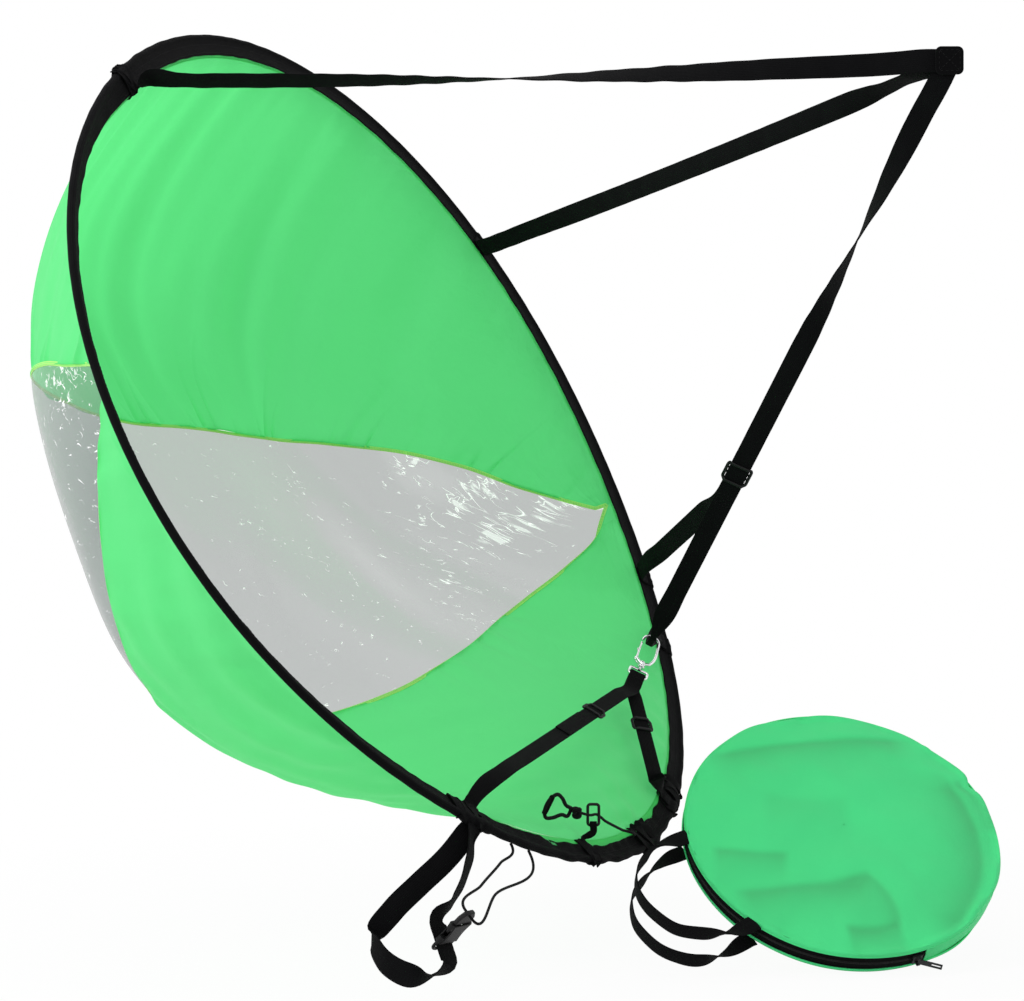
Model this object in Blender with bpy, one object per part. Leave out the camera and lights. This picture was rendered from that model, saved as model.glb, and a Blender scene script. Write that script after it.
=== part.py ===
"""Pop-up canoe sail with its storage bag.

A sprung hoop in a folded sleeve carries a shallow bowl of thin cloth with a clear window. Three
webbing lines run from the hoop to a hand point in front of it. Two deck straps meet at a swivel
snap hook, and a lashing loop, its buckle and a short tether hang at the hoop's foot.
Metres, +Z up. The origin is the hoop's foot, where the sail is lashed to the deck. The open side
of the bowl faces -Y, towards the paddler.
"""

import math

import bmesh
import bpy
import numpy as np
from mathutils import Matrix, Vector, geometry

# Fit between pieces
CLEARANCE = 0.0003
RUNNING = 0.0005

# Hoop: a rod sprung into a ring, a little out of round as the lines pull it
HOOP_RADIUS = 0.540
HOOP_LEAN = math.radians(28.2)
HOOP_STATIONS = 60
# order round the hoop, then the growth and the lift of its cosine and sine waves
HOOP_WAVES = (
    (2, (0.0062, 0.0041), (0.0074, 0.0038)),
    (3, (0.0002, 0.0135), (-0.0027, -0.0023)),
)
ROD_RADIUS = 0.0025
ROD_SIDES = 8
FERRULE_WALL = 0.0006
FERRULE_LENGTH = 0.060
FERRULE_ANGLE = math.radians(20)

# Sleeve: webbing folded over the rod, its two legs closed on the bowl's hem
SLEEVE_WIDTH = 0.029
SLEEVE_CLOTH = 0.0009
HEM_DEPTH = 0.011
HEM_MARGIN = 0.0020
HEM_DROP_SHARES = (0.994, 0.984)
HEM_INNER_SHARE = HEM_DROP_SHARES[-1]

# Bowl: depth along the hoop's axis, and how it varies round the hoop in shares of that depth
BOWL_DEPTH = 0.260
BOWL_FLATNESS = 6.0
BOWL_EDGE = 1.2
BOWL_WAVE_SHARES = ((1, 0.60, -0.10), (2, -0.22, 0.42), (3, 0.16, -0.40))
BOWL_SOFTENING_SHARE = 0.22
PANEL_CLOTH = 0.0010
WINDOW_SHEET = 0.0008
SEAM_WIDTH = 0.005
SEAM_THICKNESS = 0.0016
# rings of panel points and the spacing along them, in shares of the bowl's radius
PANEL_RING_SHARES = (0.17, 0.33, 0.48, 0.61, 0.72, 0.81, 0.88, 0.93, 0.962)
PANEL_SPACING_SHARE = 0.115
SEAM_SPACING_SHARE = 0.07
BOWL_STEP_SHARE = 0.002
# the two seams, across and up the bowl in shares of its radius, from the port side
TOP_SEAM_SHARES = (
    (-0.972, 0.163), (-0.890, 0.232), (-0.790, 0.312), (-0.700, 0.362), (-0.550, 0.408),
    (-0.380, 0.413), (-0.220, 0.385), (-0.050, 0.357), (0.120, 0.342), (0.300, 0.336),
    (0.500, 0.330), (0.674, 0.298), (0.805, 0.220), (0.885, 0.111), (0.935, -0.032),
    (0.969, -0.171),
)
LOW_SEAM_SHARES = (
    (-0.979, 0.098), (-0.945, 0.040), (-0.898, -0.053), (-0.840, -0.165), (-0.780, -0.265),
    (-0.695, -0.360), (-0.570, -0.440), (-0.420, -0.490), (-0.280, -0.510), (-0.144, -0.510),
    (0.017, -0.490), (0.191, -0.451), (0.400, -0.410), (0.611, -0.362), (0.780, -0.318),
    (0.880, -0.283), (0.935, -0.250), (0.960, -0.216),
)

# Webbing
LINE_WIDTH = 0.025
STRAP_WIDTH = 0.020
WEBBING = 0.0015
WEBBING_STEP = 0.035

# Anchors on the hoop, as angles from its top, and the widths of the folded webbing there
UPPER_ANGLE = math.radians(-30.3)
MIDDLE_ANGLE = math.radians(55.5)
BRANCH_ANGLE = math.radians(112.3)
LOWER_ANGLE = math.radians(123.8)
PORT_ANGLE = math.radians(-151.8)
STARBOARD_ANGLE = math.radians(156.5)
FOOT_ANGLE = math.radians(-175.0)
PORT_ANCHOR_WIDTH = 0.045
FOOT_ANCHOR_WIDTH = 0.016
ANCHOR_MARGIN = 0.003

# Hand point, where the three lines are sewn together
HAND_POINT = Vector((-0.008, -0.405, 0.867))
PATCH_SIZE = 0.030
PATCH_THICKNESS = 0.0025
PATCH_CORNER = 0.006
VIEW_TURN = math.radians(-62.35)
LINE_SAG = 0.004
LINE_END = 0.010
# share along a line, then degrees its width stands from upright
UPPER_TWIST_SHARES = (
    (0.05, 60), (0.14, 60), (0.30, 70), (0.42, 90), (0.60, 130), (0.80, 165), (0.93, 180),
)
MIDDLE_TWIST_SHARES = ((0.12, 40), (0.30, 15), (0.55, 10), (0.82, 30), (0.93, 80))

# Tri-glide on the lower line
GLIDE_SHARE = 0.677
JUNCTION_SHARE = 0.705
JUNCTION_LEAD_SHARE = 0.006
GLIDE_LENGTH = 0.028
GLIDE_BAR = 0.0045
GLIDE_RAIL = 0.0030

# Swivel snap hook, hung on the lower line
HOOK_WIRE = 0.00175
HOOK_WINDOW = 0.018
HOOK_LENGTH = 0.042
HOOK_POINT = Vector((0.3112, 0.0871, 0.2227))
HOOK_TILT = math.radians(35)
# the hook's hang: to the right and up in the view
HOOK_LEAN_SHARES = (-0.436, -0.90)
PINCH_WIDTH = 0.008
PINCH_THICKNESS = 0.003
COLLAR_RADIUS = 0.0048
COLLAR_LENGTH = 0.008
STEM_RADIUS = 0.0017
RIVET_RADIUS = 0.0032
RIVET_HEIGHT = 0.0015
EYE_WIRE = 0.0017
EYE_HEIGHT = 0.009
EYE_TAIL = 0.020
GATE_RADIUS = 0.0014
GATE_PIN_RADIUS = 0.0008
GATE_KNUCKLE = 0.0024
LUG_THICKNESS = 0.0012

# Adjusters on the deck straps
ADJUSTER_LENGTH = 0.020
ADJUSTER_BAR = 0.0040
ADJUSTER_RAIL = 0.0028
PORT_ADJUSTER_SHARE = 0.34
STARBOARD_ADJUSTER_SHARE = 0.44
PORT_KNEE = Vector((-0.178, 0.039, 0.107))
STARBOARD_KNEE = Vector((0.170, 0.019, 0.069))
ADJUSTER_TRAVEL = 0.025
STRAP_TAIL = 0.075
# rows along a strap's straight stretch, before and after its adjuster
STRAP_ROW_SHARES = ((0.12, 0.22), (0.60, 0.75, 0.88, 1.0))
PORT_SPREAD_SHARE = 0.25

# Lashing loop that hangs at the foot
LOOP_DROP = 0.140
LOOP_HEAD_DROP = 0.002
LOOP_STEP = 0.016
# level, deep and down, in shares of the loop's drop, then how far the band has turned to upright
LOOP_START_SHARES = (
    (0.10, 0.026, 0.03, 0.0), (0.29, 0.036, 0.19, 0.5), (0.49, 0.107, 0.36, 1.0),
    (0.71, 0.179, 0.55, 1.0), (0.86, 0.214, 0.73, 1.0), (0.89, 0.086, 0.87, 1.0),
    (0.84, -0.086, 0.96, 0.8), (0.76, -0.220, 0.98, 0.4),
)
LOOP_END_SHARES = (
    (0.42, -0.157, 0.48, 0.4), (0.26, -0.107, 0.34, 0.2), (0.14, -0.060, 0.18, 0.0),
    (0.08, -0.026, 0.05, 0.0),
)
# the buckle's place on the loop, then its width and length as front, right and up in the view
SOCKET_SHARES = (0.607, -0.257, 0.743)
SOCKET_SIDE_SHARES = (0.8, -0.6, 0)
SOCKET_ALONG_SHARES = (0.424, 0.566, 0.707)
SLOT_HALF = 0.0030
SLOT_BAR = 0.0040
SLOT_LEAD = 0.020
BUCKLE_THICKNESS = 0.0085
BUCKLE_WALL = 0.0016
SOCKET_LENGTH = 0.028
INSERT_LENGTH = 0.016
PRONG_LENGTH = 0.014
CORD_RADIUS = 0.0015
LASHING_TIE_ANGLES = (math.radians(-157.7), math.radians(-161.0))
# how far the cord reaches past the insert, and how it sags at the insert and at its ties
CORD_REACH = 0.004
CORD_SAGS = (0.003, 0.004)
CORD_DROPS = (0.004, 0.006)

# Tether at the foot
TETHER_RADIUS = 0.0016
RING_PLACE = Vector((-0.031, 0.004, 0.044))
KNOT_PLACE = Vector((-0.061, 0.010, 0.050))
CORD_EYE_PLACE = Vector((-0.110, 0.023, 0.063))
TETHER_END_ANGLE = math.radians(173.0)
TETHER_REACH = 0.004
# outline of the tether's end loop, along and across it in shares of its length
CORD_EYE_SHARES = (
    (0.0, 0.10), (0.25, 0.12), (0.55, 0.26), (0.80, 0.30), (0.95, 0.18), (1.0, 0.0),
    (0.95, -0.18), (0.80, -0.30), (0.55, -0.26), (0.25, -0.12), (0.0, -0.10),
)
RING_WIDTH = 0.015
RING_HEIGHT = 0.026
RING_BAR = 0.003
KNOT_RADIUS = 0.0055

# Storage bag
BAG_DIAMETER = 0.360
BAG_DEPTH = 0.030
BAG_CROWN = 0.012
BAG_CLOTH = 0.0012
BAG_CENTRE = Vector((0.138, -0.229, 0.012))
BAG_LEAN = math.radians(49)
BAG_YAW = math.radians(5)
BAG_STATIONS = 48
BAG_PROFILE_SHARES = (0.0, 0.40, 0.70, 0.90, 1.0)
ZIP_TAPE_THICKNESS = 0.0012
ZIP_TEETH = 0.0034
ZIP_FROM = math.radians(152)
ZIP_TO = math.radians(290)
ZIP_RIDGE = 0.0016
SLIDER_WIDTH = 0.0112
SLIDER_LENGTH = 0.012
SLIDER_HEIGHT = 0.0042
SLIDER_PLATE = 0.0016
SLIDER_LUG = 0.0022
PULLER_LENGTH = 0.026
PULLER_WIDTH = 0.007
PULLER_THICKNESS = 0.0016
PULLER_PIN = 0.0007
PULLER_WALL = 0.0018
# how far the puller lies from hanging straight down
PULLER_TURN = math.radians(70)
HANDLE_WIDTH = 0.025
HANDLE_REACH = 0.098
HANDLE_GAP = 0.0044
HANDLE_SPREAD_SHARE = 0.35
HANDLE_STEP = 0.030
HANDLE_ANGLES = (math.radians(182), math.radians(226))
# across the handle from its middle, out from the bag, and how far the band has turned edge-on
HANDLE_SHARES = (
    (-1.0, 0.0, 0.0), (-1.0, 0.10, 0.0), (-0.98, 0.30, 0.4), (-0.86, 0.58, 1.0), (-0.62, 0.84, 1.0),
    (-0.22, 0.99, 1.0), (0.22, 0.99, 1.0), (0.66, 0.86, 1.0), (0.95, 0.58, 1.0), (1.05, 0.30, 0.4),
    (1.02, 0.10, 0.0), (1.0, 0.0, 0.0),
)


def vec(values):
    return np.array(values, dtype=float)


def unit(vector):
    return vector / np.linalg.norm(vector)


RING_SIDE = vec((1, 0, 0))
RING_UP = vec((0, math.sin(HOOP_LEAN), math.cos(HOOP_LEAN)))
RING_AXIS = vec((0, -math.cos(HOOP_LEAN), math.sin(HOOP_LEAN)))
WORLD_UP = vec((0, 0, 1))
VIEW_FRONT = vec((math.sin(VIEW_TURN), -math.cos(VIEW_TURN), 0))
VIEW_RIGHT = vec((math.cos(VIEW_TURN), math.sin(VIEW_TURN), 0))


# Building blocks

def material(name, colour, roughness, metallic=0.0, alpha=1.0):
    existing = bpy.data.materials.get(name)
    if existing:
        return existing
    made = bpy.data.materials.new(name)
    made.use_nodes = True
    shader = made.node_tree.nodes["Principled BSDF"]
    shader.inputs["Base Color"].default_value = (*colour, 1.0)
    shader.inputs["Roughness"].default_value = roughness
    shader.inputs["Metallic"].default_value = metallic
    shader.inputs["Alpha"].default_value = alpha
    return made


def black_webbing():
    return material("black_webbing", (0.012, 0.012, 0.012), 0.9)


def green_cloth():
    return material("green_cloth", (0.05, 0.60, 0.13), 0.7)


def black_plastic():
    return material("black_plastic", (0.015, 0.015, 0.015), 0.45)


def plated_metal():
    return material("plated_metal", (0.62, 0.63, 0.64), 0.25, metallic=1.0)


def add_object(name, mesh, finish):
    mesh.materials.append(finish)
    made = bpy.data.objects.new(name, mesh)
    bpy.context.collection.objects.link(made)
    return made


def solid(name, points, faces, finish, smooth=True):
    """One closed body from points and faces, with its faces turned outwards."""
    mesh = bpy.data.meshes.new(name)
    mesh.from_pydata([tuple(point) for point in points], [], faces)
    shape = bmesh.new()
    shape.from_mesh(mesh)
    bmesh.ops.triangulate(shape, faces=shape.faces[:])
    bmesh.ops.recalc_face_normals(shape, faces=shape.faces[:])
    if shape.calc_volume(signed=True) < 0:
        bmesh.ops.reverse_faces(shape, faces=shape.faces[:])
    shape.to_mesh(mesh)
    shape.free()
    if smooth:
        mesh.shade_smooth()
        mesh.set_sharp_from_angle(angle=math.radians(40))
    return add_object(name, mesh, finish)


def loft(name, sections, finish, closed=False):
    """A solid through equal rings of points; its ends are capped unless it closes on itself."""
    count = len(sections)
    around = len(sections[0])
    points = [point for section in sections for point in section]
    faces = []
    for row in range(count if closed else count - 1):
        here = row * around
        there = ((row + 1) % count) * around
        for column in range(around):
            after = (column + 1) % around
            faces.append((here + column, here + after, there + after, there + column))
    if not closed:
        faces.append(tuple(reversed(range(around))))
        faces.append(tuple((count - 1) * around + column for column in range(around)))
    return solid(name, points, faces, finish)


def block(name, cuts, filled, place, finish):
    """A solid of box cells; cuts gives the cell walls along x, y and z, filled(i, j, k) the cells."""
    sizes = [len(values) - 1 for values in cuts]
    faces = []
    index = {}
    points = []

    def corner(i, j, k):
        if (i, j, k) not in index:
            index[(i, j, k)] = len(points)
            points.append(place(vec((cuts[0][i], cuts[1][j], cuts[2][k]))))
        return index[(i, j, k)]

    def inside(i, j, k):
        within = all(0 <= value < size for value, size in zip((i, j, k), sizes))
        return within and filled(i, j, k)

    for i in range(sizes[0]):
        for j in range(sizes[1]):
            for k in range(sizes[2]):
                if not inside(i, j, k):
                    continue
                if not inside(i - 1, j, k):
                    faces.append([corner(i, j + a, k + b) for a, b in ((0, 0), (0, 1), (1, 1), (1, 0))])
                if not inside(i + 1, j, k):
                    faces.append([corner(i + 1, j + a, k + b) for a, b in ((0, 0), (1, 0), (1, 1), (0, 1))])
                if not inside(i, j - 1, k):
                    faces.append([corner(i + a, j, k + b) for a, b in ((0, 0), (1, 0), (1, 1), (0, 1))])
                if not inside(i, j + 1, k):
                    faces.append([corner(i + a, j + 1, k + b) for a, b in ((0, 0), (0, 1), (1, 1), (1, 0))])
                if not inside(i, j, k - 1):
                    faces.append([corner(i + a, j + b, k) for a, b in ((0, 0), (0, 1), (1, 1), (1, 0))])
                if not inside(i, j, k + 1):
                    faces.append([corner(i + a, j + b, k + 1) for a, b in ((0, 0), (1, 0), (1, 1), (0, 1))])
    return solid(name, points, faces, finish, smooth=False)


def placing(origin, x_axis, y_axis, z_axis):
    """A function that takes a local point into the world."""
    def place(point):
        return origin + x_axis * point[0] + y_axis * point[1] + z_axis * point[2]
    return place


def spline(rows, spacing):
    """Smooth rows of numbers through the given rows; the first three are the place."""
    rows = np.array(rows, dtype=float)
    lengths = np.linalg.norm(rows[1:, :3] - rows[:-1, :3], axis=1)
    slopes = (rows[1:] - rows[:-1]) / lengths[:, None]
    heads = [slopes[0]]
    for index in range(len(slopes) - 1):
        before, after = lengths[index], lengths[index + 1]
        heads.append((slopes[index] * after + slopes[index + 1] * before) / (before + after))
    heads.append(slopes[-1])
    result = []
    for index, length in enumerate(lengths):
        count = max(1, math.ceil(length / spacing - 0.01))
        for step in range(count):
            t = step / count
            result.append(rows[index] * (2 * t ** 3 - 3 * t ** 2 + 1)
                          + rows[index + 1] * (3 * t ** 2 - 2 * t ** 3)
                          + heads[index] * length * (t ** 3 - 2 * t ** 2 + t)
                          + heads[index + 1] * length * (t ** 3 - t ** 2))
    result.append(rows[-1])
    return np.array(result)


def webbing_frames(route, spacing):
    """Place, width direction, face direction, width and thickness along a webbing route."""
    rows = spline([[*place, *side, width, thick] for place, side, width, thick in route], spacing)
    places = rows[:, :3]
    frames = []
    for index, row in enumerate(rows):
        ahead = places[min(index + 1, len(rows) - 1)] - places[max(index - 1, 0)]
        along = unit(ahead)
        side = unit(row[3:6] - along * (row[3:6] @ along))
        frames.append((row[:3], side, np.cross(along, side), row[6], row[7]))
    return frames


def webbing(name, route, finish, spacing=WEBBING_STEP):
    """A flat band along (place, width direction, width, thickness) rows."""
    sections = []
    for place, side, face, width, thick in webbing_frames(route, spacing):
        across = side * width / 2
        through = face * thick / 2
        sections.append([place - across - through, place + across - through,
                         place + across + through, place - across + through])
    return loft(name, sections, finish)


def rod(name, places, radius, sides, finish, closed=False):
    """A round bar through the given places."""
    places = [vec(place) for place in places]
    count = len(places)
    sections = []
    side = None
    for index, place in enumerate(places):
        if closed:
            along = unit(places[(index + 1) % count] - places[index - 1])
        else:
            along = unit(places[min(index + 1, count - 1)] - places[max(index - 1, 0)])
        if side is None:
            guess = WORLD_UP if abs(along[2]) < 0.9 else RING_SIDE
            side = unit(np.cross(along, guess))
        side = unit(side - along * (side @ along))
        other = np.cross(along, side)
        turns = [math.tau * step / sides for step in range(sides)]
        sections.append([place + (side * math.cos(a) + other * math.sin(a)) * radius for a in turns])
    return loft(name, sections, finish, closed)


def cord(name, route, radius, finish):
    """A round cord on a smooth curve through the route, with closed ends."""
    places = spline(route, 8 * radius)
    curve = bpy.data.curves.new(name, "CURVE")
    curve.dimensions = "3D"
    curve.bevel_depth = radius
    curve.bevel_resolution = 2
    curve.use_fill_caps = True
    path = curve.splines.new("POLY")
    path.points.add(len(places) - 1)
    for point, place in zip(path.points, places):
        point.co = (*place, 1.0)
    curve.materials.append(finish)
    made = bpy.data.objects.new(name, curve)
    bpy.context.collection.objects.link(made)
    return made


def cylinder(name, start, end, radius, sides, finish):
    return rod(name, [start, end], radius, sides, finish)


def combine(base, other, operation):
    """Join or cut one solid by another, and drop the second."""
    step = base.modifiers.new(operation.lower(), "BOOLEAN")
    step.operation = operation
    step.solver = "EXACT"
    step.object = other
    shaped = bpy.data.meshes.new_from_object(base.evaluated_get(bpy.context.evaluated_depsgraph_get()))
    base.modifiers.clear()
    base.data = shaped
    bpy.data.objects.remove(other, do_unlink=True)
    return base


def set_origin(made, place):
    """Put an object's origin on its joint, with its shape where it was."""
    shift = Vector(place)
    made.data.transform(Matrix.Translation(-shift))
    made.location = shift


# Hoop and sleeve

STATION_STEP = math.tau / HOOP_STATIONS
NOSE_RADIUS = ROD_RADIUS + CLEARANCE + FERRULE_WALL + CLEARANCE + SLEEVE_CLOTH
ROD_OFFSET = SLEEVE_WIDTH / 2 - NOSE_RADIUS
LEG_INNER = PANEL_CLOTH / 2 + CLEARANCE
LEG_OUTER = LEG_INNER + SLEEVE_CLOTH
NOSE_START = math.radians(140)
NOSE_STEPS = 6
LEG_BEND = ROD_OFFSET - 2.0 * NOSE_RADIUS


def wave_offset(angle):
    """Growth and lift of the sprung hoop at an angle from its top."""
    growth = 0
    lift = 0
    for order, outward, axial in HOOP_WAVES:
        growth += outward[0] * math.cos(order * angle) + outward[1] * math.sin(order * angle)
        lift += axial[0] * math.cos(order * angle) + axial[1] * math.sin(order * angle)
    return growth, lift


def outward_at(angle):
    return RING_UP * math.cos(angle) + RING_SIDE * math.sin(angle)


def from_centre(angle):
    growth, lift = wave_offset(angle)
    return outward_at(angle) * (HOOP_RADIUS + growth) + RING_AXIS * lift


RING_CENTRE = -from_centre(math.pi)


def hoop_station(angle):
    """Middle of the sleeve band and its outward direction, straight between stations."""
    turn = angle / STATION_STEP
    low = math.floor(turn + 1e-9)
    share = turn - low
    start = RING_CENTRE + from_centre(low * STATION_STEP)
    end = RING_CENTRE + from_centre((low + 1) * STATION_STEP)
    outward = outward_at(low * STATION_STEP) * (1 - share) + outward_at((low + 1) * STATION_STEP) * share
    return start * (1 - share) + end * share, outward


def hoop_place(angle, outward, axial):
    middle, direction = hoop_station(angle)
    return middle + direction * outward + RING_AXIS * axial


def hoop_tangent(angle):
    half = 0.5 * LINE_WIDTH / HOOP_RADIUS
    return unit(hoop_place(angle + half, 0, 0) - hoop_place(angle - half, 0, 0))


def fold_outline(offset, leg, nose, inner_edge):
    """Half of a folded section, from its front leg round the nose to its back leg."""
    places = [(inner_edge, leg + offset), (LEG_BEND, leg + offset)]
    reach = (nose + offset) / math.cos(NOSE_START / NOSE_STEPS)
    for step in range(NOSE_STEPS + 1):
        angle = NOSE_START - 2 * NOSE_START * step / NOSE_STEPS
        places.append((ROD_OFFSET + reach * math.cos(angle), reach * math.sin(angle)))
    places += [(LEG_BEND, -leg - offset), (inner_edge, -leg - offset)]
    return places


def sleeve_section():
    edge = -SLEEVE_WIDTH / 2
    outer = fold_outline(0, LEG_OUTER, NOSE_RADIUS, edge)
    inner = fold_outline(0, LEG_INNER, NOSE_RADIUS - SLEEVE_CLOTH, edge)
    return outer + inner[::-1]


def circle_section(centre, radius, sides):
    turns = [math.tau * step / sides for step in range(sides)]
    return [(centre + radius * math.cos(a), radius * math.sin(a)) for a in turns]


def round_hoop(angles, section):
    return [[hoop_place(angle, x, y) for x, y in section] for angle in angles]


def angles_between(start, end):
    """Both ends and every hoop station between them."""
    first = math.floor(start / STATION_STEP + 1e-6) + 1
    last = math.ceil(end / STATION_STEP - 1e-6) - 1
    return [start] + [index * STATION_STEP for index in range(first, last + 1)] + [end]


def build_hoop():
    gap = CLEARANCE / HOOP_RADIUS
    angles = angles_between(FERRULE_ANGLE + gap, FERRULE_ANGLE + math.tau - gap)
    section = circle_section(ROD_OFFSET, ROD_RADIUS, ROD_SIDES)
    loft("hoop_rod", round_hoop(angles, section), material("fibreglass", (0.75, 0.72, 0.62), 0.4))

    half = FERRULE_LENGTH / 2 / HOOP_RADIUS
    angles = angles_between(FERRULE_ANGLE - half, FERRULE_ANGLE + half)
    bore = ROD_RADIUS + CLEARANCE
    outer = round_hoop(angles, circle_section(ROD_OFFSET, bore + FERRULE_WALL, ROD_SIDES))
    inner = round_hoop(angles, circle_section(ROD_OFFSET, bore, ROD_SIDES))
    loft("hoop_ferrule", outer + inner[::-1], material("brass", (0.75, 0.55, 0.25), 0.3, 1.0), closed=True)

    stations = [index * STATION_STEP for index in range(HOOP_STATIONS)]
    loft("hoop_sleeve", round_hoop(stations, sleeve_section()), black_webbing(), closed=True)


# Bowl

RIM_INSET = SLEEVE_WIDTH / 2 + HEM_MARGIN
BOWL_RADIUS = HOOP_RADIUS - RIM_INSET


def bowl_depth(share, angle):
    waves = 1
    for order, cosine, sine in BOWL_WAVE_SHARES:
        waves += share ** order * (cosine * math.cos(order * angle) + sine * math.sin(order * angle))
    waves = (waves + math.hypot(waves, BOWL_SOFTENING_SHARE)) / 2
    return BOWL_DEPTH * (1 - share ** BOWL_FLATNESS) ** BOWL_EDGE * waves


def bowl_at(share, angle):
    rim = hoop_place(angle, -RIM_INSET, 0) - RING_CENTRE
    lift = rim @ RING_AXIS
    flat = rim - RING_AXIS * lift
    return RING_CENTRE + flat * share + RING_AXIS * (lift * share ** 2 - bowl_depth(share, angle))


def bowl_place(across, up):
    """A point of the bowl from its place across and up, in shares of the bowl's radius."""
    share = min(math.hypot(across, up), 1.0)
    return bowl_at(share, math.atan2(across, up))


def bowl_face(across, up):
    """Direction square to the bowl, towards its open side."""
    reach = BOWL_STEP_SHARE
    size = math.hypot(across, up)
    if size + reach > 1:
        across, up = across * (1 - reach) / size, up * (1 - reach) / size
    sideways = bowl_place(across + reach, up) - bowl_place(across - reach, up)
    upwards = bowl_place(across, up + reach) - bowl_place(across, up - reach)
    face = np.cross(sideways, upwards)
    return unit(face if face @ RING_AXIS > 0 else -face)


def build_hem():
    """Green strip that ties the bowl into the sleeve: flat in the fold, then down into the bowl."""
    sections = []
    for index in range(HOOP_STATIONS):
        angle = index * STATION_STEP
        flat = [hoop_place(angle, HEM_DEPTH - SLEEVE_WIDTH / 2, 0), hoop_place(angle, -RIM_INSET, 0)]
        path = flat + [bowl_at(share, angle) for share in HEM_DROP_SHARES]
        outward = outward_at(angle)
        faces = []
        for spot in range(len(path)):
            ahead = path[min(spot + 1, len(path) - 1)] - path[max(spot - 1, 0)]
            run, rise = ahead @ outward, ahead @ RING_AXIS
            faces.append(unit(-RING_AXIS * run + outward * rise))
        half = PANEL_CLOTH / 2
        front = [place + face * half for place, face in zip(path, faces)]
        back = [place - face * half for place, face in zip(path, faces)]
        sections.append(front + back[::-1])
    loft("hem_strip", sections, green_cloth(), closed=True)


def seam_curve(shares):
    rows = spline([[across, up, 0] for across, up in shares], SEAM_SPACING_SHARE)
    return rows[:, :2]


def beside(curve, distance):
    """The curve moved sideways by a share of the bowl's radius, its ends kept on the hem's edge."""
    moved = []
    for index in range(len(curve)):
        along = curve[min(index + 1, len(curve) - 1)] - curve[max(index - 1, 0)]
        along = along / np.linalg.norm(along)
        moved.append(curve[index] + np.array((-along[1], along[0])) * distance)
    edge = HEM_INNER_SHARE - CLEARANCE / BOWL_RADIUS
    for end in (0, -1):
        moved[end] = moved[end] * edge / np.linalg.norm(moved[end])
    return moved


def rim_arc(start, end):
    """Places along the hem's edge between the angles of two places, through the hoop's stations."""
    first = math.atan2(start[0], start[1])
    last = math.atan2(end[0], end[1])
    clockwise = last > first
    if clockwise:
        angles = angles_between(first, last)[1:-1]
    else:
        angles = angles_between(last, first)[1:-1][::-1]
    edge = HEM_INNER_SHARE - CLEARANCE / BOWL_RADIUS
    return [np.array((math.sin(a), math.cos(a))) * edge for a in angles]


def foot_arc(start, end):
    """The same along the foot of the bowl, past the angle of a half turn."""
    first = math.atan2(start[0], start[1])
    last = math.atan2(end[0], end[1]) + math.tau
    edge = HEM_INNER_SHARE - CLEARANCE / BOWL_RADIUS
    return [np.array((math.sin(a), math.cos(a))) * edge for a in angles_between(first, last)[1:-1]]


def inside_outline(place, outline):
    within = False
    for index in range(len(outline)):
        a, b = outline[index - 1], outline[index]
        if (a[1] > place[1]) != (b[1] > place[1]):
            if place[0] < (b[0] - a[0]) * (place[1] - a[1]) / (b[1] - a[1]) + a[0]:
                within = not within
    return within


def edge_distance(place, outline):
    best = 1.0
    for index in range(len(outline)):
        a, b = outline[index - 1], outline[index]
        run = b - a
        share = min(1, max(0, (place - a) @ run / (run @ run)))
        best = min(best, np.linalg.norm(place - a - run * share))
    return best


def panel_points(outline):
    """Points inside an outline, on rings round the bowl's middle."""
    points = []
    for ring, share in enumerate(PANEL_RING_SHARES):
        count = round(math.tau * share / PANEL_SPACING_SHARE)
        for step in range(count):
            angle = math.tau * (step + ring % 2 / 2) / count
            place = np.array((math.sin(angle), math.cos(angle))) * share
            near = min(PANEL_SPACING_SHARE, 1 - share) * 0.4
            if inside_outline(place, outline) and edge_distance(place, outline) > near:
                points.append(place)
    return points


def sheet(name, outline, points, thickness, finish):
    """A thin closed sheet that follows the bowl inside an outline."""
    outline = [np.array(place) for place in outline]
    count = len(outline)
    flat = [Vector(place) for place in outline + points]
    loop = [list(range(count))]
    placed, _, faces, _, _, _ = geometry.delaunay_2d_cdt(flat, [], loop, 1, 1e-7)
    total = len(placed)
    front = []
    back = []
    for place in placed:
        middle = bowl_place(place.x, place.y)
        half = bowl_face(place.x, place.y) * thickness / 2
        front.append(middle + half)
        back.append(middle - half)
    sides = {}
    solid_faces = []
    for face in faces:
        face = list(face)
        solid_faces.append(face)
        solid_faces.append([total + corner for corner in reversed(face)])
        for index in range(len(face)):
            edge = (face[index - 1], face[index])
            if (edge[1], edge[0]) in sides:
                del sides[(edge[1], edge[0])]
            else:
                sides[edge] = True
    for start, end in sides:
        solid_faces.append([end, start, total + start, total + end])
    return solid(name, front + back, solid_faces, finish)


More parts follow.
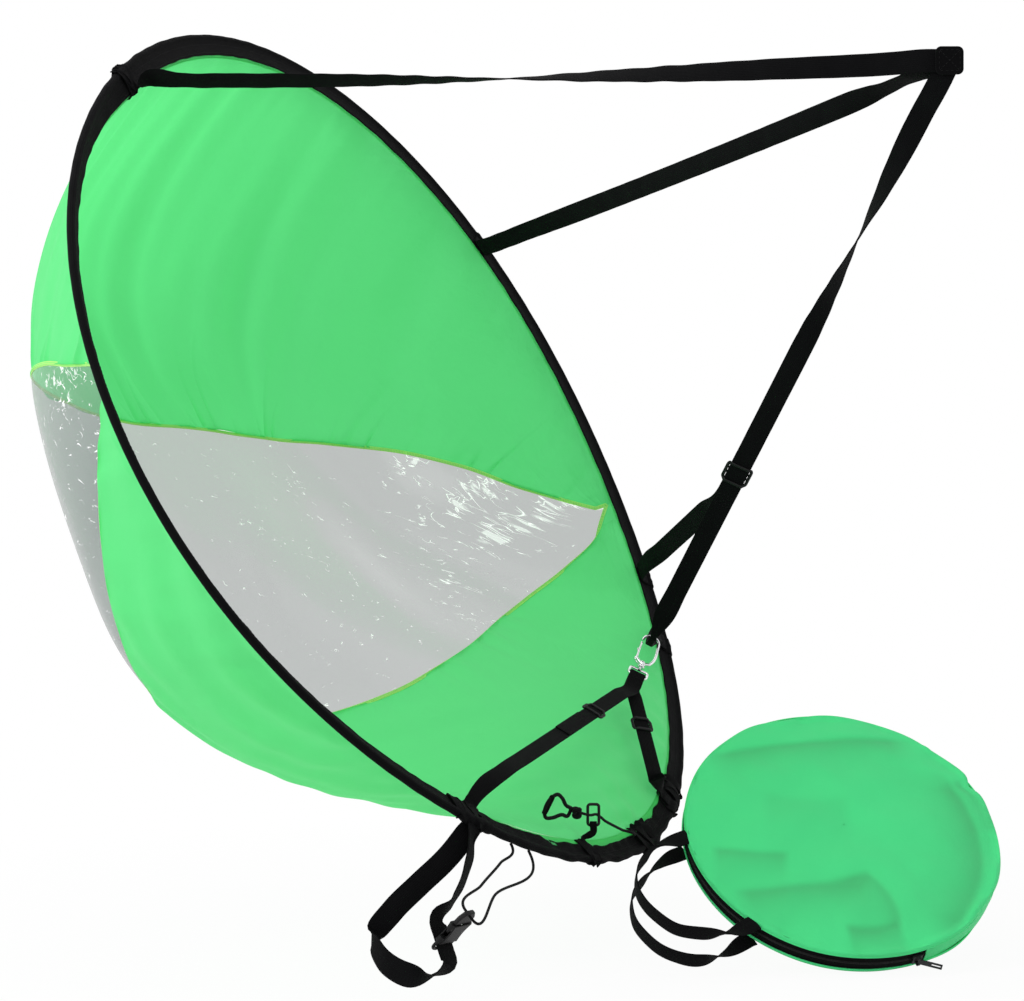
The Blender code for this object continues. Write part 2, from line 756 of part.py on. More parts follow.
def build_bowl():
    build_hem()
    top = seam_curve(TOP_SEAM_SHARES)
    low = seam_curve(LOW_SEAM_SHARES)
    tape = SEAM_WIDTH / 2 / BOWL_RADIUS
    panel = tape + CLEARANCE / BOWL_RADIUS

    above = beside(top, panel)
    upper = above + rim_arc(above[-1], above[0])
    sheet("upper_panel", upper, panel_points(upper), PANEL_CLOTH, green_cloth())

    under = beside(top, -panel)
    over = beside(low, panel)
    window = under + rim_arc(under[-1], over[-1]) + over[::-1] + rim_arc(over[0], under[0])
    clear = material("clear_vinyl", (0.80, 0.83, 0.82), 0.15, alpha=0.35)
    sheet("clear_window", window, panel_points(window), WINDOW_SHEET, clear)

    below = beside(low, -panel)
    lower = below + foot_arc(below[-1], below[0])
    sheet("lower_panel", lower, panel_points(lower), PANEL_CLOTH, green_cloth())

    binding = material("lime_tape", (0.45, 0.85, 0.08), 0.7)
    for name, curve in (("top_seam_tape", top), ("low_seam_tape", low)):
        outline = beside(curve, tape) + beside(curve, -tape)[::-1]
        sheet(name, outline, [], SEAM_THICKNESS, binding)


# Webbing anchors folded over the hoop

ANCHOR_FACE = LEG_OUTER + CLEARANCE + WEBBING
FOLD_EDGE = -SLEEVE_WIDTH / 2 + ANCHOR_MARGIN


def anchor(name, angle, width):
    """Webbing folded over the hoop's outer edge and sewn through the sleeve."""
    half = width / 2 / HOOP_RADIUS
    outer = fold_outline(CLEARANCE + WEBBING, LEG_OUTER, NOSE_RADIUS, FOLD_EDGE)
    inner = fold_outline(CLEARANCE, LEG_OUTER, NOSE_RADIUS, FOLD_EDGE)
    angles = angles_between(angle - half, angle + half)
    return loft(name, round_hoop(angles, outer + inner[::-1]), black_webbing())


def sewn_end(angle, width, toward):
    """Rows flat on an anchor's face, where a line or strap is sewn down, and where it lifts off."""
    height = ANCHOR_FACE + 1.5 * CLEARANCE + WEBBING / 2
    tangent = hoop_tangent(angle)
    outer, held, inner = [hoop_place(angle, reach, height)
                          for reach in (LEG_BEND, FOLD_EDGE, FOLD_EDGE - ANCHOR_MARGIN)]
    lift = unit(toward - inner)
    bend = inner + (unit(inner - outer) + RING_AXIS + lift) * width / 6
    return [(place, tangent, width, WEBBING) for place in (outer, held, inner)], bend


def in_view(line_along, turn):
    """Width direction square to a line, turned from upright about the line."""
    upright = unit(WORLD_UP - line_along * (WORLD_UP @ line_along))
    level = np.cross(line_along, upright)
    return upright * math.cos(turn) + level * math.sin(turn)


def hanging_place(start, end, share, sag):
    return start * (1 - share) + end * share - WORLD_UP * sag * 4 * share * (1 - share)


HAND_LAYER = WEBBING + CLEARANCE


def hand_place(layer):
    return vec(HAND_POINT) - VIEW_FRONT * HAND_LAYER * layer


def line_to_hand(name, angle, twists, layer, last_turn):
    hand = hand_place(layer)
    rows, bend = sewn_end(angle, LINE_WIDTH, hand)
    along = unit(hand - bend)
    turn = math.radians(twists[0][1])
    rows.append((bend, unit(hoop_tangent(angle) + 0.2 * in_view(along, turn)), LINE_WIDTH, WEBBING))
    for share, degrees in twists:
        side = in_view(along, math.radians(degrees))
        rows.append((hanging_place(bend, hand, share, LINE_SAG), side, LINE_WIDTH, WEBBING))
    level = VIEW_RIGHT * (along @ VIEW_RIGHT) + WORLD_UP * (along @ WORLD_UP)
    flat = unit(level)
    side = np.cross(VIEW_FRONT, flat) * last_turn
    if layer == 0:
        rows.append((hand - flat * PATCH_SIZE * 0.8, side, LINE_WIDTH, WEBBING))
    rows.append((hand, side, LINE_WIDTH, WEBBING))
    rows.append((hand + flat * LINE_END, side, LINE_WIDTH, WEBBING))
    webbing(name, rows, black_webbing())


HOOK_LEAN = unit(VIEW_RIGHT * HOOK_LEAN_SHARES[0] + WORLD_UP * HOOK_LEAN_SHARES[1])
HOOK_DOWN = HOOK_LEAN * math.cos(HOOK_TILT) + VIEW_FRONT * math.sin(HOOK_TILT)
HOOK_FRONT = VIEW_FRONT * math.cos(HOOK_TILT) - HOOK_LEAN * math.sin(HOOK_TILT)
HOOK_ACROSS = np.cross(HOOK_FRONT, HOOK_DOWN)
BAR_DROP = HOOK_WIRE + PINCH_THICKNESS / 2 + 4 * CLEARANCE
HOOK_TOP = vec(HOOK_POINT) - HOOK_DOWN * BAR_DROP

LOWER_END = vec(HOOK_POINT)
LOWER_ALONG = unit(LOWER_END - hand_place(1))
LOWER_LENGTH = np.linalg.norm(LOWER_END - hand_place(1))
LOWER_SIDE = unit(np.cross(VIEW_FRONT, LOWER_ALONG))
LOWER_FACE = np.cross(LOWER_ALONG, LOWER_SIDE)


def lower_place(share):
    return hand_place(1) + LOWER_ALONG * LOWER_LENGTH * share


def build_lines():
    for name, angle, width in (
        ("upper_anchor", UPPER_ANGLE, LINE_WIDTH),
        ("middle_anchor", MIDDLE_ANGLE, LINE_WIDTH),
        ("branch_anchor", BRANCH_ANGLE, LINE_WIDTH),
        ("lower_anchor", LOWER_ANGLE, LINE_WIDTH),
        ("port_anchor", PORT_ANGLE, PORT_ANCHOR_WIDTH),
        ("starboard_anchor", STARBOARD_ANGLE, LINE_WIDTH),
        ("foot_anchor", FOOT_ANGLE, FOOT_ANCHOR_WIDTH),
    ):
        anchor(name, angle, width)

    line_to_hand("upper_line", UPPER_ANGLE, UPPER_TWIST_SHARES, 0, -1)
    line_to_hand("middle_line", MIDDLE_ANGLE, MIDDLE_TWIST_SHARES, 2, 1)

    hand = hand_place(1)
    flat = unit(VIEW_RIGHT * (LOWER_ALONG @ VIEW_RIGHT) + WORLD_UP * (LOWER_ALONG @ WORLD_UP))
    hand_side = np.cross(VIEW_FRONT, flat)
    if hand_side @ LOWER_SIDE > 0:
        hand_side = -hand_side
    rows = [(hand - flat * LINE_END * 0.5, hand_side, LINE_WIDTH, WEBBING),
            (hand + flat * PATCH_SIZE / 2, hand_side, LINE_WIDTH, WEBBING)]
    for share, facing in ((0.08, hand_side), (0.17, hand_side - LOWER_FACE), (0.26, -LOWER_FACE),
                          (0.36, LOWER_SIDE - LOWER_FACE), (0.46, LOWER_SIDE)):
        rows.append((lower_place(share), unit(facing), LINE_WIDTH, WEBBING))
    for share in (0.55, 0.62, 0.70, 0.78, 0.84, 0.90):
        rows.append((lower_place(share), LOWER_SIDE, LINE_WIDTH, WEBBING))
    for step in (1, -1):
        rows.append((LOWER_END + HOOK_FRONT * step * HOOK_WIRE, HOOK_ACROSS, PINCH_WIDTH, PINCH_THICKNESS))
    ends, bend = sewn_end(LOWER_ANGLE, LINE_WIDTH, LOWER_END)
    tangent = hoop_tangent(LOWER_ANGLE)
    tangent = tangent if tangent @ HOOK_ACROSS > 0 else -tangent
    rows.append((bend, tangent, LINE_WIDTH, WEBBING))
    rows += [(place, tangent, width, thick) for place, _, width, thick in ends[::-1]]
    webbing("lower_line", rows, black_webbing())

    behind = -LOWER_FACE if LOWER_FACE @ VIEW_FRONT > 0 else LOWER_FACE
    layer = behind * (WEBBING + CLEARANCE)
    start = GLIDE_SHARE - GLIDE_LENGTH / LOWER_LENGTH
    rows = []
    for share in (start, GLIDE_SHARE, JUNCTION_SHARE - JUNCTION_LEAD_SHARE, JUNCTION_SHARE):
        rows.append((lower_place(share) + layer, LOWER_SIDE, LINE_WIDTH, WEBBING))
    ends, bend = sewn_end(BRANCH_ANGLE, LINE_WIDTH, lower_place(JUNCTION_SHARE))
    junction = rows[-1][0]
    side = unit(np.cross(VIEW_FRONT, bend - junction))
    tangent = hoop_tangent(BRANCH_ANGLE)
    tangent = tangent if tangent @ side > 0 else -tangent
    for share in (0.25, 0.5, 0.75):
        rows.append((junction * (1 - share) + bend * share, side, LINE_WIDTH, WEBBING))
    rows.append((bend, tangent, LINE_WIDTH, WEBBING))
    rows += [(place, tangent, width, thick) for place, _, width, thick in ends[::-1]]
    webbing("branch_line", rows, black_webbing())

    glide_centre = lower_place(GLIDE_SHARE) + layer / 2
    two_layers = WEBBING + CLEARANCE / 2
    glide = slide_frame("tri_glide", glide_centre, LOWER_ALONG, LOWER_SIDE, LINE_WIDTH, two_layers,
                        GLIDE_LENGTH, GLIDE_BAR, GLIDE_RAIL)
    set_origin(glide, glide_centre)

    half = PATCH_SIZE / 2
    centre = hand_place(0) + VIEW_FRONT * (WEBBING / 2 + CLEARANCE + PATCH_THICKNESS / 2)
    corners = []
    for turn in range(4):
        for step in range(4):
            angle = math.tau * turn / 4 + math.tau / 4 * step / 3
            middle_x = (half - PATCH_CORNER) * (1 if turn in (0, 3) else -1)
            middle_y = (half - PATCH_CORNER) * (1 if turn in (0, 1) else -1)
            corners.append((middle_x + PATCH_CORNER * math.cos(angle),
                            middle_y + PATCH_CORNER * math.sin(angle)))
    sections = []
    for face in (-PATCH_THICKNESS / 2, PATCH_THICKNESS / 2):
        sections.append([centre + VIEW_RIGHT * x + WORLD_UP * y + VIEW_FRONT * face for x, y in corners])
    loft("hand_patch", sections, black_webbing())


def slide_frame(name, centre, along, side, width, half_gap, length, bar, rail):
    """A moulded slide: two outer bars under the webbing, the middle bar over it, and side rails."""
    face = np.cross(along, side)
    inner = half_gap + RUNNING
    reach = width / 2 + RUNNING
    half = length / 2
    xs = (-half, -half + bar, -bar / 2, bar / 2, half - bar, half)
    ys = (-reach - rail, -reach, reach, reach + rail)
    zs = (-inner - rail, -inner, inner, inner + rail)

    def filled(i, j, k):
        if j != 1:
            return k == 1 or (k == 0 and i in (0, 4)) or (k == 2 and i == 2)
        return (k == 0 and i in (0, 4)) or (k == 2 and i == 2)

    return block(name, (xs, ys, zs), filled, placing(centre, along, side, face), black_plastic())


# Snap hook on the lower line

def hook_place(across, down, front=0.0):
    """A place in the hook's own frame, from the middle of its top bar."""
    return HOOK_TOP + HOOK_ACROSS * across + HOOK_DOWN * down + HOOK_FRONT * front


HALF_WINDOW = HOOK_WINDOW / 2 + HOOK_WIRE
COLLAR_TOP = HOOK_LENGTH
COLLAR_END = HOOK_LENGTH + COLLAR_LENGTH
GATE_PIVOT = (-HALF_WINDOW + GATE_RADIUS, HOOK_LENGTH - GATE_KNUCKLE)
EYE_WIDTH = STRAP_WIDTH + 2 * CLEARANCE
EYE_TOP = COLLAR_END + EYE_WIRE + 4 * RUNNING
EYE_BAR = EYE_TOP + EYE_HEIGHT
EYE_SIDE_HALF = EYE_WIDTH / 2 + EYE_WIRE


def hook_curve():
    """The bent wire: up from the collar, round the top bar, and down to the nose."""
    places = [hook_place(COLLAR_RADIUS * 0.4, COLLAR_TOP + COLLAR_LENGTH * 0.4),
              hook_place(HALF_WINDOW * 0.80, COLLAR_TOP - HOOK_WIRE),
              hook_place(HALF_WINDOW, COLLAR_TOP - 3 * HOOK_WIRE)]
    for step in range(9):
        angle = math.pi * step / 8
        round_top = HALF_WINDOW * (1 - math.sin(angle) ** 0.8)
        places.append(hook_place(HALF_WINDOW * math.cos(angle), round_top))
    return places


def build_hook():
    metal = plated_metal()
    body = rod("hook_body", hook_curve(), HOOK_WIRE, 8, metal)
    collar = cylinder("collar", hook_place(0, COLLAR_TOP), hook_place(0, COLLAR_END),
                      COLLAR_RADIUS, 16, metal)
    body = combine(body, collar, "UNION")
    lug_out = GATE_RADIUS + RUNNING + LUG_THICKNESS
    reach = GATE_KNUCKLE + RUNNING
    across, down = GATE_PIVOT
    xs = (across - GATE_KNUCKLE, across + reach, -RIVET_RADIUS - 2 * RUNNING, 0)
    ys = (down - GATE_KNUCKLE, COLLAR_TOP, down + reach, COLLAR_TOP + COLLAR_LENGTH / 2)
    zs = (-lug_out, -GATE_RADIUS - RUNNING, GATE_RADIUS + RUNNING, lug_out)

    def lug_cells(i, j, k):
        return j == 2 or (k != 1 and (i != 2 or j == 1))

    lugs = block("lugs", (xs, ys, zs), lug_cells,
                 placing(hook_place(0, 0), HOOK_ACROSS, HOOK_DOWN, HOOK_FRONT), metal)
    body = combine(body, lugs, "UNION")
    pin_ends = [hook_place(across, down, 2 * side * lug_out) for side in (-1, 1)]
    pin_cut = cylinder("pin_cut", *pin_ends, GATE_PIN_RADIUS + CLEARANCE, 12, metal)
    body = combine(body, pin_cut, "DIFFERENCE")
    bore = cylinder("bore", hook_place(0, COLLAR_TOP - COLLAR_LENGTH),
                    hook_place(0, COLLAR_END + COLLAR_LENGTH), STEM_RADIUS + RUNNING, 16, metal)
    body = combine(body, bore, "DIFFERENCE")
    set_origin(body, hook_place(0, COLLAR_END))

    pin = cylinder("gate_pin", hook_place(across, down, -lug_out), hook_place(across, down, lug_out),
                   GATE_PIN_RADIUS, 12, metal)
    set_origin(pin, hook_place(across, down))

    nose = HALF_WINDOW + GATE_RADIUS + 2 * RUNNING
    gate = cylinder("gate", hook_place(-HALF_WINDOW, nose), hook_place(across, down), GATE_RADIUS, 8, metal)
    knuckle = cylinder("knuckle", hook_place(across, down, -GATE_RADIUS),
                       hook_place(across, down, GATE_RADIUS), GATE_KNUCKLE, 12, metal)
    gate = combine(gate, knuckle, "UNION")
    hole = cylinder("hole", *pin_ends, GATE_PIN_RADIUS + CLEARANCE, 12, metal)
    gate = combine(gate, hole, "DIFFERENCE")
    gate.name = "hook_gate"
    set_origin(gate, hook_place(across, down))

    top = COLLAR_TOP - RUNNING - RIVET_HEIGHT
    stem = cylinder("swivel_eye", hook_place(0, top + RIVET_HEIGHT / 2),
                    hook_place(0, EYE_TOP + EYE_WIRE * 0.4), STEM_RADIUS, 16, metal)
    rivet = cylinder("rivet", hook_place(0, top), hook_place(0, top + RIVET_HEIGHT),
                     RIVET_RADIUS, 16, metal)
    stem = combine(stem, rivet, "UNION")
    corner = EYE_WIRE
    loop = []
    for x, y, turn in ((EYE_SIDE_HALF, EYE_TOP, 0), (EYE_SIDE_HALF, EYE_BAR, 1),
                       (-EYE_SIDE_HALF, EYE_BAR, 2), (-EYE_SIDE_HALF, EYE_TOP, 3)):
        for step in range(4):
            angle = math.tau / 4 * (turn - 1) + math.tau / 4 * step / 3
            inner_x = x - math.copysign(corner, x)
            inner_y = y + (corner if y == EYE_TOP else -corner)
            loop.append(hook_place(inner_x + corner * math.cos(angle), inner_y + corner * math.sin(angle)))
    ring = rod("ring", loop, EYE_WIRE, 8, metal, closed=True)
    combine(stem, ring, "UNION")


# Deck straps

INNER_LOOP = EYE_WIRE + CLEARANCE + WEBBING / 2
OUTER_LOOP = INNER_LOOP + WEBBING + CLEARANCE


def strap(name, loop_radius, spread, anchor_angle, knee, adjuster_share, adjuster_name):
    """A deck strap from the eye to its anchor, with its slide adjuster on a straight stretch."""
    rows = []
    for drop in (EYE_TAIL, EYE_TAIL / 2):
        rows.append((hook_place(0, EYE_BAR + drop, -loop_radius), HOOK_ACROSS, STRAP_WIDTH, WEBBING))
    for step in range(7):
        angle = math.pi * step / 6
        place = hook_place(0, EYE_BAR - loop_radius * math.sin(angle), -loop_radius * math.cos(angle))
        rows.append((place, HOOK_ACROSS, STRAP_WIDTH, WEBBING))
    for drop in (EYE_TAIL / 2, EYE_TAIL):
        front = loop_radius + spread * drop
        rows.append((hook_place(0, EYE_BAR + drop, front), HOOK_ACROSS, STRAP_WIDTH, WEBBING))
    start = rows[-1][0]
    knee = vec(knee)
    along = unit(knee - start)
    side = unit(HOOK_ACROSS - along * (HOOK_ACROSS @ along))
    for share in (*STRAP_ROW_SHARES[0], adjuster_share, *STRAP_ROW_SHARES[1]):
        rows.append((start * (1 - share) + knee * share, side, STRAP_WIDTH, WEBBING))
    ends, bend = sewn_end(anchor_angle, STRAP_WIDTH, knee)
    tangent = hoop_tangent(anchor_angle)
    tangent = tangent if tangent @ side > 0 else -tangent
    rows.append((bend, tangent, STRAP_WIDTH, WEBBING))
    rows += [(place, tangent, width, thick) for place, _, width, thick in ends[::-1]]
    webbing(name, rows, black_webbing())
    centre = start * (1 - adjuster_share) + knee * adjuster_share
    frame = slide_frame(adjuster_name, centre, along, side, STRAP_WIDTH, WEBBING / 2, ADJUSTER_LENGTH,
                        ADJUSTER_BAR, ADJUSTER_RAIL)
    set_origin(frame, centre)
    return centre, along, side


def build_straps():
    strap("starboard_strap", INNER_LOOP, 0, STARBOARD_ANGLE, STARBOARD_KNEE, STARBOARD_ADJUSTER_SHARE,
          "starboard_adjuster")
    centre, along, side = strap("port_strap", OUTER_LOOP, PORT_SPREAD_SHARE, PORT_ANGLE, PORT_KNEE,
                                PORT_ADJUSTER_SHARE, "port_adjuster")
    face = np.cross(along, side)
    if face @ VIEW_FRONT < 0:
        face = -face
    off = face * (WEBBING + CLEARANCE)
    begin = centre + along * (ADJUSTER_LENGTH / 2 + ADJUSTER_TRAVEL + CLEARANCE)
    rows = []
    for step in range(4):
        rows.append((begin + off + along * STRAP_TAIL * step / 3, side, STRAP_WIDTH, WEBBING))
    webbing("port_strap_tail", rows, black_webbing())


# Lashing loop, buckle and cords under the port anchor

LOOP_LEVEL = unit(hoop_tangent(PORT_ANGLE) * vec((1, 1, 0)))
LOOP_LEVEL = LOOP_LEVEL if LOOP_LEVEL @ VIEW_RIGHT < 0 else -LOOP_LEVEL
LOOP_DEEP = np.cross(WORLD_UP, LOOP_LEVEL)
LOOP_DEEP = LOOP_DEEP if LOOP_DEEP @ VIEW_RIGHT < 0 else -LOOP_DEEP
LOOP_HEAD = hoop_place(PORT_ANGLE, ROD_OFFSET + NOSE_RADIUS + 2 * CLEARANCE + WEBBING, 0)
LOOP_HEAD = LOOP_HEAD - WORLD_UP * LOOP_HEAD_DROP
VIEW_DIRECTIONS = np.array((VIEW_FRONT, VIEW_RIGHT, WORLD_UP))
SOCKET_SIDE = unit(SOCKET_SIDE_SHARES @ VIEW_DIRECTIONS)
SOCKET_ALONG = unit(SOCKET_ALONG_SHARES @ VIEW_DIRECTIONS)
SOCKET_FACE = np.cross(SOCKET_ALONG, SOCKET_SIDE)
SOCKET_FACE = SOCKET_FACE if SOCKET_FACE[2] > 0 else -SOCKET_FACE


def loop_place(level, deep, down):
    return LOOP_HEAD + (LOOP_LEVEL * level + LOOP_DEEP * deep - WORLD_UP * down) * LOOP_DROP


SOCKET = loop_place(*SOCKET_SHARES)
BUCKLE_HALF = LINE_WIDTH / 2 + RUNNING + BUCKLE_WALL
CAVITY_HALF = BUCKLE_THICKNESS / 2 - BUCKLE_WALL
SOCKET_START = SLOT_HALF + BUCKLE_WALL
SOCKET_END = SOCKET_START + SOCKET_LENGTH
INSERT_START = SOCKET_END + RUNNING
INSERT_END = INSERT_START + INSERT_LENGTH
HOLE_HALF = CORD_RADIUS + RUNNING
HOLE_MIDDLE = INSERT_END - BUCKLE_WALL - HOLE_HALF


def socket_place(along, side=0.0, face=0.0):
    return SOCKET + SOCKET_ALONG * along + SOCKET_SIDE * side + SOCKET_FACE * face


def build_lashing():
    tangent = hoop_tangent(PORT_ANGLE) * math.copysign(1, hoop_tangent(PORT_ANGLE) @ LOOP_LEVEL)
    rows = []
    for level, deep, down, upright in LOOP_START_SHARES:
        side = unit(tangent * (1 - upright) - WORLD_UP * upright)
        rows.append((loop_place(level, deep, down), side, LINE_WIDTH, WEBBING))
    through = unit(WORLD_UP + SOCKET_FACE)
    side = SOCKET_SIDE if SOCKET_SIDE @ tangent > 0 else -SOCKET_SIDE
    for step in (-1, -0.5, 0.5, 1):
        rows.append((SOCKET + through * SLOT_LEAD * step, side, LINE_WIDTH, WEBBING))
    for level, deep, down, upright in LOOP_END_SHARES:
        side = unit(tangent * (1 - upright) - WORLD_UP * upright)
        rows.append((loop_place(level, deep, down), side, LINE_WIDTH, WEBBING))
    webbing("lashing_loop", rows, black_webbing(), spacing=LOOP_STEP)

    wall = BUCKLE_WALL
    window = SOCKET_LENGTH / 3
    xs = (-SLOT_HALF - SLOT_BAR, -SLOT_HALF, SLOT_HALF, SOCKET_START, SOCKET_START + window,
          SOCKET_START + 2 * window, SOCKET_END)
    ys = (-BUCKLE_HALF, -BUCKLE_HALF + wall, BUCKLE_HALF - wall, BUCKLE_HALF)
    zs = (-BUCKLE_THICKNESS / 2, -CAVITY_HALF, CAVITY_HALF, BUCKLE_THICKNESS / 2)

    def socket_cells(i, j, k):
        if i == 0:
            return k == 1
        if i == 1:
            return j != 1 and k == 1
        if i == 2:
            return True
        if i == 4:
            return k != 1
        return j != 1 or k != 1

    place = placing(SOCKET, SOCKET_ALONG, SOCKET_SIDE, SOCKET_FACE)
    block("buckle_socket", (xs, ys, zs), socket_cells, place, black_plastic())

    reach = BUCKLE_HALF - wall - RUNNING
    xs = (SOCKET_END - PRONG_LENGTH, INSERT_START, HOLE_MIDDLE - HOLE_HALF,
          HOLE_MIDDLE + HOLE_HALF, INSERT_END)
    ys = (-reach, -reach + 2 * wall, -HOLE_HALF, HOLE_HALF, reach - 2 * wall, reach)
    zs = (-CAVITY_HALF + RUNNING, CAVITY_HALF - RUNNING)

    def insert_cells(i, j, _):
        if i == 0:
            return j in (0, 2, 4)
        return i != 2 or j != 2

    insert = block("buckle_insert", (xs, ys, zs), insert_cells, place, black_plastic())
    set_origin(insert, socket_place(INSERT_START))

    hole = socket_place(HOLE_MIDDLE)
    deep = SOCKET_FACE * (CAVITY_HALF + CORD_REACH)
    first, last = [hoop_place(tie, SLEEVE_WIDTH / 2 + 5 * CLEARANCE, 0) for tie in LASHING_TIE_ANGLES]
    rows = [first, first - RING_UP * CORD_DROPS[0],
            first * 0.75 + hole * 0.25 - WORLD_UP * CORD_SAGS[0],
            first * 0.35 + (hole + deep) * 0.65, hole + deep, hole, hole - deep,
            (hole - deep) * 0.6 + last * 0.4 - WORLD_UP * CORD_SAGS[1],
            last - RING_UP * CORD_DROPS[1], last]
    cord("lashing_cord", rows, CORD_RADIUS, material("black_cord", (0.02, 0.02, 0.02), 0.8))


# Foot fittings

def build_foot():
    black = black_plastic()
    cordage = material("black_cord", (0.02, 0.02, 0.02), 0.8)
    ring = vec(RING_PLACE)
    place = placing(ring, VIEW_RIGHT, WORLD_UP, VIEW_FRONT)
    half_x = RING_WIDTH / 2
    half_y = RING_HEIGHT / 2
    xs = (-half_x, -half_x + RING_BAR, half_x - RING_BAR, half_x)
    ys = (-half_y, -half_y + RING_BAR, half_y - RING_BAR, half_y)
    zs = (-RING_BAR / 2, RING_BAR / 2)
    made = block("foot_ring", (xs, ys, zs), lambda i, j, _: i != 1 or j != 1, place, black)
    pivot = ring - WORLD_UP * (half_y - RING_BAR / 2)
    set_origin(made, pivot)

    width = RING_WIDTH - 2 * RING_BAR - 2 * RUNNING
    radius = RING_BAR * math.sqrt(0.5) + 2 * CLEARANCE + WEBBING / 2
    rows = []
    ends, bend = sewn_end(FOOT_ANGLE, width, pivot)
    tangent = hoop_tangent(FOOT_ANGLE)
    tangent = tangent if tangent @ VIEW_RIGHT > 0 else -tangent
    rows += [(spot, tangent, wide, thick) for spot, _, wide, thick in ends]
    rows.append((pivot - WORLD_UP * 2 * radius + VIEW_FRONT * radius, VIEW_RIGHT, width, WEBBING))
    for step in range(7):
        angle = math.pi * step / 6
        spot = pivot + WORLD_UP * radius * math.sin(angle) + VIEW_FRONT * radius * math.cos(angle)
        rows.append((spot, VIEW_RIGHT, width, WEBBING))
    rows.append((pivot - VIEW_FRONT * radius - WORLD_UP * radius * 0.8, VIEW_RIGHT, width, WEBBING))
    webbing("foot_tab", rows, black_webbing())

    knot = vec(KNOT_PLACE)
    sections = []
    for step in range(9):
        angle = math.pi * (step + 0.5) / 9
        reach = KNOT_RADIUS * math.sin(angle)
        turns = [math.tau * turn / 12 for turn in range(12)]
        sections.append([knot - VIEW_RIGHT * KNOT_RADIUS * math.cos(angle)
                         + (WORLD_UP * math.cos(a) + VIEW_FRONT * math.sin(a)) * reach for a in turns])
    loft("foot_knot", sections, cordage)

    end = hoop_place(TETHER_END_ANGLE, -SLEEVE_WIDTH / 4, LEG_OUTER + 1.5 * CLEARANCE)
    lifted = end + RING_AXIS * 3 * TETHER_RADIUS
    weave = half_x - RING_BAR - TETHER_RADIUS - RUNNING
    entry = ring - VIEW_RIGHT * weave + VIEW_FRONT * TETHER_REACH
    begin = knot + unit(entry - knot) * (KNOT_RADIUS + 1.5 * CLEARANCE)
    rows = [begin, entry,
            ring + VIEW_RIGHT * weave - VIEW_FRONT * TETHER_REACH,
            ring * 0.7 + lifted * 0.3, ring * 0.3 + lifted * 0.7, lifted, end]
    cord("foot_cord", rows, TETHER_RADIUS, cordage)

    eye = vec(CORD_EYE_PLACE)
    head = knot - VIEW_RIGHT * (KNOT_RADIUS + TETHER_RADIUS + 3 * CLEARANCE)
    span = np.linalg.norm(eye - head)
    lengthwise = unit(eye - head)
    crosswise = unit(np.cross(lengthwise, VIEW_FRONT))
    outline = [head + lengthwise * span * a + crosswise * span * b for a, b in CORD_EYE_SHARES]
    rod("foot_cord_loop", outline, TETHER_RADIUS, 8, cordage, closed=True)


# Storage bag

BAG_FRONT = VIEW_FRONT * math.cos(BAG_LEAN) + WORLD_UP * math.sin(BAG_LEAN)
BAG_FRONT = unit(BAG_FRONT + VIEW_RIGHT * math.sin(BAG_YAW))
BAG_RIGHT = unit(np.cross(WORLD_UP, BAG_FRONT))
BAG_UP = np.cross(BAG_FRONT, BAG_RIGHT)
BAG_RADIUS = BAG_DIAMETER / 2


def bag_place(angle, radius, front=0.0):
    return (vec(BAG_CENTRE) + BAG_RIGHT * radius * math.cos(angle) + BAG_UP * radius * math.sin(angle)
            + BAG_FRONT * front)


def bag_panel(name, facing):
    """A domed round panel: its outer and inner faces, joined along the rim."""
    angles = [math.tau * step / BAG_STATIONS for step in range(BAG_STATIONS)]
    points = []
    faces = []
    for skin in (0, 1):
        start = len(points)
        for share in BAG_PROFILE_SHARES[1:]:
            height = BAG_DEPTH / 2 + BAG_CROWN * (1 - share ** 4) - BAG_CLOTH * skin
            radius = BAG_RADIUS * share
            points += [bag_place(a, radius, height * facing) for a in angles]
        points.append(bag_place(0, 0, (BAG_DEPTH / 2 + BAG_CROWN - BAG_CLOTH * skin) * facing))
        tip = len(points) - 1
        for step in range(BAG_STATIONS):
            after = (step + 1) % BAG_STATIONS
            faces.append((tip, start + step, start + after))
            for ring in range(len(BAG_PROFILE_SHARES) - 2):
                near = start + ring * BAG_STATIONS
                far = near + BAG_STATIONS
                faces.append((near + step, far + step, far + after, near + after))
    rim = BAG_STATIONS * (len(BAG_PROFILE_SHARES) - 2)
    other = rim + BAG_STATIONS * (len(BAG_PROFILE_SHARES) - 1) + 1
    for step in range(BAG_STATIONS):
        after = (step + 1) % BAG_STATIONS
        faces.append((rim + step, rim + after, other + after, other + step))
    return solid(name, points, faces, green_cloth())


def bag_band(name, start, end, near, far, thick, finish, outside=0.0):
    """A band of the bag's edge between two angles and two heights."""
    step = math.tau / BAG_STATIONS
    first = math.floor(start / step + 1e-6) + 1
    last = math.ceil(end / step - 1e-6) - 1
    angles = [start] + [index * step for index in range(first, last + 1)] + [end]
    sections = []
    outer = BAG_RADIUS + outside
    for angle in angles:
        sections.append([bag_place(angle, outer - thick, near), bag_place(angle, outer, near),
                         bag_place(angle, outer, far), bag_place(angle, outer - thick, far)])
    return loft(name, sections, finish)


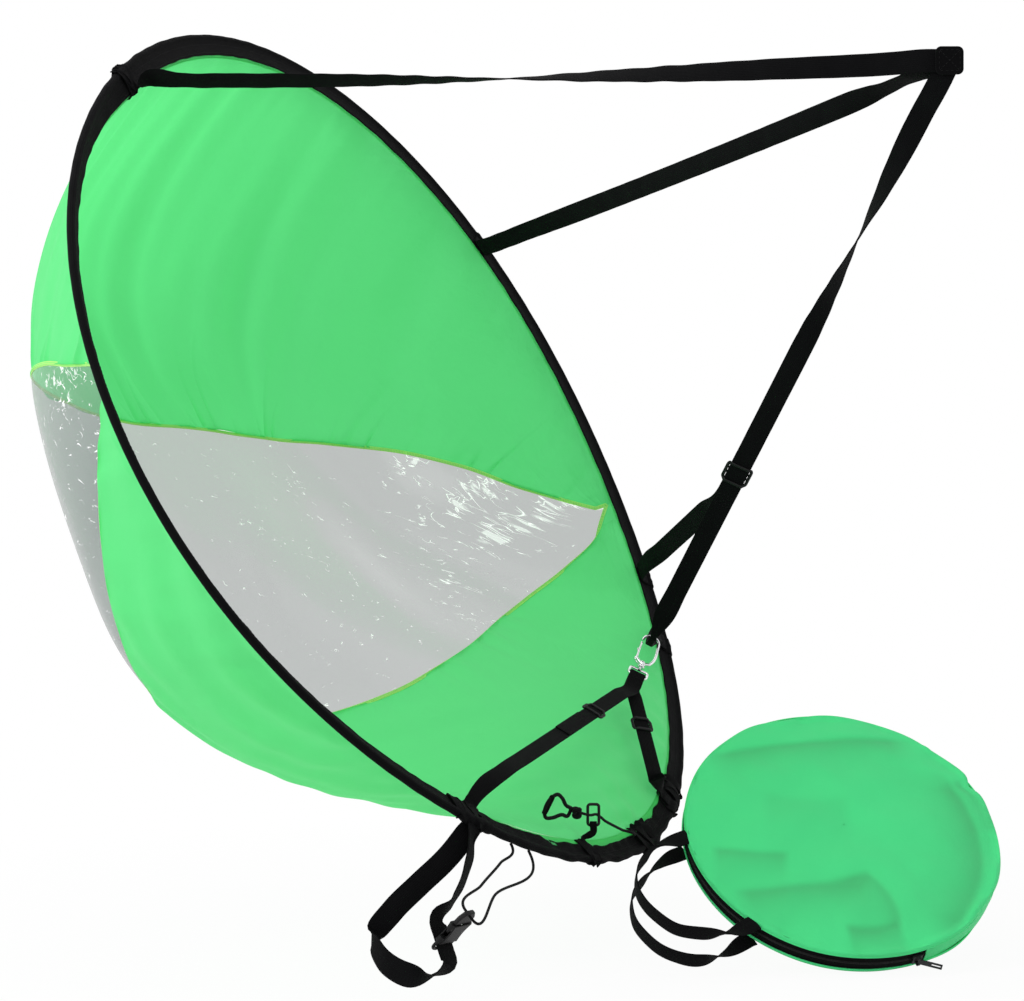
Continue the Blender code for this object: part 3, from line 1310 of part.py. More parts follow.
def build_bag():
    bag_panel("bag_front", 1)
    bag_panel("bag_back", -1)
    inner = BAG_DEPTH / 2 - BAG_CLOTH - CLEARANCE
    gap = CLEARANCE / BAG_RADIUS
    bag_band("bag_gusset", ZIP_TO + gap, ZIP_FROM + math.tau - gap, -inner, inner, BAG_CLOTH, green_cloth())
    tape = material("zip_tape", (0.012, 0.012, 0.012), 0.85)
    teeth = ZIP_TEETH / 2
    side = teeth + CLEARANCE
    bag_band("zip_tape_front", ZIP_FROM, ZIP_TO, side, inner, ZIP_TAPE_THICKNESS, tape)
    bag_band("zip_tape_back", ZIP_FROM, ZIP_TO, -inner, -side, ZIP_TAPE_THICKNESS, tape)
    bag_band("zip_teeth", ZIP_FROM, ZIP_TO, -teeth, teeth, ZIP_RIDGE + ZIP_TAPE_THICKNESS, black_plastic(),
             outside=ZIP_RIDGE)

    angle = ZIP_TO - SLIDER_LENGTH / BAG_RADIUS
    outward = BAG_RIGHT * math.cos(angle) + BAG_UP * math.sin(angle)
    tangent = BAG_UP * math.cos(angle) - BAG_RIGHT * math.sin(angle)
    base = bag_place(angle, BAG_RADIUS)
    place = placing(base, tangent, BAG_FRONT, outward)
    half = SLIDER_LENGTH / 2
    ridge = ZIP_RIDGE + RUNNING
    lift = RUNNING + half ** 2 / BAG_RADIUS / 2
    xs = (-half, -SLIDER_LUG, SLIDER_LUG, half)
    lug = PULLER_WIDTH / 2 + RUNNING
    ys = (-SLIDER_WIDTH / 2, -lug, -teeth - RUNNING, teeth + RUNNING, lug, SLIDER_WIDTH / 2)
    zs = (lift, ridge + lift, ridge + lift + SLIDER_PLATE, ridge + lift + SLIDER_PLATE + SLIDER_HEIGHT)

    def slider_cells(i, j, k):
        if k == 0:
            return j != 2
        if k == 1:
            return True
        return i == 1 and j in (0, 4)

    metal = material("dark_metal", (0.05, 0.05, 0.05), 0.4, metallic=1.0)
    slider = block("zip_slider", (xs, ys, zs), slider_cells, place, metal)
    pivot_height = ridge + lift + SLIDER_PLATE + SLIDER_HEIGHT / 2 + RUNNING
    pivot = base + outward * pivot_height
    pin = cylinder("pin_hole", pivot - BAG_FRONT * SLIDER_WIDTH, pivot + BAG_FRONT * SLIDER_WIDTH,
                   PULLER_PIN + CLEARANCE, 12, metal)
    slider = combine(slider, pin, "DIFFERENCE")
    set_origin(slider, bag_place(angle, 0))

    down = unit(-WORLD_UP + BAG_FRONT * (WORLD_UP @ BAG_FRONT))
    along = down * math.cos(PULLER_TURN) + np.cross(BAG_FRONT, down) * math.sin(PULLER_TURN)
    place = placing(pivot, np.cross(BAG_FRONT, along), BAG_FRONT, along)
    half_width = PULLER_WIDTH / 2
    thick = PULLER_THICKNESS / 2
    xs = (-thick, thick)
    ys = (-half_width, -half_width + PULLER_WALL, half_width - PULLER_WALL, half_width)
    zs = (-thick, PULLER_LENGTH * 0.55, PULLER_LENGTH - PULLER_WALL, PULLER_LENGTH)
    puller = block("zip_puller", (xs, ys, zs), lambda i, j, k: k != 1 or j != 1, place, metal)
    axle = cylinder("axle", pivot - BAG_FRONT * (SLIDER_WIDTH / 2), pivot + BAG_FRONT * (SLIDER_WIDTH / 2),
                    PULLER_PIN, 12, metal)
    puller = combine(puller, axle, "UNION")
    set_origin(puller, pivot)

    for name, facing in (("front_handle", 1), ("back_handle", -1)):
        height = facing * (BAG_DEPTH / 2 - BAG_CLOTH)
        ends = [bag_place(a, BAG_RADIUS + HANDLE_GAP, height) for a in HANDLE_ANGLES]
        chord = unit(ends[1] - ends[0])
        outward = unit(np.cross(chord, BAG_FRONT))
        middle = (ends[0] + ends[1]) / 2
        outward = outward if outward @ (middle - vec(BAG_CENTRE)) > 0 else -outward
        half_chord = np.linalg.norm(ends[1] - ends[0]) / 2
        rows = []
        for across, reach, turn in HANDLE_SHARES:
            place = (middle + chord * across * half_chord + outward * reach * HANDLE_REACH
                     + BAG_FRONT * facing * HANDLE_SPREAD_SHARE * HANDLE_WIDTH * turn)
            side = unit(chord * (1 - turn) + BAG_FRONT * turn)
            rows.append((place, side, HANDLE_WIDTH, WEBBING))
        made = webbing(name, rows, black_webbing(), spacing=HANDLE_STEP)
        set_origin(made, middle)


def main():
    for existing in list(bpy.data.objects):
        bpy.data.objects.remove(existing, do_unlink=True)
    build_hoop()
    build_bowl()
    build_lines()
    build_hook()
    build_straps()
    build_lashing()
    build_foot()
    build_bag()


main()
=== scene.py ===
"""Looks of the pop-up canoe sail and its storage bag.

Laid out as a Blender add-on and run as a script. The first operator sets the stage, and each of the
others makes one group of pieces: the cords, the hoop's sleeve, the bowl, the lines, the hook, the straps,
the lashing, the foot fittings and the bag.
Everything is in metres in the model's own frame: +Z up, the origin at the foot of the hoop.
"""

import math

import bpy
import numpy as np
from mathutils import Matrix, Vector


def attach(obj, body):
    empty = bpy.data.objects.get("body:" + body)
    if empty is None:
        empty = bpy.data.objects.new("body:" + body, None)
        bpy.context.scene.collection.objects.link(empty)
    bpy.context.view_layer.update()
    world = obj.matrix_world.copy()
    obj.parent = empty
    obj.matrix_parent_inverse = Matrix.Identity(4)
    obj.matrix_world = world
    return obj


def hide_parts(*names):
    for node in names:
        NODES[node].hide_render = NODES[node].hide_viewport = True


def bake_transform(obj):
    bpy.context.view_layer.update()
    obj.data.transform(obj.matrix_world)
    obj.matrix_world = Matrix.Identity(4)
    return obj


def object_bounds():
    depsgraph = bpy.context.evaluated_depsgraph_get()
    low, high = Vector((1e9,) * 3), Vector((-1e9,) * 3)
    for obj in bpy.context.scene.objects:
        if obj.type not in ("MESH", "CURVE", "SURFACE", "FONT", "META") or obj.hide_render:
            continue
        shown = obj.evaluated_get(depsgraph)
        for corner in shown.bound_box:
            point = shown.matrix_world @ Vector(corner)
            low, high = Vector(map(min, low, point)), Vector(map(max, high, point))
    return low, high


bl_info = {
    "name": "Canoe Sail Dresser",
    "version": (1, 0, 0),
    "blender": (4, 5, 0),
    "location": "View3D > Sidebar > Sail",
    "description": "Builds the cloth, webbing, hardware and bag of a pop-up canoe sail",
    "category": "Object",
}

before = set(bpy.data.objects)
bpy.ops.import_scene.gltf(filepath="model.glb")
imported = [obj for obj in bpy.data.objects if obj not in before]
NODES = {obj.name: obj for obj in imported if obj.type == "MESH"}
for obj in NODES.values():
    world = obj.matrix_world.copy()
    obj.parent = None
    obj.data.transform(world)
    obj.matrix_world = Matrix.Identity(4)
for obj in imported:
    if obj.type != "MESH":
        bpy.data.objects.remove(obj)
CAD_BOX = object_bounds()

# Sizes the solids give: the same names and values as in the part's own source
CLEARANCE = 0.0003
RUNNING = 0.0005
HOOP_RADIUS = 0.540
HOOP_LEAN = math.radians(28.2)
HOOP_WAVES = ((2, (0.0062, 0.0041), (0.0074, 0.0038)), (3, (0.0002, 0.0135), (-0.0027, -0.0023)))
ROD_RADIUS = 0.0025
SLEEVE_WIDTH = 0.029
SLEEVE_CLOTH = 0.0009
HEM_DROP_SHARE = 0.998
BOWL_DEPTH = 0.260
BOWL_FLATNESS = 6.0
BOWL_EDGE = 1.2
BOWL_WAVES = ((1, 0.60, -0.10), (2, -0.22, 0.42), (3, 0.16, -0.40))
BOWL_SOFTENING = 0.22
SEAM_WIDTH = 0.005
TOP_SEAM = (
    (-0.972, 0.163), (-0.890, 0.232), (-0.790, 0.312), (-0.700, 0.362), (-0.550, 0.408),
    (-0.380, 0.413), (-0.220, 0.385), (-0.050, 0.357), (0.120, 0.342), (0.300, 0.336),
    (0.500, 0.330), (0.674, 0.298), (0.805, 0.220), (0.885, 0.111), (0.935, -0.032),
    (0.969, -0.171),
)
LOW_SEAM = (
    (-0.979, 0.098), (-0.945, 0.040), (-0.898, -0.053), (-0.840, -0.165), (-0.780, -0.265),
    (-0.695, -0.360), (-0.570, -0.440), (-0.420, -0.490), (-0.280, -0.510), (-0.144, -0.510),
    (0.017, -0.490), (0.191, -0.451), (0.400, -0.410), (0.611, -0.362), (0.780, -0.318),
    (0.880, -0.283), (0.935, -0.250), (0.960, -0.216),
)
LINE_WIDTH = 0.025
STRAP_WIDTH = 0.020
WEBBING = 0.0015
UPPER_ANGLE = math.radians(-30.3)
MIDDLE_ANGLE = math.radians(55.5)
BRANCH_ANGLE = math.radians(112.3)
LOWER_ANGLE = math.radians(123.8)
PORT_ANGLE = math.radians(-151.8)
STARBOARD_ANGLE = math.radians(156.5)
FOOT_ANGLE = math.radians(-175.0)
PORT_ANCHOR_WIDTH = 0.045
FOOT_ANCHOR_WIDTH = 0.016
ANCHOR_MARGIN = 0.003
HAND_POINT = (-0.008, -0.405, 0.867)
PATCH_SIZE = 0.030
PATCH_THICKNESS = 0.0025
VIEW_TURN = math.radians(-62.35)
LINE_SAG = 0.004
LINE_END = 0.010
GLIDE_SHARE = 0.677
JUNCTION_SHARE = 0.705
JUNCTION_LEAD_SHARE = 0.006
GLIDE_LENGTH = 0.028
GLIDE_RAIL = 0.0030
HOOK_WIRE = 0.00175
HOOK_WINDOW = 0.018
HOOK_LENGTH = 0.042
HOOK_POINT = (0.3112, 0.0871, 0.2227)
HOOK_TILT = math.radians(35)
PINCH_WIDTH = 0.008
PINCH_THICKNESS = 0.003
COLLAR_RADIUS = 0.0048
COLLAR_LENGTH = 0.008
STEM_RADIUS = 0.0017
RIVET_RADIUS = 0.0032
RIVET_HEIGHT = 0.0015
EYE_WIRE = 0.0017
EYE_HEIGHT = 0.009
GATE_RADIUS = 0.0014
GATE_KNUCKLE = 0.0024
EYE_TAIL = 0.020
PORT_KNEE = (-0.178, 0.039, 0.107)
STARBOARD_KNEE = (0.170, 0.019, 0.069)
PORT_ADJUSTER_SHARE = 0.34
STARBOARD_ADJUSTER_SHARE = 0.44
ADJUSTER_LENGTH = 0.020
ADJUSTER_RAIL = 0.0028
ADJUSTER_TRAVEL = 0.025
STRAP_TAIL = 0.075
LOOP_DROP = 0.140
LOOP_START = (
    (0.10, 0.026, 0.03, 0.0), (0.29, 0.036, 0.19, 0.5), (0.49, 0.107, 0.36, 1.0), (0.71, 0.179, 0.55, 1.0),
    (0.86, 0.214, 0.73, 1.0), (0.89, 0.086, 0.87, 1.0), (0.84, -0.086, 0.96, 0.8), (0.76, -0.220, 0.98, 0.4),
)
LOOP_END = ((0.42, -0.157, 0.48, 0.4), (0.26, -0.107, 0.34, 0.2), (0.14, -0.060, 0.18, 0.0),
            (0.08, -0.026, 0.05, 0.0))
SOCKET_SHARES = (0.607, -0.257, 0.743)
SLOT_HALF = 0.0030
SLOT_BAR = 0.0040
SOCKET_LENGTH = 0.028
INSERT_LENGTH = 0.016
BUCKLE_THICKNESS = 0.0085
BUCKLE_WALL = 0.0016
CORD_RADIUS = 0.0015
LASHING_TIE_ANGLES = (math.radians(-157.7), math.radians(-161.0))
TETHER_RADIUS = 0.0016
RING_PLACE = (-0.031, 0.004, 0.044)
KNOT_PLACE = (-0.061, 0.010, 0.050)
CORD_EYE_PLACE = (-0.110, 0.023, 0.063)
TETHER_END_ANGLE = math.radians(173.0)
RING_WIDTH = 0.015
RING_HEIGHT = 0.026
RING_BAR = 0.003
KNOT_RADIUS = 0.0055
BAG_RADIUS = 0.180
BAG_DEPTH = 0.030
BAG_CROWN = 0.012
BAG_CLOTH = 0.0012
BAG_CENTRE = (0.138, -0.229, 0.012)
BAG_LEAN = math.radians(49)
BAG_YAW = math.radians(5)
ZIP_FROM = math.radians(152)
ZIP_TO = math.radians(290)
ZIP_TEETH = 0.0034
HANDLE_WIDTH = 0.025
HANDLE_REACH = 0.098
HANDLE_GAP = 0.0044
HANDLE_ANGLES = (math.radians(182), math.radians(226))
HANDLE_SHARES = (
    (-1.0, 0.0, 0.0), (-1.0, 0.10, 0.0), (-0.98, 0.30, 0.4), (-0.86, 0.58, 1.0), (-0.62, 0.84, 1.0),
    (-0.22, 0.99, 1.0), (0.22, 0.99, 1.0), (0.66, 0.86, 1.0), (0.95, 0.58, 1.0), (1.05, 0.30, 0.4),
    (1.02, 0.10, 0.0), (1.0, 0.0, 0.0),
)

MM = 0.001
# A Wave node repeats every pi / 10 of its input
WAVE_REPEAT = math.pi / 10


def vec(values):
    return np.array(values, dtype=float)


def unit(vectors):
    """One direction, or one in each row, at length one."""
    return vectors / np.linalg.norm(vectors, axis=-1, keepdims=True)


RING_SIDE = vec((1, 0, 0))
RING_UP = vec((0, math.sin(HOOP_LEAN), math.cos(HOOP_LEAN)))
RING_AXIS = vec((0, -math.cos(HOOP_LEAN), math.sin(HOOP_LEAN)))
WORLD_UP = vec((0, 0, 1))
VIEW_FRONT = vec((math.sin(VIEW_TURN), -math.cos(VIEW_TURN), 0))
VIEW_RIGHT = vec((math.cos(VIEW_TURN), math.sin(VIEW_TURN), 0))


def srgb(code):
    """A linear colour from an sRGB hex value."""
    parts = [int(code[i:i + 2], 16) / 255 for i in (1, 3, 5)]
    return tuple(c / 12.92 if c <= 0.04045 else ((c + 0.055) / 1.055) ** 2.4 for c in parts)


def tone(title, about, code):
    return bpy.props.FloatVectorProperty(name=title, description=about, subtype="COLOR", size=3, min=0, max=1,
                                         default=srgb(code))


def size(title, about, default):
    return bpy.props.FloatProperty(name=title, description=about, unit="LENGTH", min=0, precision=4,
                                   default=default)


class SailColours(bpy.types.PropertyGroup):
    """Colours of the sail and its bag."""
    # painted shade: cloth is the bowl's colour and cloth_shade a darker copy of it, mixed in at creases,
    # folds and seams
    cloth: tone("Bowl cloth", "Taffeta of the bowl where it is lit", "#66EA8C")
    cloth_shade: tone("Bowl cloth, deep", "Taffeta of the bowl between its folds", "#55DE7B")
    # painted shade: bag is the bag's colour and bag_shade a darker copy of it, mixed in beside the bag's
    # creases
    bag: tone("Bag cloth", "Cloth of the storage bag where it is lit", "#4AEA90")
    bag_shade: tone("Bag cloth, pressed", "Where the folded hoop presses on the bag", "#46C67A")
    binding: tone("Seam binding", "Bias tape along the window's seams", "#C6FF8C")
    black: tone("Webbing", "Webbing and sleeve tape", "#040405")
    black_worn: tone("Webbing, worn", "Where the webbing has rubbed", "#101012")
    window: tone("Window sheet", "Tint of the clear sheet", "#667170")
    plastic: tone("Mouldings", "Slides, ring and buckle", "#0A0A0B")
    plated: tone("Plated metal", "Nickel on the snap hook", "#DADBDD")


class SailSizes(bpy.types.PropertyGroup):
    """Sizes of the sewn and creased detail."""
    pucker: size("Seam pucker", "How far the cloth draws up along the top seam", 0.0050)
    fold: size("Hanging folds", "Depth of the folds at the head of the bowl", 0.0050)
    sag: size("Cloth waves", "Depth of the broad waves in the panels", 0.0040)
    gather: size("Sleeve gathers", "How far the sleeve bunches at the foot", 0.0012)
    stitch: size("Stitch", "Length of one lock stitch", 0.0032)
    thread: size("Thread", "Thickness of the sewing thread", 0.00055)
    crease: size("Bag creases", "Height of the creases on the bag", 0.0030)


def colours():
    return bpy.context.scene.sail_colours


def sizes():
    return bpy.context.scene.sail_sizes


# Materials

# The real threads of the cloth are 0.25 mm apart, too fine to show, so they are drawn wider
THREAD_PITCH = 1.1 * MM


def add(tree, kind, settings=(), links=(), onto=None):
    """Adds one shader node with its settings and its inputs linked, and its result linked onto a socket."""
    made = tree.nodes.new("ShaderNode" + kind)
    for name, value in dict(settings).items():
        if isinstance(name, int) or name in made.inputs:
            made.inputs[name].default_value = value
        else:
            setattr(made, name, value)
    for name, source in dict(links).items():
        tree.links.new(result(source), made.inputs[name])
    if onto:
        tree.links.new(result(made), onto)
    return made


def result(source):
    """The first output in use, of a node; an output stays as it is."""
    if isinstance(source, bpy.types.Node):
        return next(out for out in source.outputs if out.enabled)
    return source


def begin(name, colour, roughness, **constants):
    """A new material, its tree and its Principled shader with values that are the same all over."""
    made = bpy.data.materials.new(name)
    made.use_nodes = True
    tree = made.node_tree
    shader = tree.nodes["Principled BSDF"]
    shader.inputs["Base Color"].default_value = (*colour, 1)
    shader.inputs["Roughness"].default_value = roughness
    for key, value in constants.items():
        shader.inputs[key.replace("_", " ")].default_value = value
    return made, tree, shader


def webbing_finish(name, rib):
    """Polyester webbing, woven: ribs across the band in a herringbone, matt and almost without gloss."""
    dark, worn = colours().black, colours().black_worn
    made, tree, shader = begin(name, dark, 0.9, Specular_IOR_Level=0.08, Sheen_Weight=0.01)
    place = add(tree, "UVMap")
    split = add(tree, "SeparateXYZ", links={0: place})
    zigzag = add(tree, "Math", {"operation": "PINGPONG", 1: 3.1 * MM}, {0: split.outputs["Y"]})
    slant = add(tree, "Math", {"operation": "ADD"}, {0: split.outputs["X"], 1: zigzag})
    along = add(tree, "CombineXYZ", links={"X": slant})
    ribs = add(tree, "TexWave", {"Scale": WAVE_REPEAT / rib, "Distortion": 0.4}, {"Vector": along})
    warp = add(tree, "TexWave", {"Scale": WAVE_REPEAT / (2.1 * MM), "bands_direction": "Y"},
               {"Vector": place})
    height = add(tree, "Math", {"operation": "MULTIPLY_ADD", 1: 0.7},
                 {0: ribs.outputs["Fac"], 2: warp.outputs["Fac"]})
    add(tree, "Bump", {"Distance": 0.25 * MM, "Strength": 0.9}, {"Height": height}, shader.inputs["Normal"])
    patches = add(tree, "TexNoise", {"Scale": 1 / (18 * MM), "Detail": 4.0}, {"Vector": place})
    rubbed = add(tree, "Math", {"operation": "MULTIPLY"}, {0: patches, 1: ribs.outputs["Fac"]})
    add(tree, "Mix", {"data_type": "RGBA", 6: (*dark, 1), 7: (*worn, 1)}, {0: rubbed},
        shader.inputs["Base Color"])
    return made


def cloth_finish(name, light, dark, glow, painted_shade=False):
    """Polyester taffeta, woven and calendered: thin, with a soft sheen, and light comes through it."""
    made, tree, shader = begin(name, light, 0.6, Specular_IOR_Level=0.3, Sheen_Weight=0.07)
    place = add(tree, "UVMap")
    scale = WAVE_REPEAT / THREAD_PITCH
    weft = add(tree, "TexWave", {"Scale": scale}, {"Vector": place})
    warp = add(tree, "TexWave", {"Scale": scale, "bands_direction": "Y"}, {"Vector": place})
    weave = add(tree, "Math", {"operation": "MULTIPLY"}, {0: weft.outputs["Fac"], 1: warp.outputs["Fac"]})
    creases = add(tree, "TexNoise", {"Scale": 1 / (55 * MM), "Detail": 5.0, "Roughness": 0.5},
                  {"Vector": place})
    height = add(tree, "Math", {"operation": "MULTIPLY_ADD", 1: 26.0}, {0: creases, 2: weave})
    raised = add(tree, "Bump", {"Distance": 0.10 * MM, "Strength": 0.8}, {"Height": height},
                 shader.inputs["Normal"])
    broad = add(tree, "TexNoise", {"Scale": 1 / (160 * MM), "Detail": 3.0}, {"Vector": place})
    shade = broad
    # painted shade: where a piece has the colour layer, the dark copy of the cloth is mixed in at its
    # creases, folds and seams, over a faint random tone
    if painted_shade:
        marks = add(tree, "VertexColor", {"layer_name": "painted_shade"})
        shade = add(tree, "Math", {"operation": "MULTIPLY_ADD", 1: 0.22}, {0: shade, 2: marks})
    mixed = add(tree, "Mix", {"data_type": "RGBA", 6: (*light, 1), 7: (*dark, 1)}, {0: shade},
                shader.inputs["Base Color"])
    if glow:
        through = add(tree, "BsdfTranslucent", links={"Color": mixed, "Normal": raised})
        add(tree, "MixShader", {0: glow}, {1: shader, 2: through},
            tree.nodes["Material Output"].inputs["Surface"])
    return made


def clear_finish():
    """Soft PVC sheet, calendered: clear and a little grey, with painted glints, bright glowing curved lines
    and patches, along its creases.
    """
    grey, white = colours().window, srgb("#FFFFFF")
    made, tree, shader = begin("pvc_sheet_clear", grey, 0.2, IOR=1.53)
    place = add(tree, "UVMap")
    turned_place = add(tree, "Mapping", {"Scale": (0.50, 1.0, 1.0), "Rotation": (0, 0, 0.25)},
                       {"Vector": place})
    crowd = add(tree, "VertexColor", {"layer_name": "creases_and_glints"})
    marks = None
    for spacing, width, patch in ((30 * MM, 0.013, 26 * MM), (12 * MM, 0.026, 15 * MM)):
        waves = add(tree, "TexNoise", {"Scale": 1 / spacing, "Detail": 1.5, "Distortion": 0.9},
                    {"Vector": turned_place})
        middle = add(tree, "Math", {"operation": "SUBTRACT", 1: 0.5}, {0: waves})
        away = add(tree, "Math", {"operation": "ABSOLUTE"}, {0: middle})
        line = add(tree, "MapRange", {"From Max": width, "To Min": 1.0, "To Max": 0.0}, {"Value": away})
        broken = add(tree, "TexNoise", {"Scale": 1 / patch, "Detail": 1.0}, {"Vector": place})
        crowded = add(tree, "Math", {"operation": "MULTIPLY_ADD", 1: 0.34}, {0: crowd, 2: broken})
        kept = add(tree, "MapRange", {"From Min": 0.67, "From Max": 0.75}, {"Value": crowded})
        stroke = add(tree, "Math", {"operation": "MULTIPLY"}, {0: line, 1: kept})
        if marks:
            stroke = add(tree, "Math", {"operation": "MAXIMUM"}, {0: marks, 1: stroke})
        marks = stroke
    # painted glint patches where the creases crowd
    painted_glint_patches = add(tree, "MapRange", {"From Min": 0.83, "From Max": 0.93, "To Max": 0.6}, {"Value": crowded})
    marks = add(tree, "Math", {"operation": "MAXIMUM"}, {0: marks, 1: painted_glint_patches})
    # painted glints: the sheet turns white and less clear along the crease lines and in the patches
    add(tree, "Mix", {"data_type": "RGBA", 6: (*grey, 1), 7: (*white, 1)}, {0: marks},
        shader.inputs["Base Color"])
    add(tree, "MapRange", {"To Min": 0.55, "To Max": 1.0}, {"Value": marks}, shader.inputs["Alpha"])
    # painted glints: the crease lines and patches also glow, standing in for the studio's light that the
    # creases throw back
    shader.inputs["Emission Color"].default_value = (1, 1, 1, 1)
    add(tree, "MapRange", {"To Max": 0.6}, {"Value": marks}, shader.inputs["Emission Strength"])
    wide = add(tree, "TexNoise", {"Scale": 1 / (40 * MM), "Detail": 4.0}, {"Vector": place})
    height = add(tree, "Math", {"operation": "MULTIPLY_ADD", 1: 2.0}, {0: wide, 2: marks})
    add(tree, "Bump", {"Distance": 0.6 * MM, "Strength": 0.7}, {"Height": height}, shader.inputs["Normal"])
    return made


def moulded_finish(name, colour, roughness, grain):
    """Acetal, moulded: satin, with the fine grain of a spark-eroded mould."""
    made, tree, shader = begin(name, colour, roughness, IOR=1.48, Specular_IOR_Level=0.22)
    place = add(tree, "TexCoord")
    spots = add(tree, "TexNoise", {"Scale": 1 / grain, "Detail": 2.0}, {"Vector": place.outputs["Object"]})
    add(tree, "Bump", {"Distance": 0.06 * MM, "Strength": 0.6}, {"Height": spots}, shader.inputs["Normal"])
    add(tree, "MapRange", {"To Min": roughness - 0.08, "To Max": roughness + 0.10},
        {"Value": spots}, shader.inputs["Roughness"])
    return made


def metal_finish(name, colour, roughness, metallic=1.0):
    """Zinc, cast and plated: bright, with faint tumbling marks."""
    made, tree, shader = begin(name, colour, roughness, Metallic=metallic)
    place = add(tree, "TexCoord")
    marks = add(tree, "TexNoise", {"Scale": 1 / (1.6 * MM), "Detail": 4.0, "Roughness": 0.6},
                {"Vector": place.outputs["Object"]})
    add(tree, "MapRange", {"To Min": roughness * 0.6, "To Max": roughness * 1.7},
        {"Value": marks}, shader.inputs["Roughness"])
    add(tree, "Bump", {"Distance": 0.03 * MM, "Strength": 0.5}, {"Height": marks}, shader.inputs["Normal"])
    return made


def cord_finish(name):
    """Polyester cord, braided: crossing strands round the cord, a little fuzzy."""
    dark, worn = colours().black, colours().black_worn
    made, tree, shader = begin(name, dark, 0.85, Specular_IOR_Level=0.12, Sheen_Weight=0.04)
    place = add(tree, "TexCoord")
    strands = add(tree, "TexWave", {"Scale": WAVE_REPEAT / (1.1 * MM), "bands_direction": "DIAGONAL"},
                  {"Vector": place.outputs["Object"]})
    tufts = add(tree, "TexNoise", {"Scale": 1 / (0.9 * MM), "Detail": 2.0},
                {"Vector": place.outputs["Object"]})
    height = add(tree, "Math", {"operation": "ADD"}, {0: strands.outputs["Fac"], 1: tufts})
    add(tree, "Bump", {"Distance": 0.2 * MM, "Strength": 0.8}, {"Height": height}, shader.inputs["Normal"])
    add(tree, "Mix", {"data_type": "RGBA", 6: (*dark, 1), 7: (*worn, 1)},
        {0: strands.outputs["Fac"]}, shader.inputs["Base Color"])
    return made


FINISHES = {}


def make_finishes():
    """Every material, from the colours that the panel shows."""
    tones = colours()
    FINISHES.update({
        "webbing": webbing_finish("polyester_webbing_black", 1.5 * MM),
        "sleeve": webbing_finish("polyester_sleeve_tape_black", 1.2 * MM),
        # the bowl's and the bag's cloth take painted shade from their colour layer
        "cloth": cloth_finish("polyester_taffeta_green", tones.cloth, tones.cloth_shade, 0.45, painted_shade=True),
        "bag_cloth": cloth_finish("polyester_bag_cloth_green", tones.bag, tones.bag_shade, 0.0, painted_shade=True),
        "lime": cloth_finish("polyester_binding_lime", tones.binding, tones.binding, 0.3),
        "clear": clear_finish(),
        "thread_black": moulded_finish("polyester_thread_black", tones.black_worn, 0.75, 0.3 * MM),
        "thread_green": moulded_finish("polyester_thread_green", tones.cloth_shade, 0.75, 0.3 * MM),
        "plastic": moulded_finish("acetal_moulded_black", tones.plastic, 0.52, 0.35 * MM),
        "zip_plastic": moulded_finish("polyester_zip_coil_black", tones.plastic, 0.5, 0.3 * MM),
        "plated": metal_finish("zinc_nickel_plated", tones.plated, 0.14),
        "dark_metal": metal_finish("zinc_painted_black", srgb("#1C1D1F"), 0.38, 0.6),
        "brass": metal_finish("brass_drawn_tube", srgb("#C9A45C"), 0.3),
        "rod": moulded_finish("fibreglass_pultruded_rod", srgb("#D8D0B4"), 0.4, 0.8 * MM),
        "cord": cord_finish("polyester_cord_braided"),
    })


# Meshes

def spline(rows, spacing):
    """Smooth rows of numbers through the given rows; the first three are the place."""
    rows = vec(rows)
    lengths = np.linalg.norm(rows[1:, :3] - rows[:-1, :3], axis=1)
    slopes = (rows[1:] - rows[:-1]) / lengths[:, None]
    heads = [slopes[0]]
    for index in range(len(slopes) - 1):
        before, after = lengths[index], lengths[index + 1]
        heads.append((slopes[index] * after + slopes[index + 1] * before) / (before + after))
    heads.append(slopes[-1])
    result = []
    for index, length in enumerate(lengths):
        count = max(1, math.ceil(length / spacing - 0.01))
        t = (np.arange(count) / count)[:, None]
        result.append(rows[index] * (2 * t ** 3 - 3 * t ** 2 + 1)
                      + rows[index + 1] * (3 * t ** 2 - 2 * t ** 3)
                      + heads[index] * length * (t ** 3 - 2 * t ** 2 + t)
                      + heads[index + 1] * length * (t ** 3 - t ** 2))
    result.append(rows[-1:])
    return np.concatenate(result)


def soft_noise(seed, waves, *coordinates):
    """A smooth irregular pattern from -1 to 1; each coordinate is already in pattern lengths."""
    random = np.random.default_rng(seed)
    total = 0
    for _ in range(waves):
        direction = random.normal(size=len(coordinates))
        direction *= random.uniform(0.5, 1.5) / np.linalg.norm(direction)
        phase = random.uniform(0, math.tau)
        total = total + np.sin(math.tau * sum(d * c for d, c in zip(direction, coordinates)) + phase)
    return total / math.sqrt(waves) / 1.4


def run_along(places):
    """How far each point lies along a line of points."""
    return np.concatenate([[0], np.cumsum(np.linalg.norm(np.diff(places, axis=0), axis=1))])


def run_around(section):
    """How far each point lies round a closed section, with the first one again at the end."""
    return run_along(np.concatenate([section, section[:1]]))


def laid(along, across):
    """Texture places of a surface from the runs along and across it."""
    return np.stack(np.broadcast_arrays(along[:, None], across[None, :]), -1)


def placed(name, data):
    made = bpy.data.objects.new(name, data)
    bpy.context.collection.objects.link(made)
    return made


# The part's material slot that each finish is for, where a piece names no other
SLOTS = {
    "webbing": "webbing", "sleeve": "webbing", "thread_black": "webbing", "cord": "cord",
    "cloth": "green_cloth", "bag_cloth": "green_cloth", "lime": "lime_tape", "thread_green": "lime_tape",
    "clear": "clear_sheet", "plastic": "black_plastic", "zip_plastic": "black_plastic",
    "plated": "plated_metal",
}


def finish_piece(made, finish, *nodes, body="sail", slot=None):
    """Gives a piece its finish, the body it rides on and the nodes it stands for; its slot is worked out but
    not used.
    """
    made.data.materials.clear()
    made.data.materials.append(FINISHES[finish])
    if body:
        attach(made, body)
    if nodes:
        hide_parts(*nodes)
    slot or SLOTS[finish]
    return made


# Edges sharper than this stay sharp
SHARP_FROM = math.radians(50)


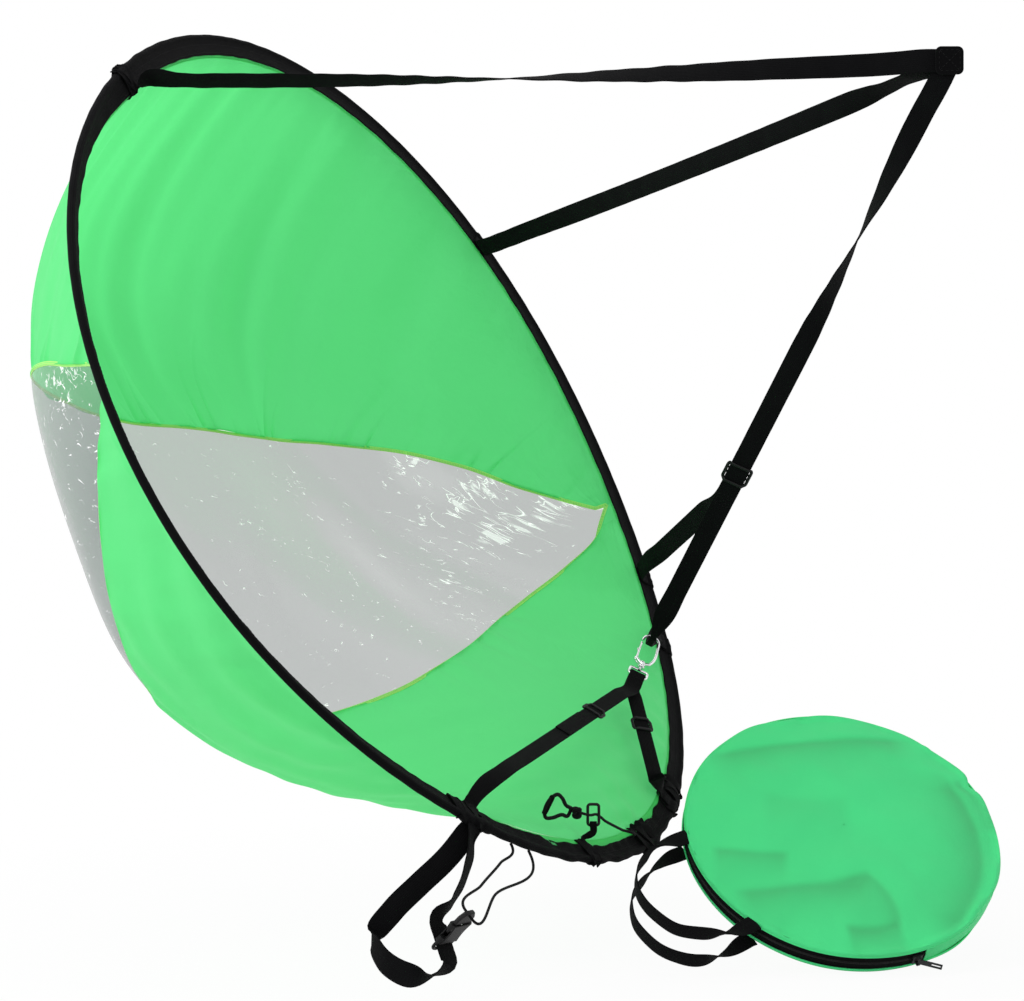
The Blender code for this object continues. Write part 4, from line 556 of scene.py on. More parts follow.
def grid(name, places, uvs, wrap_rows=False, wrap_columns=False, caps=False):
    """A smooth surface through rows of points. uvs has one more row or column where it wraps."""
    n, m = places.shape[:2]
    row_count, column_count = n if wrap_rows else n - 1, m if wrap_columns else m - 1
    rows, columns = np.meshgrid(np.arange(row_count), np.arange(column_count), indexing="ij")
    after_r, after_c = (rows + 1) % n, (columns + 1) % m
    faces = np.stack([rows * m + columns, rows * m + after_c,
                      after_r * m + after_c, after_r * m + columns], -1).reshape(-1, 4)
    corners = np.stack([uvs[rows, columns], uvs[rows, columns + 1], uvs[rows + 1, columns + 1],
                        uvs[rows + 1, columns]], -2).reshape(-1, 2)
    points = places.reshape(-1, 3)
    closed = (wrap_rows and wrap_columns) or caps
    if closed:
        a, b, c = points[faces[:, 0]], points[faces[:, 1]], points[faces[:, 2]]
        d = points[faces[:, 3]]
        volume = (a * (np.cross(b, c) + np.cross(c, d))).sum()
        if volume < 0:
            faces = faces[:, ::-1]
            corners = corners.reshape(-1, 4, 2)[:, ::-1].reshape(-1, 2)
    faces = faces.tolist()
    if caps:
        first, last = list(range(m)), [(n - 1) * m + index for index in range(m)]
        flipped = volume < 0
        faces += [first if flipped else first[::-1], last[::-1] if flipped else last]
        corners = np.concatenate([corners, np.zeros((2 * m, 2))])
    mesh = bpy.data.meshes.new(name)
    mesh.from_pydata(points.tolist(), [], faces)
    layer = mesh.uv_layers.new(name="UVMap")
    layer.data.foreach_set("uv", corners.ravel())
    mesh.shade_smooth()
    mesh.set_sharp_from_angle(angle=SHARP_FROM)
    return placed(name, mesh)


def join(name, parts):
    """One object from several with the same finish."""
    bpy.ops.object.select_all(action="DESELECT")
    for part in parts:
        part.select_set(True)
    bpy.context.view_layer.objects.active = parts[0]
    if len(parts) > 1:
        bpy.ops.object.join()
    parts[0].name = name
    return parts[0]


def untwisted(route):
    """The same rows, with each width direction on the side that turns the band least."""
    places = np.array([row[0] for row in route], dtype=float)
    ahead = np.gradient(places, axis=0)
    ahead /= np.maximum(np.linalg.norm(ahead, axis=1), 1e-9)[:, None]
    last, rows = None, []
    for (place, side, width, thick), along in zip(route, ahead):
        across = side - along * (along @ side)
        if last is not None and across @ last < 0:
            side, across = -side, -across
        last = across
        rows.append((place, side, width, thick))
    return rows


def webbing_frames(route, spacing):
    rows = spline([[*place, *side, width, thick] for place, side, width, thick in untwisted(route)], spacing)
    places = rows[:, :3]
    along = unit(np.gradient(places, axis=0))
    side = unit(rows[:, 3:6] - along * np.einsum("ij,ij->i", rows[:, 3:6], along)[:, None])
    return places, side, np.cross(along, side), rows[:, 6], rows[:, 7]


def round_corners(half_x, half_y, radius, steps, inset=0.0):
    """A rectangle with round corners, as (x, y, outward x, outward y) rows at the corners only."""
    rows = []
    for turn in range(4):
        for step in range(steps + 1):
            angle = math.tau / 4 * (turn + step / steps)
            out_x, out_y = math.cos(angle), math.sin(angle)
            x = (half_x - radius) * (1 if turn in (0, 3) else -1) + (radius - inset) * out_x
            y = (half_y - radius) * (1 if turn in (0, 1) else -1) + (radius - inset) * out_y
            rows.append((x, y, out_x, out_y))
    return rows


def band_section(width, thick):
    """A flat band with round edges, as points across and through it."""
    return [row[:2] for row in round_corners(width / 2, thick / 2, 0.48 * thick, 3)]


def band(name, route, spacing=0.006, seed=1, ripple=0.0, width=LINE_WIDTH):
    """Flat webbing along rows of place and width direction, and width and thickness where they differ."""
    route = [(*row, *(width, WEBBING)[len(row) - 2:]) for row in route]
    places, side, face, width, thick = webbing_frames(route, spacing)
    run = run_along(places)
    places = places + face * (ripple * soft_noise(seed, 5, run / 0.05))[:, None]
    sections = []
    for index in range(len(places)):
        section = np.array(band_section(width[index], thick[index]))
        sections.append(places[index] + side[index] * section[:, :1] + face[index] * section[:, 1:])
    sections = np.array(sections)
    around = run_around(np.array(band_section(width.max(), thick.min())))
    return grid(name, sections, laid(run, around), wrap_columns=True, caps=True)


def tube(name, places, radii, sides=16, closed=False):
    """A round bar through places, whose radius may change along it."""
    places = vec(places)
    radii = np.broadcast_to(radii, len(places))
    if closed:
        along = np.roll(places, -1, axis=0) - np.roll(places, 1, axis=0)
    else:
        along = np.gradient(places, axis=0)
    along = unit(along)
    guess = WORLD_UP if abs(along[0][2]) < 0.9 else RING_SIDE
    side = unit(np.cross(along[0], guess))
    turns = math.tau * np.arange(sides) / sides
    sections = []
    for place, ahead, radius in zip(places, along, radii):
        side = unit(side - ahead * (side @ ahead))
        other = np.cross(ahead, side)
        sections.append(place + (side * np.cos(turns)[:, None] + other * np.sin(turns)[:, None]) * radius)
    run = run_along(places)
    if closed:
        run = np.append(run, run[-1] * 2 - run[-2])
    around = math.tau * float(np.mean(radii)) * np.arange(sides + 1) / sides
    return grid(name, np.array(sections), laid(run, around), wrap_rows=closed, wrap_columns=True,
                caps=not closed)


def turned(name, origin, axis, profile, sides=24):
    """A turned solid: profile gives (along, radius) from one end of its axis to the other."""
    places = [origin + axis * along for along, _ in profile]
    radii = [max(radius, 0.02 * MM) for _, radius in profile]
    side = unit(np.cross(axis, WORLD_UP if abs(axis[2]) < 0.9 else RING_SIDE))
    other = np.cross(axis, side)
    turns = math.tau * np.arange(sides) / sides
    ring = side * np.cos(turns)[:, None] + other * np.sin(turns)[:, None]
    sections = np.array([place + ring * radius for place, radius in zip(places, radii)])
    uvs = np.zeros((len(places), sides + 1, 2))
    return grid(name, sections, uvs, wrap_columns=True, caps=True)


# The loop of one stitch: how far along it, how full the thread is and how high it lies, in threads
STITCH_LOOP = vec(((0.0, 0.25, -0.25), (0.22, 1, 0.28), (0.5, 1, 0.36), (0.78, 1, 0.28), (1.0, 0.25, -0.25)))
THREAD_SIDES = 5


def stitches(name, runs, scale=1.0):
    """Lock stitches as short raised loops of thread along runs of (places, face directions)."""
    length, thread = sizes().stitch * scale, sizes().thread * scale
    gap = 0.4 * length
    points = []
    faces = []
    for places, faces_up in runs:
        places = vec(places)
        faces_up = np.broadcast_to(vec(faces_up), places.shape)
        run = run_along(places)
        count = int(run[-1] // (length + gap))
        for index in range(count):
            start = (index + 0.5) * (run[-1] / max(count, 1)) - length / 2
            marks = start + length * STITCH_LOOP[:, 0]
            spots = np.stack([np.interp(marks, run, places[:, k]) for k in range(3)], -1)
            ups = np.stack([np.interp(marks, run, faces_up[:, k]) for k in range(3)], -1)
            along = unit(spots[-1] - spots[0])
            base = len(points)
            for spot, up, (_, full, lift) in zip(spots, ups, STITCH_LOOP):
                up = unit(up - along * (up @ along))
                across = np.cross(along, up)
                for turn in range(THREAD_SIDES):
                    angle = math.tau * turn / THREAD_SIDES
                    points.append(spot + up * thread * (lift + 0.5 * full * math.sin(angle))
                                  + across * thread * 0.5 * full * math.cos(angle))
            last = base + (len(STITCH_LOOP) - 1) * THREAD_SIDES
            for ring in range(base, last, THREAD_SIDES):
                for turn in range(THREAD_SIDES):
                    a, b = ring + turn, ring + (turn + 1) % THREAD_SIDES
                    faces.append((a, b, b + THREAD_SIDES, a + THREAD_SIDES))
            faces.append(tuple(base + turn for turn in range(THREAD_SIDES - 1, -1, -1)))
            faces.append(tuple(last + turn for turn in range(THREAD_SIDES)))
    mesh = bpy.data.meshes.new(name)
    mesh.from_pydata([tuple(point) for point in points], [], faces)
    mesh.shade_smooth()
    return placed(name, mesh)


def box_runs(centre, along, side, face, length, width, cross=True):
    """Stitch runs of a sewn box with a cross in it, lying on a face."""
    a, b = along * length / 2, side * width / 2
    corners = [centre - a - b, centre + a - b, centre + a + b, centre - a + b]
    runs = [(line_between(corners[i], corners[(i + 1) % 4]), face) for i in range(4)]
    if cross:
        runs += [(line_between(corners[0], corners[2]), face), (line_between(corners[1], corners[3]), face)]
    return runs


def line_between(start, end, count=8):
    share = np.linspace(0, 1, count)[:, None]
    return start * (1 - share) + end * share


def rounded(node, width, finish, segments=2):
    """A moulded or cast solid that keeps its shape and gets round edges and its finish."""
    made = NODES[node]
    weld = made.modifiers.new("weld", "WELD")
    weld.merge_threshold = 1e-5
    soft = made.modifiers.new("round", "BEVEL")
    soft.width = width
    soft.segments = segments
    soft.limit_method = "ANGLE"
    soft.angle_limit = math.radians(35)
    for slot in made.material_slots:
        slot.link = "DATA"
        slot.material = FINISHES[finish]
    return made


# Hoop

NOSE_RADIUS = ROD_RADIUS + CLEARANCE + 0.0006 + CLEARANCE + SLEEVE_CLOTH
ROD_OFFSET = SLEEVE_WIDTH / 2 - NOSE_RADIUS
LEG_OUTER = 0.0005 + CLEARANCE + SLEEVE_CLOTH
LEG_BEND = ROD_OFFSET - 2.0 * NOSE_RADIUS
FOLD_EDGE = -SLEEVE_WIDTH / 2 + ANCHOR_MARGIN
ANCHOR_FACE = LEG_OUTER + CLEARANCE + WEBBING


def from_centre(angle):
    """The hoop's line from its centre, for one angle or an array of them."""
    angle = vec(angle)
    growth = sum(out[0] * np.cos(k * angle) + out[1] * np.sin(k * angle) for k, out, _ in HOOP_WAVES)
    lift = sum(up[0] * np.cos(k * angle) + up[1] * np.sin(k * angle) for k, _, up in HOOP_WAVES)
    return outward_at(angle) * (HOOP_RADIUS + growth)[..., None] + RING_AXIS * lift[..., None]


def outward_at(angle):
    angle = vec(angle)
    return RING_UP * np.cos(angle)[..., None] + RING_SIDE * np.sin(angle)[..., None]


RING_CENTRE = -from_centre(math.pi)


LEAN_STOPS = (-180, -168, -156, -140, -120, -90, -75, -60, -48, -40, -34, -30, 150, 158, 168, 180)
LEAN_DEGREES = (14, 14, 20, 22, 24, 25, 28, 32, 34, 28, 12, 0, 0, 5, 12, 14)


def hoop_turn(angle):
    return np.degrees((vec(angle) + math.pi) % math.tau - math.pi)


def sleeve_lean(angle):
    """How far the cloth's pull turns the sleeve's free edge into the bowl, most along the port side."""
    return np.radians(np.interp(hoop_turn(angle), LEAN_STOPS, LEAN_DEGREES))


def drawn_up(angle):
    """The share of its width that the gathered sleeve keeps, least at the foot."""
    from_foot = 180 - np.abs(hoop_turn(angle))
    return 1 - 0.24 * np.exp(-(from_foot / 22) ** 2)


def hoop_place(angle, outward, axial, leaning=True):
    outward, axial = vec(outward), vec(axial)
    lean = sleeve_lean(angle) if leaning else 0.0
    inward = outward - ROD_OFFSET
    outward = ROD_OFFSET + inward * np.cos(lean) - axial * np.sin(lean)
    axial = axial * np.cos(lean) + inward * np.sin(lean)
    return (RING_CENTRE + from_centre(angle) + outward_at(angle) * outward[..., None]
            + RING_AXIS * axial[..., None])


def hoop_tangent(angle):
    half = 0.5 * LINE_WIDTH / HOOP_RADIUS
    return unit(hoop_place(angle + half, 0, 0) - hoop_place(angle - half, 0, 0))


def fold_outline(offset, leg, nose, inner_edge, steps=12):
    """Half of a folded section, from its front leg round the rod to its back leg."""
    halfway = (inner_edge + LEG_BEND) / 2
    places = [(place, leg + offset) for place in (inner_edge, halfway, LEG_BEND)]
    reach = nose + offset
    start = math.radians(140)
    for step in range(steps + 1):
        angle = start - 2 * start * step / steps
        places.append((ROD_OFFSET + reach * math.cos(angle), reach * math.sin(angle)))
    places += [(place, -leg - offset) for place in (LEG_BEND, halfway, inner_edge)]
    return np.array(places)


def sleeve_pucker(angle, outward, axial):
    """How far the gathered sleeve cloth stands off, most near the foot where it is bunched."""
    run = angle * HOOP_RADIUS
    from_foot = np.abs((angle - math.pi + math.pi) % math.tau - math.pi)
    bunched = np.exp(-(from_foot / 0.42) ** 2)
    leg = np.clip((ROD_OFFSET - outward) / SLEEVE_WIDTH, 0, 1)
    fine = soft_noise(3, 7, run / 0.021, outward / 0.03)
    broad = soft_noise(4, 5, run / 0.060, outward / 0.05)
    gather = sizes().gather
    push = gather * ((0.25 * fine + 0.3 * broad) * leg + bunched * (0.8 * fine + 0.8 * broad) * (0.35 + leg))
    return push * np.sign(axial + 1e-9), bunched


def build_sleeve():
    count = 900
    angles = np.linspace(0, math.tau, count, endpoint=False)
    section = fold_outline(0, LEG_OUTER, NOSE_RADIUS, -SLEEVE_WIDTH / 2)
    outward = np.broadcast_to(section[:, 0], (count, len(section)))
    axial = np.broadcast_to(section[:, 1], (count, len(section)))
    push, bunched = sleeve_pucker(angles[:, None], outward, axial)
    edge = np.clip(-(outward + SLEEVE_WIDTH / 4) / (SLEEVE_WIDTH / 4), 0, 1)
    run = angles * HOOP_RADIUS
    wander = (0.0006 + 0.0020 * bunched[:, 0]) * soft_noise(6, 6, run / 0.045)
    rim = (0.0004 + 0.0014 * bunched[:, 0]) * soft_noise(7, 6, run / 0.05)
    shift = wander[:, None] * edge + rim[:, None] * (1 - edge)
    drawn = ROD_OFFSET + (outward - ROD_OFFSET) * drawn_up(angles)[:, None]
    narrow = np.where(outward < ROD_OFFSET, drawn, outward)
    places = hoop_place(angles[:, None], narrow + shift, axial + push)
    run = np.append(run, math.tau * HOOP_RADIUS)
    made = grid("sleeve", places, laid(run, run_around(section)), wrap_rows=True, wrap_columns=True)
    finish_piece(made, "sleeve", "hoop_sleeve")

    runs = []
    line = np.linspace(0, math.tau, 700)
    for height in (1, -1):
        for reach in (-SLEEVE_WIDTH / 2 + 2.6 * MM, LEG_BEND - 1.0 * MM):
            push, _ = sleeve_pucker(line, np.full_like(line, reach), np.full_like(line, height))
            narrow = ROD_OFFSET + (reach - ROD_OFFSET) * drawn_up(line)
            runs.append((hoop_place(line, narrow, height * LEG_OUTER + push), RING_AXIS * height))
    finish_piece(stitches("sleeve_stitches", runs, 1.15), "thread_black")


# Bowl

RIM_INSET = SLEEVE_WIDTH / 2 + 0.0020
BOWL_RADIUS = HOOP_RADIUS - RIM_INSET


def bowl_depth(share, angle):
    waves = 1 + sum(share ** k * (c * np.cos(k * angle) + s * np.sin(k * angle)) for k, c, s in BOWL_WAVES)
    waves = (waves + np.hypot(waves, BOWL_SOFTENING)) / 2
    return BOWL_DEPTH * np.clip(1 - share ** BOWL_FLATNESS, 0, 1) ** BOWL_EDGE * waves


def bowl_place(across, up):
    """Points of the bowl from their places across and up, in shares of the bowl's radius."""
    across, up = vec(across), vec(up)
    share = np.minimum(np.hypot(across, up), 1.0)
    angle = np.arctan2(across, up)
    rim = hoop_place(angle, -RIM_INSET, 0, leaning=False) - RING_CENTRE
    lean = hoop_place(angle, -RIM_INSET, 0) - RING_CENTRE - rim
    lift = rim @ RING_AXIS
    flat = rim - RING_AXIS * lift[..., None]
    return (RING_CENTRE + flat * share[..., None] + lean * (share ** 14)[..., None]
            + RING_AXIS * (lift * share ** 2 - bowl_depth(share, angle))[..., None])


def surface_normals(places):
    """Directions square to a grid of points, towards the open side of the bowl."""
    across = np.gradient(places, axis=0)
    down = np.gradient(places, axis=1)
    normal = np.cross(across, down)
    normal /= np.maximum(np.linalg.norm(normal, axis=-1), 1e-12)[..., None]
    return normal * np.sign(normal @ RING_AXIS)[..., None]


def seam_curve(shares, count):
    """The seam at equal steps, from the port side."""
    rows = spline([[across, up, 0] for across, up in shares], 0.01)[:, :2]
    run = run_along(rows)
    marks = np.linspace(0, run[-1], count)
    return np.stack([np.interp(marks, run, rows[:, k]) for k in (0, 1)], -1)


def to_rim(place, edge):
    return place * edge / np.linalg.norm(place)


def rim_curve(start, end, edge, count, foot=False):
    first, last = math.atan2(*start), math.atan2(*end)
    if foot:
        last, first = last - math.tau if last > 0 else last, first
        last = last if last < first else last - math.tau
    angles = np.linspace(first, last, count)
    return np.stack([np.sin(angles), np.cos(angles)], -1) * edge


def bowl_sheet(name, first, second, rows, wrinkle):
    """A cloth panel stretched between two curves of the bowl."""
    share = np.linspace(0, 1, rows)[None, :, None]
    flat = first[:, None] * (1 - share) + second[:, None] * share
    places = bowl_place(flat[..., 0], flat[..., 1])
    normal = surface_normals(places)
    from_first = np.cumsum(np.linalg.norm(np.diff(places, axis=1, prepend=places[:, :1]), axis=-1), axis=1)
    to_second = from_first[:, -1:] - from_first
    middle = places[:, rows // 2]
    run = np.cumsum(np.linalg.norm(np.diff(middle, axis=0, prepend=middle[:1]), axis=-1))[:, None]
    run = np.broadcast_to(run, from_first.shape)
    rim_gap = (1 - np.hypot(flat[..., 0], flat[..., 1])) * BOWL_RADIUS
    held = np.clip(rim_gap / 0.012, 0, 1)
    height, painted_shade = wrinkle(flat, run, from_first, to_second)
    places = places + normal * (height * held)[..., None]
    along = np.cumsum(np.linalg.norm(np.diff(places, axis=0, prepend=places[:1]), axis=-1), axis=0)
    made = grid(name, places, np.stack([along, from_first], -1))
    # the wrinkles' second result is painted shade, kept as a colour layer
    shade_points(made, "painted_shade", painted_shade)
    return made, flat


def shade_points(made, name, level):
    """A grey colour layer, one level for each point."""
    layer = made.data.color_attributes.new(name, "FLOAT_COLOR", "POINT")
    grey = np.clip(level, 0, 1).ravel()[:, None]
    layer.data.foreach_set("color", np.hstack([grey, grey, grey, np.ones_like(grey)]).ravel())


# How far from a seam the cloth is held flat, and how far the painted shade along it reaches
SEAM_HOLD = 0.004
SEAM_SHADE = 0.006


def near_seam(distance, reach):
    """Rises from nothing at a seam and dies away over a reach."""
    return (1 - np.exp(-distance / SEAM_HOLD)) * np.exp(-distance / reach)


def upper_wrinkles(flat, run, from_first, to_second):
    across, up = flat[..., 0], flat[..., 1]
    drawn = soft_noise(11, 8, run / 0.055, from_first / 0.22)
    tucks = np.exp(-(drawn / 0.20) ** 2) * np.clip(0.5 + soft_noise(17, 4, run / 0.12), 0, 1.3)
    reach = np.maximum(0.034 + 0.026 * soft_noise(15, 4, run / 0.11), 0.010)
    near = near_seam(from_first, reach)
    short = sizes().pucker * near * (0.4 * drawn - tucks)
    hanging = soft_noise(12, 6, (across * BOWL_RADIUS + 0.15 * up * BOWL_RADIUS) / 0.075, up / 1.6)
    top = np.exp(-((up - 0.80) / 0.42) ** 2)
    tall = sizes().fold * top * hanging
    rim = 0.0018 * near_seam(to_second, 0.05) * soft_noise(13, 7, run / 0.035)
    broad = soft_noise(14, 5, across / 0.55, up / 0.55) + 0.5 * soft_noise(16, 5, across / 0.2, up / 0.3)
    # painted shade: darker in the tucks near the top seam, on the hanging folds at the head of the bowl, and
    # in a band along the seam
    painted_shade = 0.9 * near * tucks + 0.35 * np.clip(top * hanging - 0.35, 0, 1)
    return short + tall + rim + sizes().sag * broad, painted_shade + 0.25 * np.exp(-from_first / SEAM_SHADE)


def lower_wrinkles(flat, run, from_first, to_second):
    across, up = flat[..., 0], flat[..., 1]
    short = 0.6 * sizes().pucker * near_seam(from_first, 0.04) * soft_noise(21, 7, run / 0.055)
    rim = 0.0022 * near_seam(to_second, 0.06) * soft_noise(22, 7, run / 0.045)
    broad = 1.1 * sizes().sag * soft_noise(23, 6, across / 0.45, up / 0.30)
    folds = soft_noise(24, 7, (across + 0.5 * up) / 0.07, (up - 0.5 * across) / 0.5)
    flank = np.exp(-((across + 0.75) / 0.28) ** 2) * 0.9 * sizes().sag * folds
    foot = np.exp(-((up + 0.85) / 0.2) ** 2) * 0.7 * sizes().sag * soft_noise(25, 6, across / 0.16, up / 0.09)
    level = np.exp(-((across - 0.15) / 0.35) ** 2 - ((up + 0.62) / 0.12) ** 2)
    lines = 0.5 * sizes().sag * level * soft_noise(26, 4, across / 0.9, up / 0.05)
    # painted shade: darker in the fold valleys on the port flank, and in a band along the low seam
    painted_shade = 0.5 * np.exp(-((across + 0.75) / 0.3) ** 2) * np.clip(-folds - 0.3, 0, 1)
    painted_shade = painted_shade + 0.2 * np.exp(-from_first / SEAM_SHADE)
    return short + rim + broad + flank + foot + lines, painted_shade


def window_wrinkles(flat, run, from_first, to_second):
    across, up = flat[..., 0], flat[..., 1]
    edge = np.minimum(from_first, to_second)
    height = (1 - np.exp(-edge / 0.02)) * 0.0022 * soft_noise(31, 6, across / 0.35, up / 0.35)
    return height, np.zeros_like(across)


# Where the sheet's creases crowd most, and its painted glints with them: places across and up the bowl, their
# reach and how much
CREASE_AND_GLINT_SPOTS = (
    (0.895, 0.03, 0.045, 1.0), (0.905, -0.10, 0.040, 1.0), (0.86, -0.12, 0.035, 0.9), (0.82, 0.18, 0.04, 0.8),
    (0.95, -0.13, 0.05, 0.60), (0.82, 0.0, 0.09, 0.40), (0.47, 0.20, 0.07, 0.5), (0.12, 0.0, 0.06, 0.4),
    (0.27, -0.09, 0.06, 0.4), (0.55, -0.32, 0.07, 0.45), (0.70, -0.20, 0.12, 0.25),
    (-0.92, 0.20, 0.07, 0.55), (-0.84, 0.27, 0.06, 0.55), (-0.95, 0.05, 0.06, 0.15),
    (-0.70, 0.10, 0.25, 0.10),
)
# How many points each panel has along the bowl, and across it
WEFT_STEPS = 640
UPPER_ROWS = 120
LOWER_ROWS = 100
WINDOW_ROWS = 90
CORNER_ROWS = 30
# The seams end at this share of the bowl's radius
SEAM_END = 0.999
# The starboard end of the window is cut on the slant: the top seam stops at this share of its last step, and
# the low seam this many steps early
TIP_SHARE = 0.7
LOW_SHORT = 9
# The tapes leave out this many steps at the seams' port ends
TAPE_START = 4
TAPE_THICKNESS = 1.7 * MM


def resampled(curve, count):
    marks = np.linspace(0, len(curve) - 1, count)
    return np.stack([np.interp(marks, np.arange(len(curve)), curve[:, k]) for k in (0, 1)], -1)


def build_bowl():
    count = WEFT_STEPS
    top = seam_curve(TOP_SEAM, count)
    low = seam_curve(LOW_SEAM, count)
    for seam in (top, low):
        seam[0], seam[-1] = to_rim(seam[0], SEAM_END), to_rim(seam[-1], SEAM_END)
    rim_top = rim_curve(top[0], top[-1], SEAM_END, count)
    rim_low = rim_curve(low[0], low[-1], SEAM_END, count, foot=True)
    upper, _ = bowl_sheet("panel_upper", top, rim_top, UPPER_ROWS, upper_wrinkles)
    finish_piece(upper, "cloth", "upper_panel")
    lower, _ = bowl_sheet("panel_lower", low, rim_low, LOWER_ROWS, lower_wrinkles)
    finish_piece(lower, "cloth", "lower_panel")
    tip = top[-2] * (1 - TIP_SHARE) + top[-1] * TIP_SHARE
    inner_top, inner_low = np.vstack([top[:-1], tip]), resampled(low[:-LOW_SHORT], count)
    window, flat = bowl_sheet("window", inner_top, inner_low, WINDOW_ROWS, window_wrinkles)
    corner, _ = bowl_sheet("window_corner", resampled(np.array([tip, top[-1]]), LOW_SHORT + 1),
                           low[-LOW_SHORT - 1:], CORNER_ROWS, window_wrinkles)
    finish_piece(corner, "cloth")
    creases_and_glints = 0.05 + np.zeros(flat.shape[:2])
    for across, up, reach, much in CREASE_AND_GLINT_SPOTS:
        creases_and_glints += much * np.exp(-((flat[..., 0] - across) ** 2 + (flat[..., 1] - up) ** 2) / reach ** 2)
    shade_points(window, "creases_and_glints", creases_and_glints)
    finish_piece(window, "clear", "clear_window")
    build_tapes(inner_top[TAPE_START:], inner_low[TAPE_START:])
    build_hem()
    for made, rows in ((upper, UPPER_ROWS), (lower, LOWER_ROWS), (window, WINDOW_ROWS)):
        places = np.array([vertex.co for vertex in made.data.vertices]).reshape(-1, rows, 3)


def build_tapes(top, low):
    """Lime bias tape on both seams and the window's slanting end, with two rows of stitches each side."""
    tip = resampled(np.array([top[-1], low[-1]]), 12)
    for seam, curve, nodes in (("top_seam", top, ["top_seam_tape"]), ("low_seam", low, ["low_seam_tape"]),
                               ("tip_seam", tip, [])):
        places = bowl_place(curve[:, 0], curve[:, 1])
        step = 0.004
        sideways = bowl_place(curve[:, 0] + step, curve[:, 1]) - bowl_place(curve[:, 0] - step, curve[:, 1])
        upwards = bowl_place(curve[:, 0], curve[:, 1] + step) - bowl_place(curve[:, 0], curve[:, 1] - step)
        normal = unit(np.cross(sideways, upwards))
        normal *= np.sign(normal @ RING_AXIS)[:, None]
        along = unit(np.gradient(places, axis=0))
        side = np.cross(normal, along)
        section = np.array(band_section(SEAM_WIDTH, TAPE_THICKNESS))
        sections = (places[:, None] + side[:, None] * section[None, :, :1]
                    + normal[:, None] * section[None, :, 1:])
        uvs = laid(run_along(places), run_around(section))
        finish_piece(grid(seam + "_binding", sections, uvs, wrap_columns=True, caps=True), "lime", *nodes)
        runs = [(places + side * across * 0.9 * MM + normal * height * 0.9 * MM, normal * height)
                for height in (1, -1) for across in (1, -1)]
        finish_piece(stitches(seam + "_stitches", runs, 0.85), "thread_green")


def build_hem():
    count = 720
    angles = np.linspace(0, math.tau, count, endpoint=False)
    path = [hoop_place(angles, reach * MM - SLEEVE_WIDTH / 2, 0) for reach in (11, 1)]
    for share in (1.0, 0.9995, 0.999, 0.9985, HEM_DROP_SHARE):
        path.append(bowl_place(np.sin(angles) * share, np.cos(angles) * share))
    path = np.stack(path, 1)
    outward = outward_at(angles)
    ahead = np.gradient(path, axis=1)
    run = np.einsum("ijk,ik->ij", ahead, outward)
    rise = ahead @ RING_AXIS
    face = unit(outward[:, None] * rise[..., None] - RING_AXIS * run[..., None])
    half = np.array((0.5, 0.7, 0.8, 0.8, 0.8, 0.7, 0.3)) * MM
    wander = 0.35 * MM * soft_noise(41, 6, angles * HOOP_RADIUS / 0.05)
    ahead_of = np.array((0.5, 0.5, 0.1, -0.25, -0.25, -0.25, -0.35)) * MM
    front = path + face * (ahead_of + wander[:, None] * (ahead_of > 0.3 * MM))[..., None]
    back = path - face * (half + 0.35 * MM)[:, None]
    places = np.concatenate([front, back[:, ::-1]], axis=1)
    hop = np.array([0, 3, 6, 8, 10, 12, 14, 15, 17, 19, 21, 23, 25, 28, 29]) * MM
    along = np.append(angles, math.tau) * HOOP_RADIUS
    made = grid("hem", places, laid(along, hop), wrap_rows=True, wrap_columns=True)
    finish_piece(made, "cloth", "hem_strip")


# Lines and anchors

def build_anchor(name, node, angle, width, seed):
    """Webbing folded over the hoop and sewn down, a little crumpled."""
    half = width / 2 / HOOP_RADIUS
    count = max(10, round(width / 0.0018))
    angles = np.linspace(angle - half, angle + half, count)
    outer = fold_outline(CLEARANCE + WEBBING, LEG_OUTER, NOSE_RADIUS, FOLD_EDGE)
    inner = fold_outline(CLEARANCE, LEG_OUTER, NOSE_RADIUS, FOLD_EDGE)
    places = []
    for index, spot in enumerate(angles):
        edge = min(index, count - 1 - index) / (count / 2)
        plump = 1 - 0.5 * (1 - min(1, edge * 4)) ** 2
        run = np.full(len(outer), spot * HOOP_RADIUS)
        lumps = 0.0004 * soft_noise(seed, 5, outer[:, 0] / 0.012, run / 0.012)
        swell = inner + (outer - inner) * plump * (1 + lumps[:, None] / WEBBING)
        ring = np.concatenate([swell, inner[::-1]])
        places.append(hoop_place(np.full(len(ring), spot), ring[:, 0], ring[:, 1]))
    ring = np.concatenate([outer, inner[::-1]])
    uvs = laid(angles * HOOP_RADIUS, run_around(ring))[..., ::-1]
    made = grid(name, np.array(places), uvs, wrap_columns=True, caps=True)
    return finish_piece(made, "webbing", node)


def sewn_end(angle, width, toward):
    """Rows flat on an anchor's face, where a line or strap is sewn down, and where it lifts off."""
    height = ANCHOR_FACE + 1.5 * CLEARANCE + WEBBING / 2
    tangent = hoop_tangent(angle)
    outer, held, inner = [hoop_place(angle, reach, height)
                          for reach in (LEG_BEND, FOLD_EDGE, FOLD_EDGE - ANCHOR_MARGIN)]
    lift = unit(toward - inner)
    bend = inner + (unit(inner - outer) + RING_AXIS + lift) * width / 6
    return [(place, tangent) for place in (outer, held, inner)], bend


def sewn_rows(angle, side, ends, bend):
    """The last rows of a band that comes down on its anchor."""
    tangent = toward(hoop_tangent(angle), side)
    return [(place, tangent) for place in (bend, *[row[0] for row in ends[::-1]])]


def in_view(line_along, turn):
    upright = unit(WORLD_UP - line_along * (WORLD_UP @ line_along))
    level = np.cross(line_along, upright)
    return upright * math.cos(turn) + level * math.sin(turn)


def hanging_place(start, end, share, sag):
    return start * (1 - share) + end * share - WORLD_UP * sag * 4 * share * (1 - share)


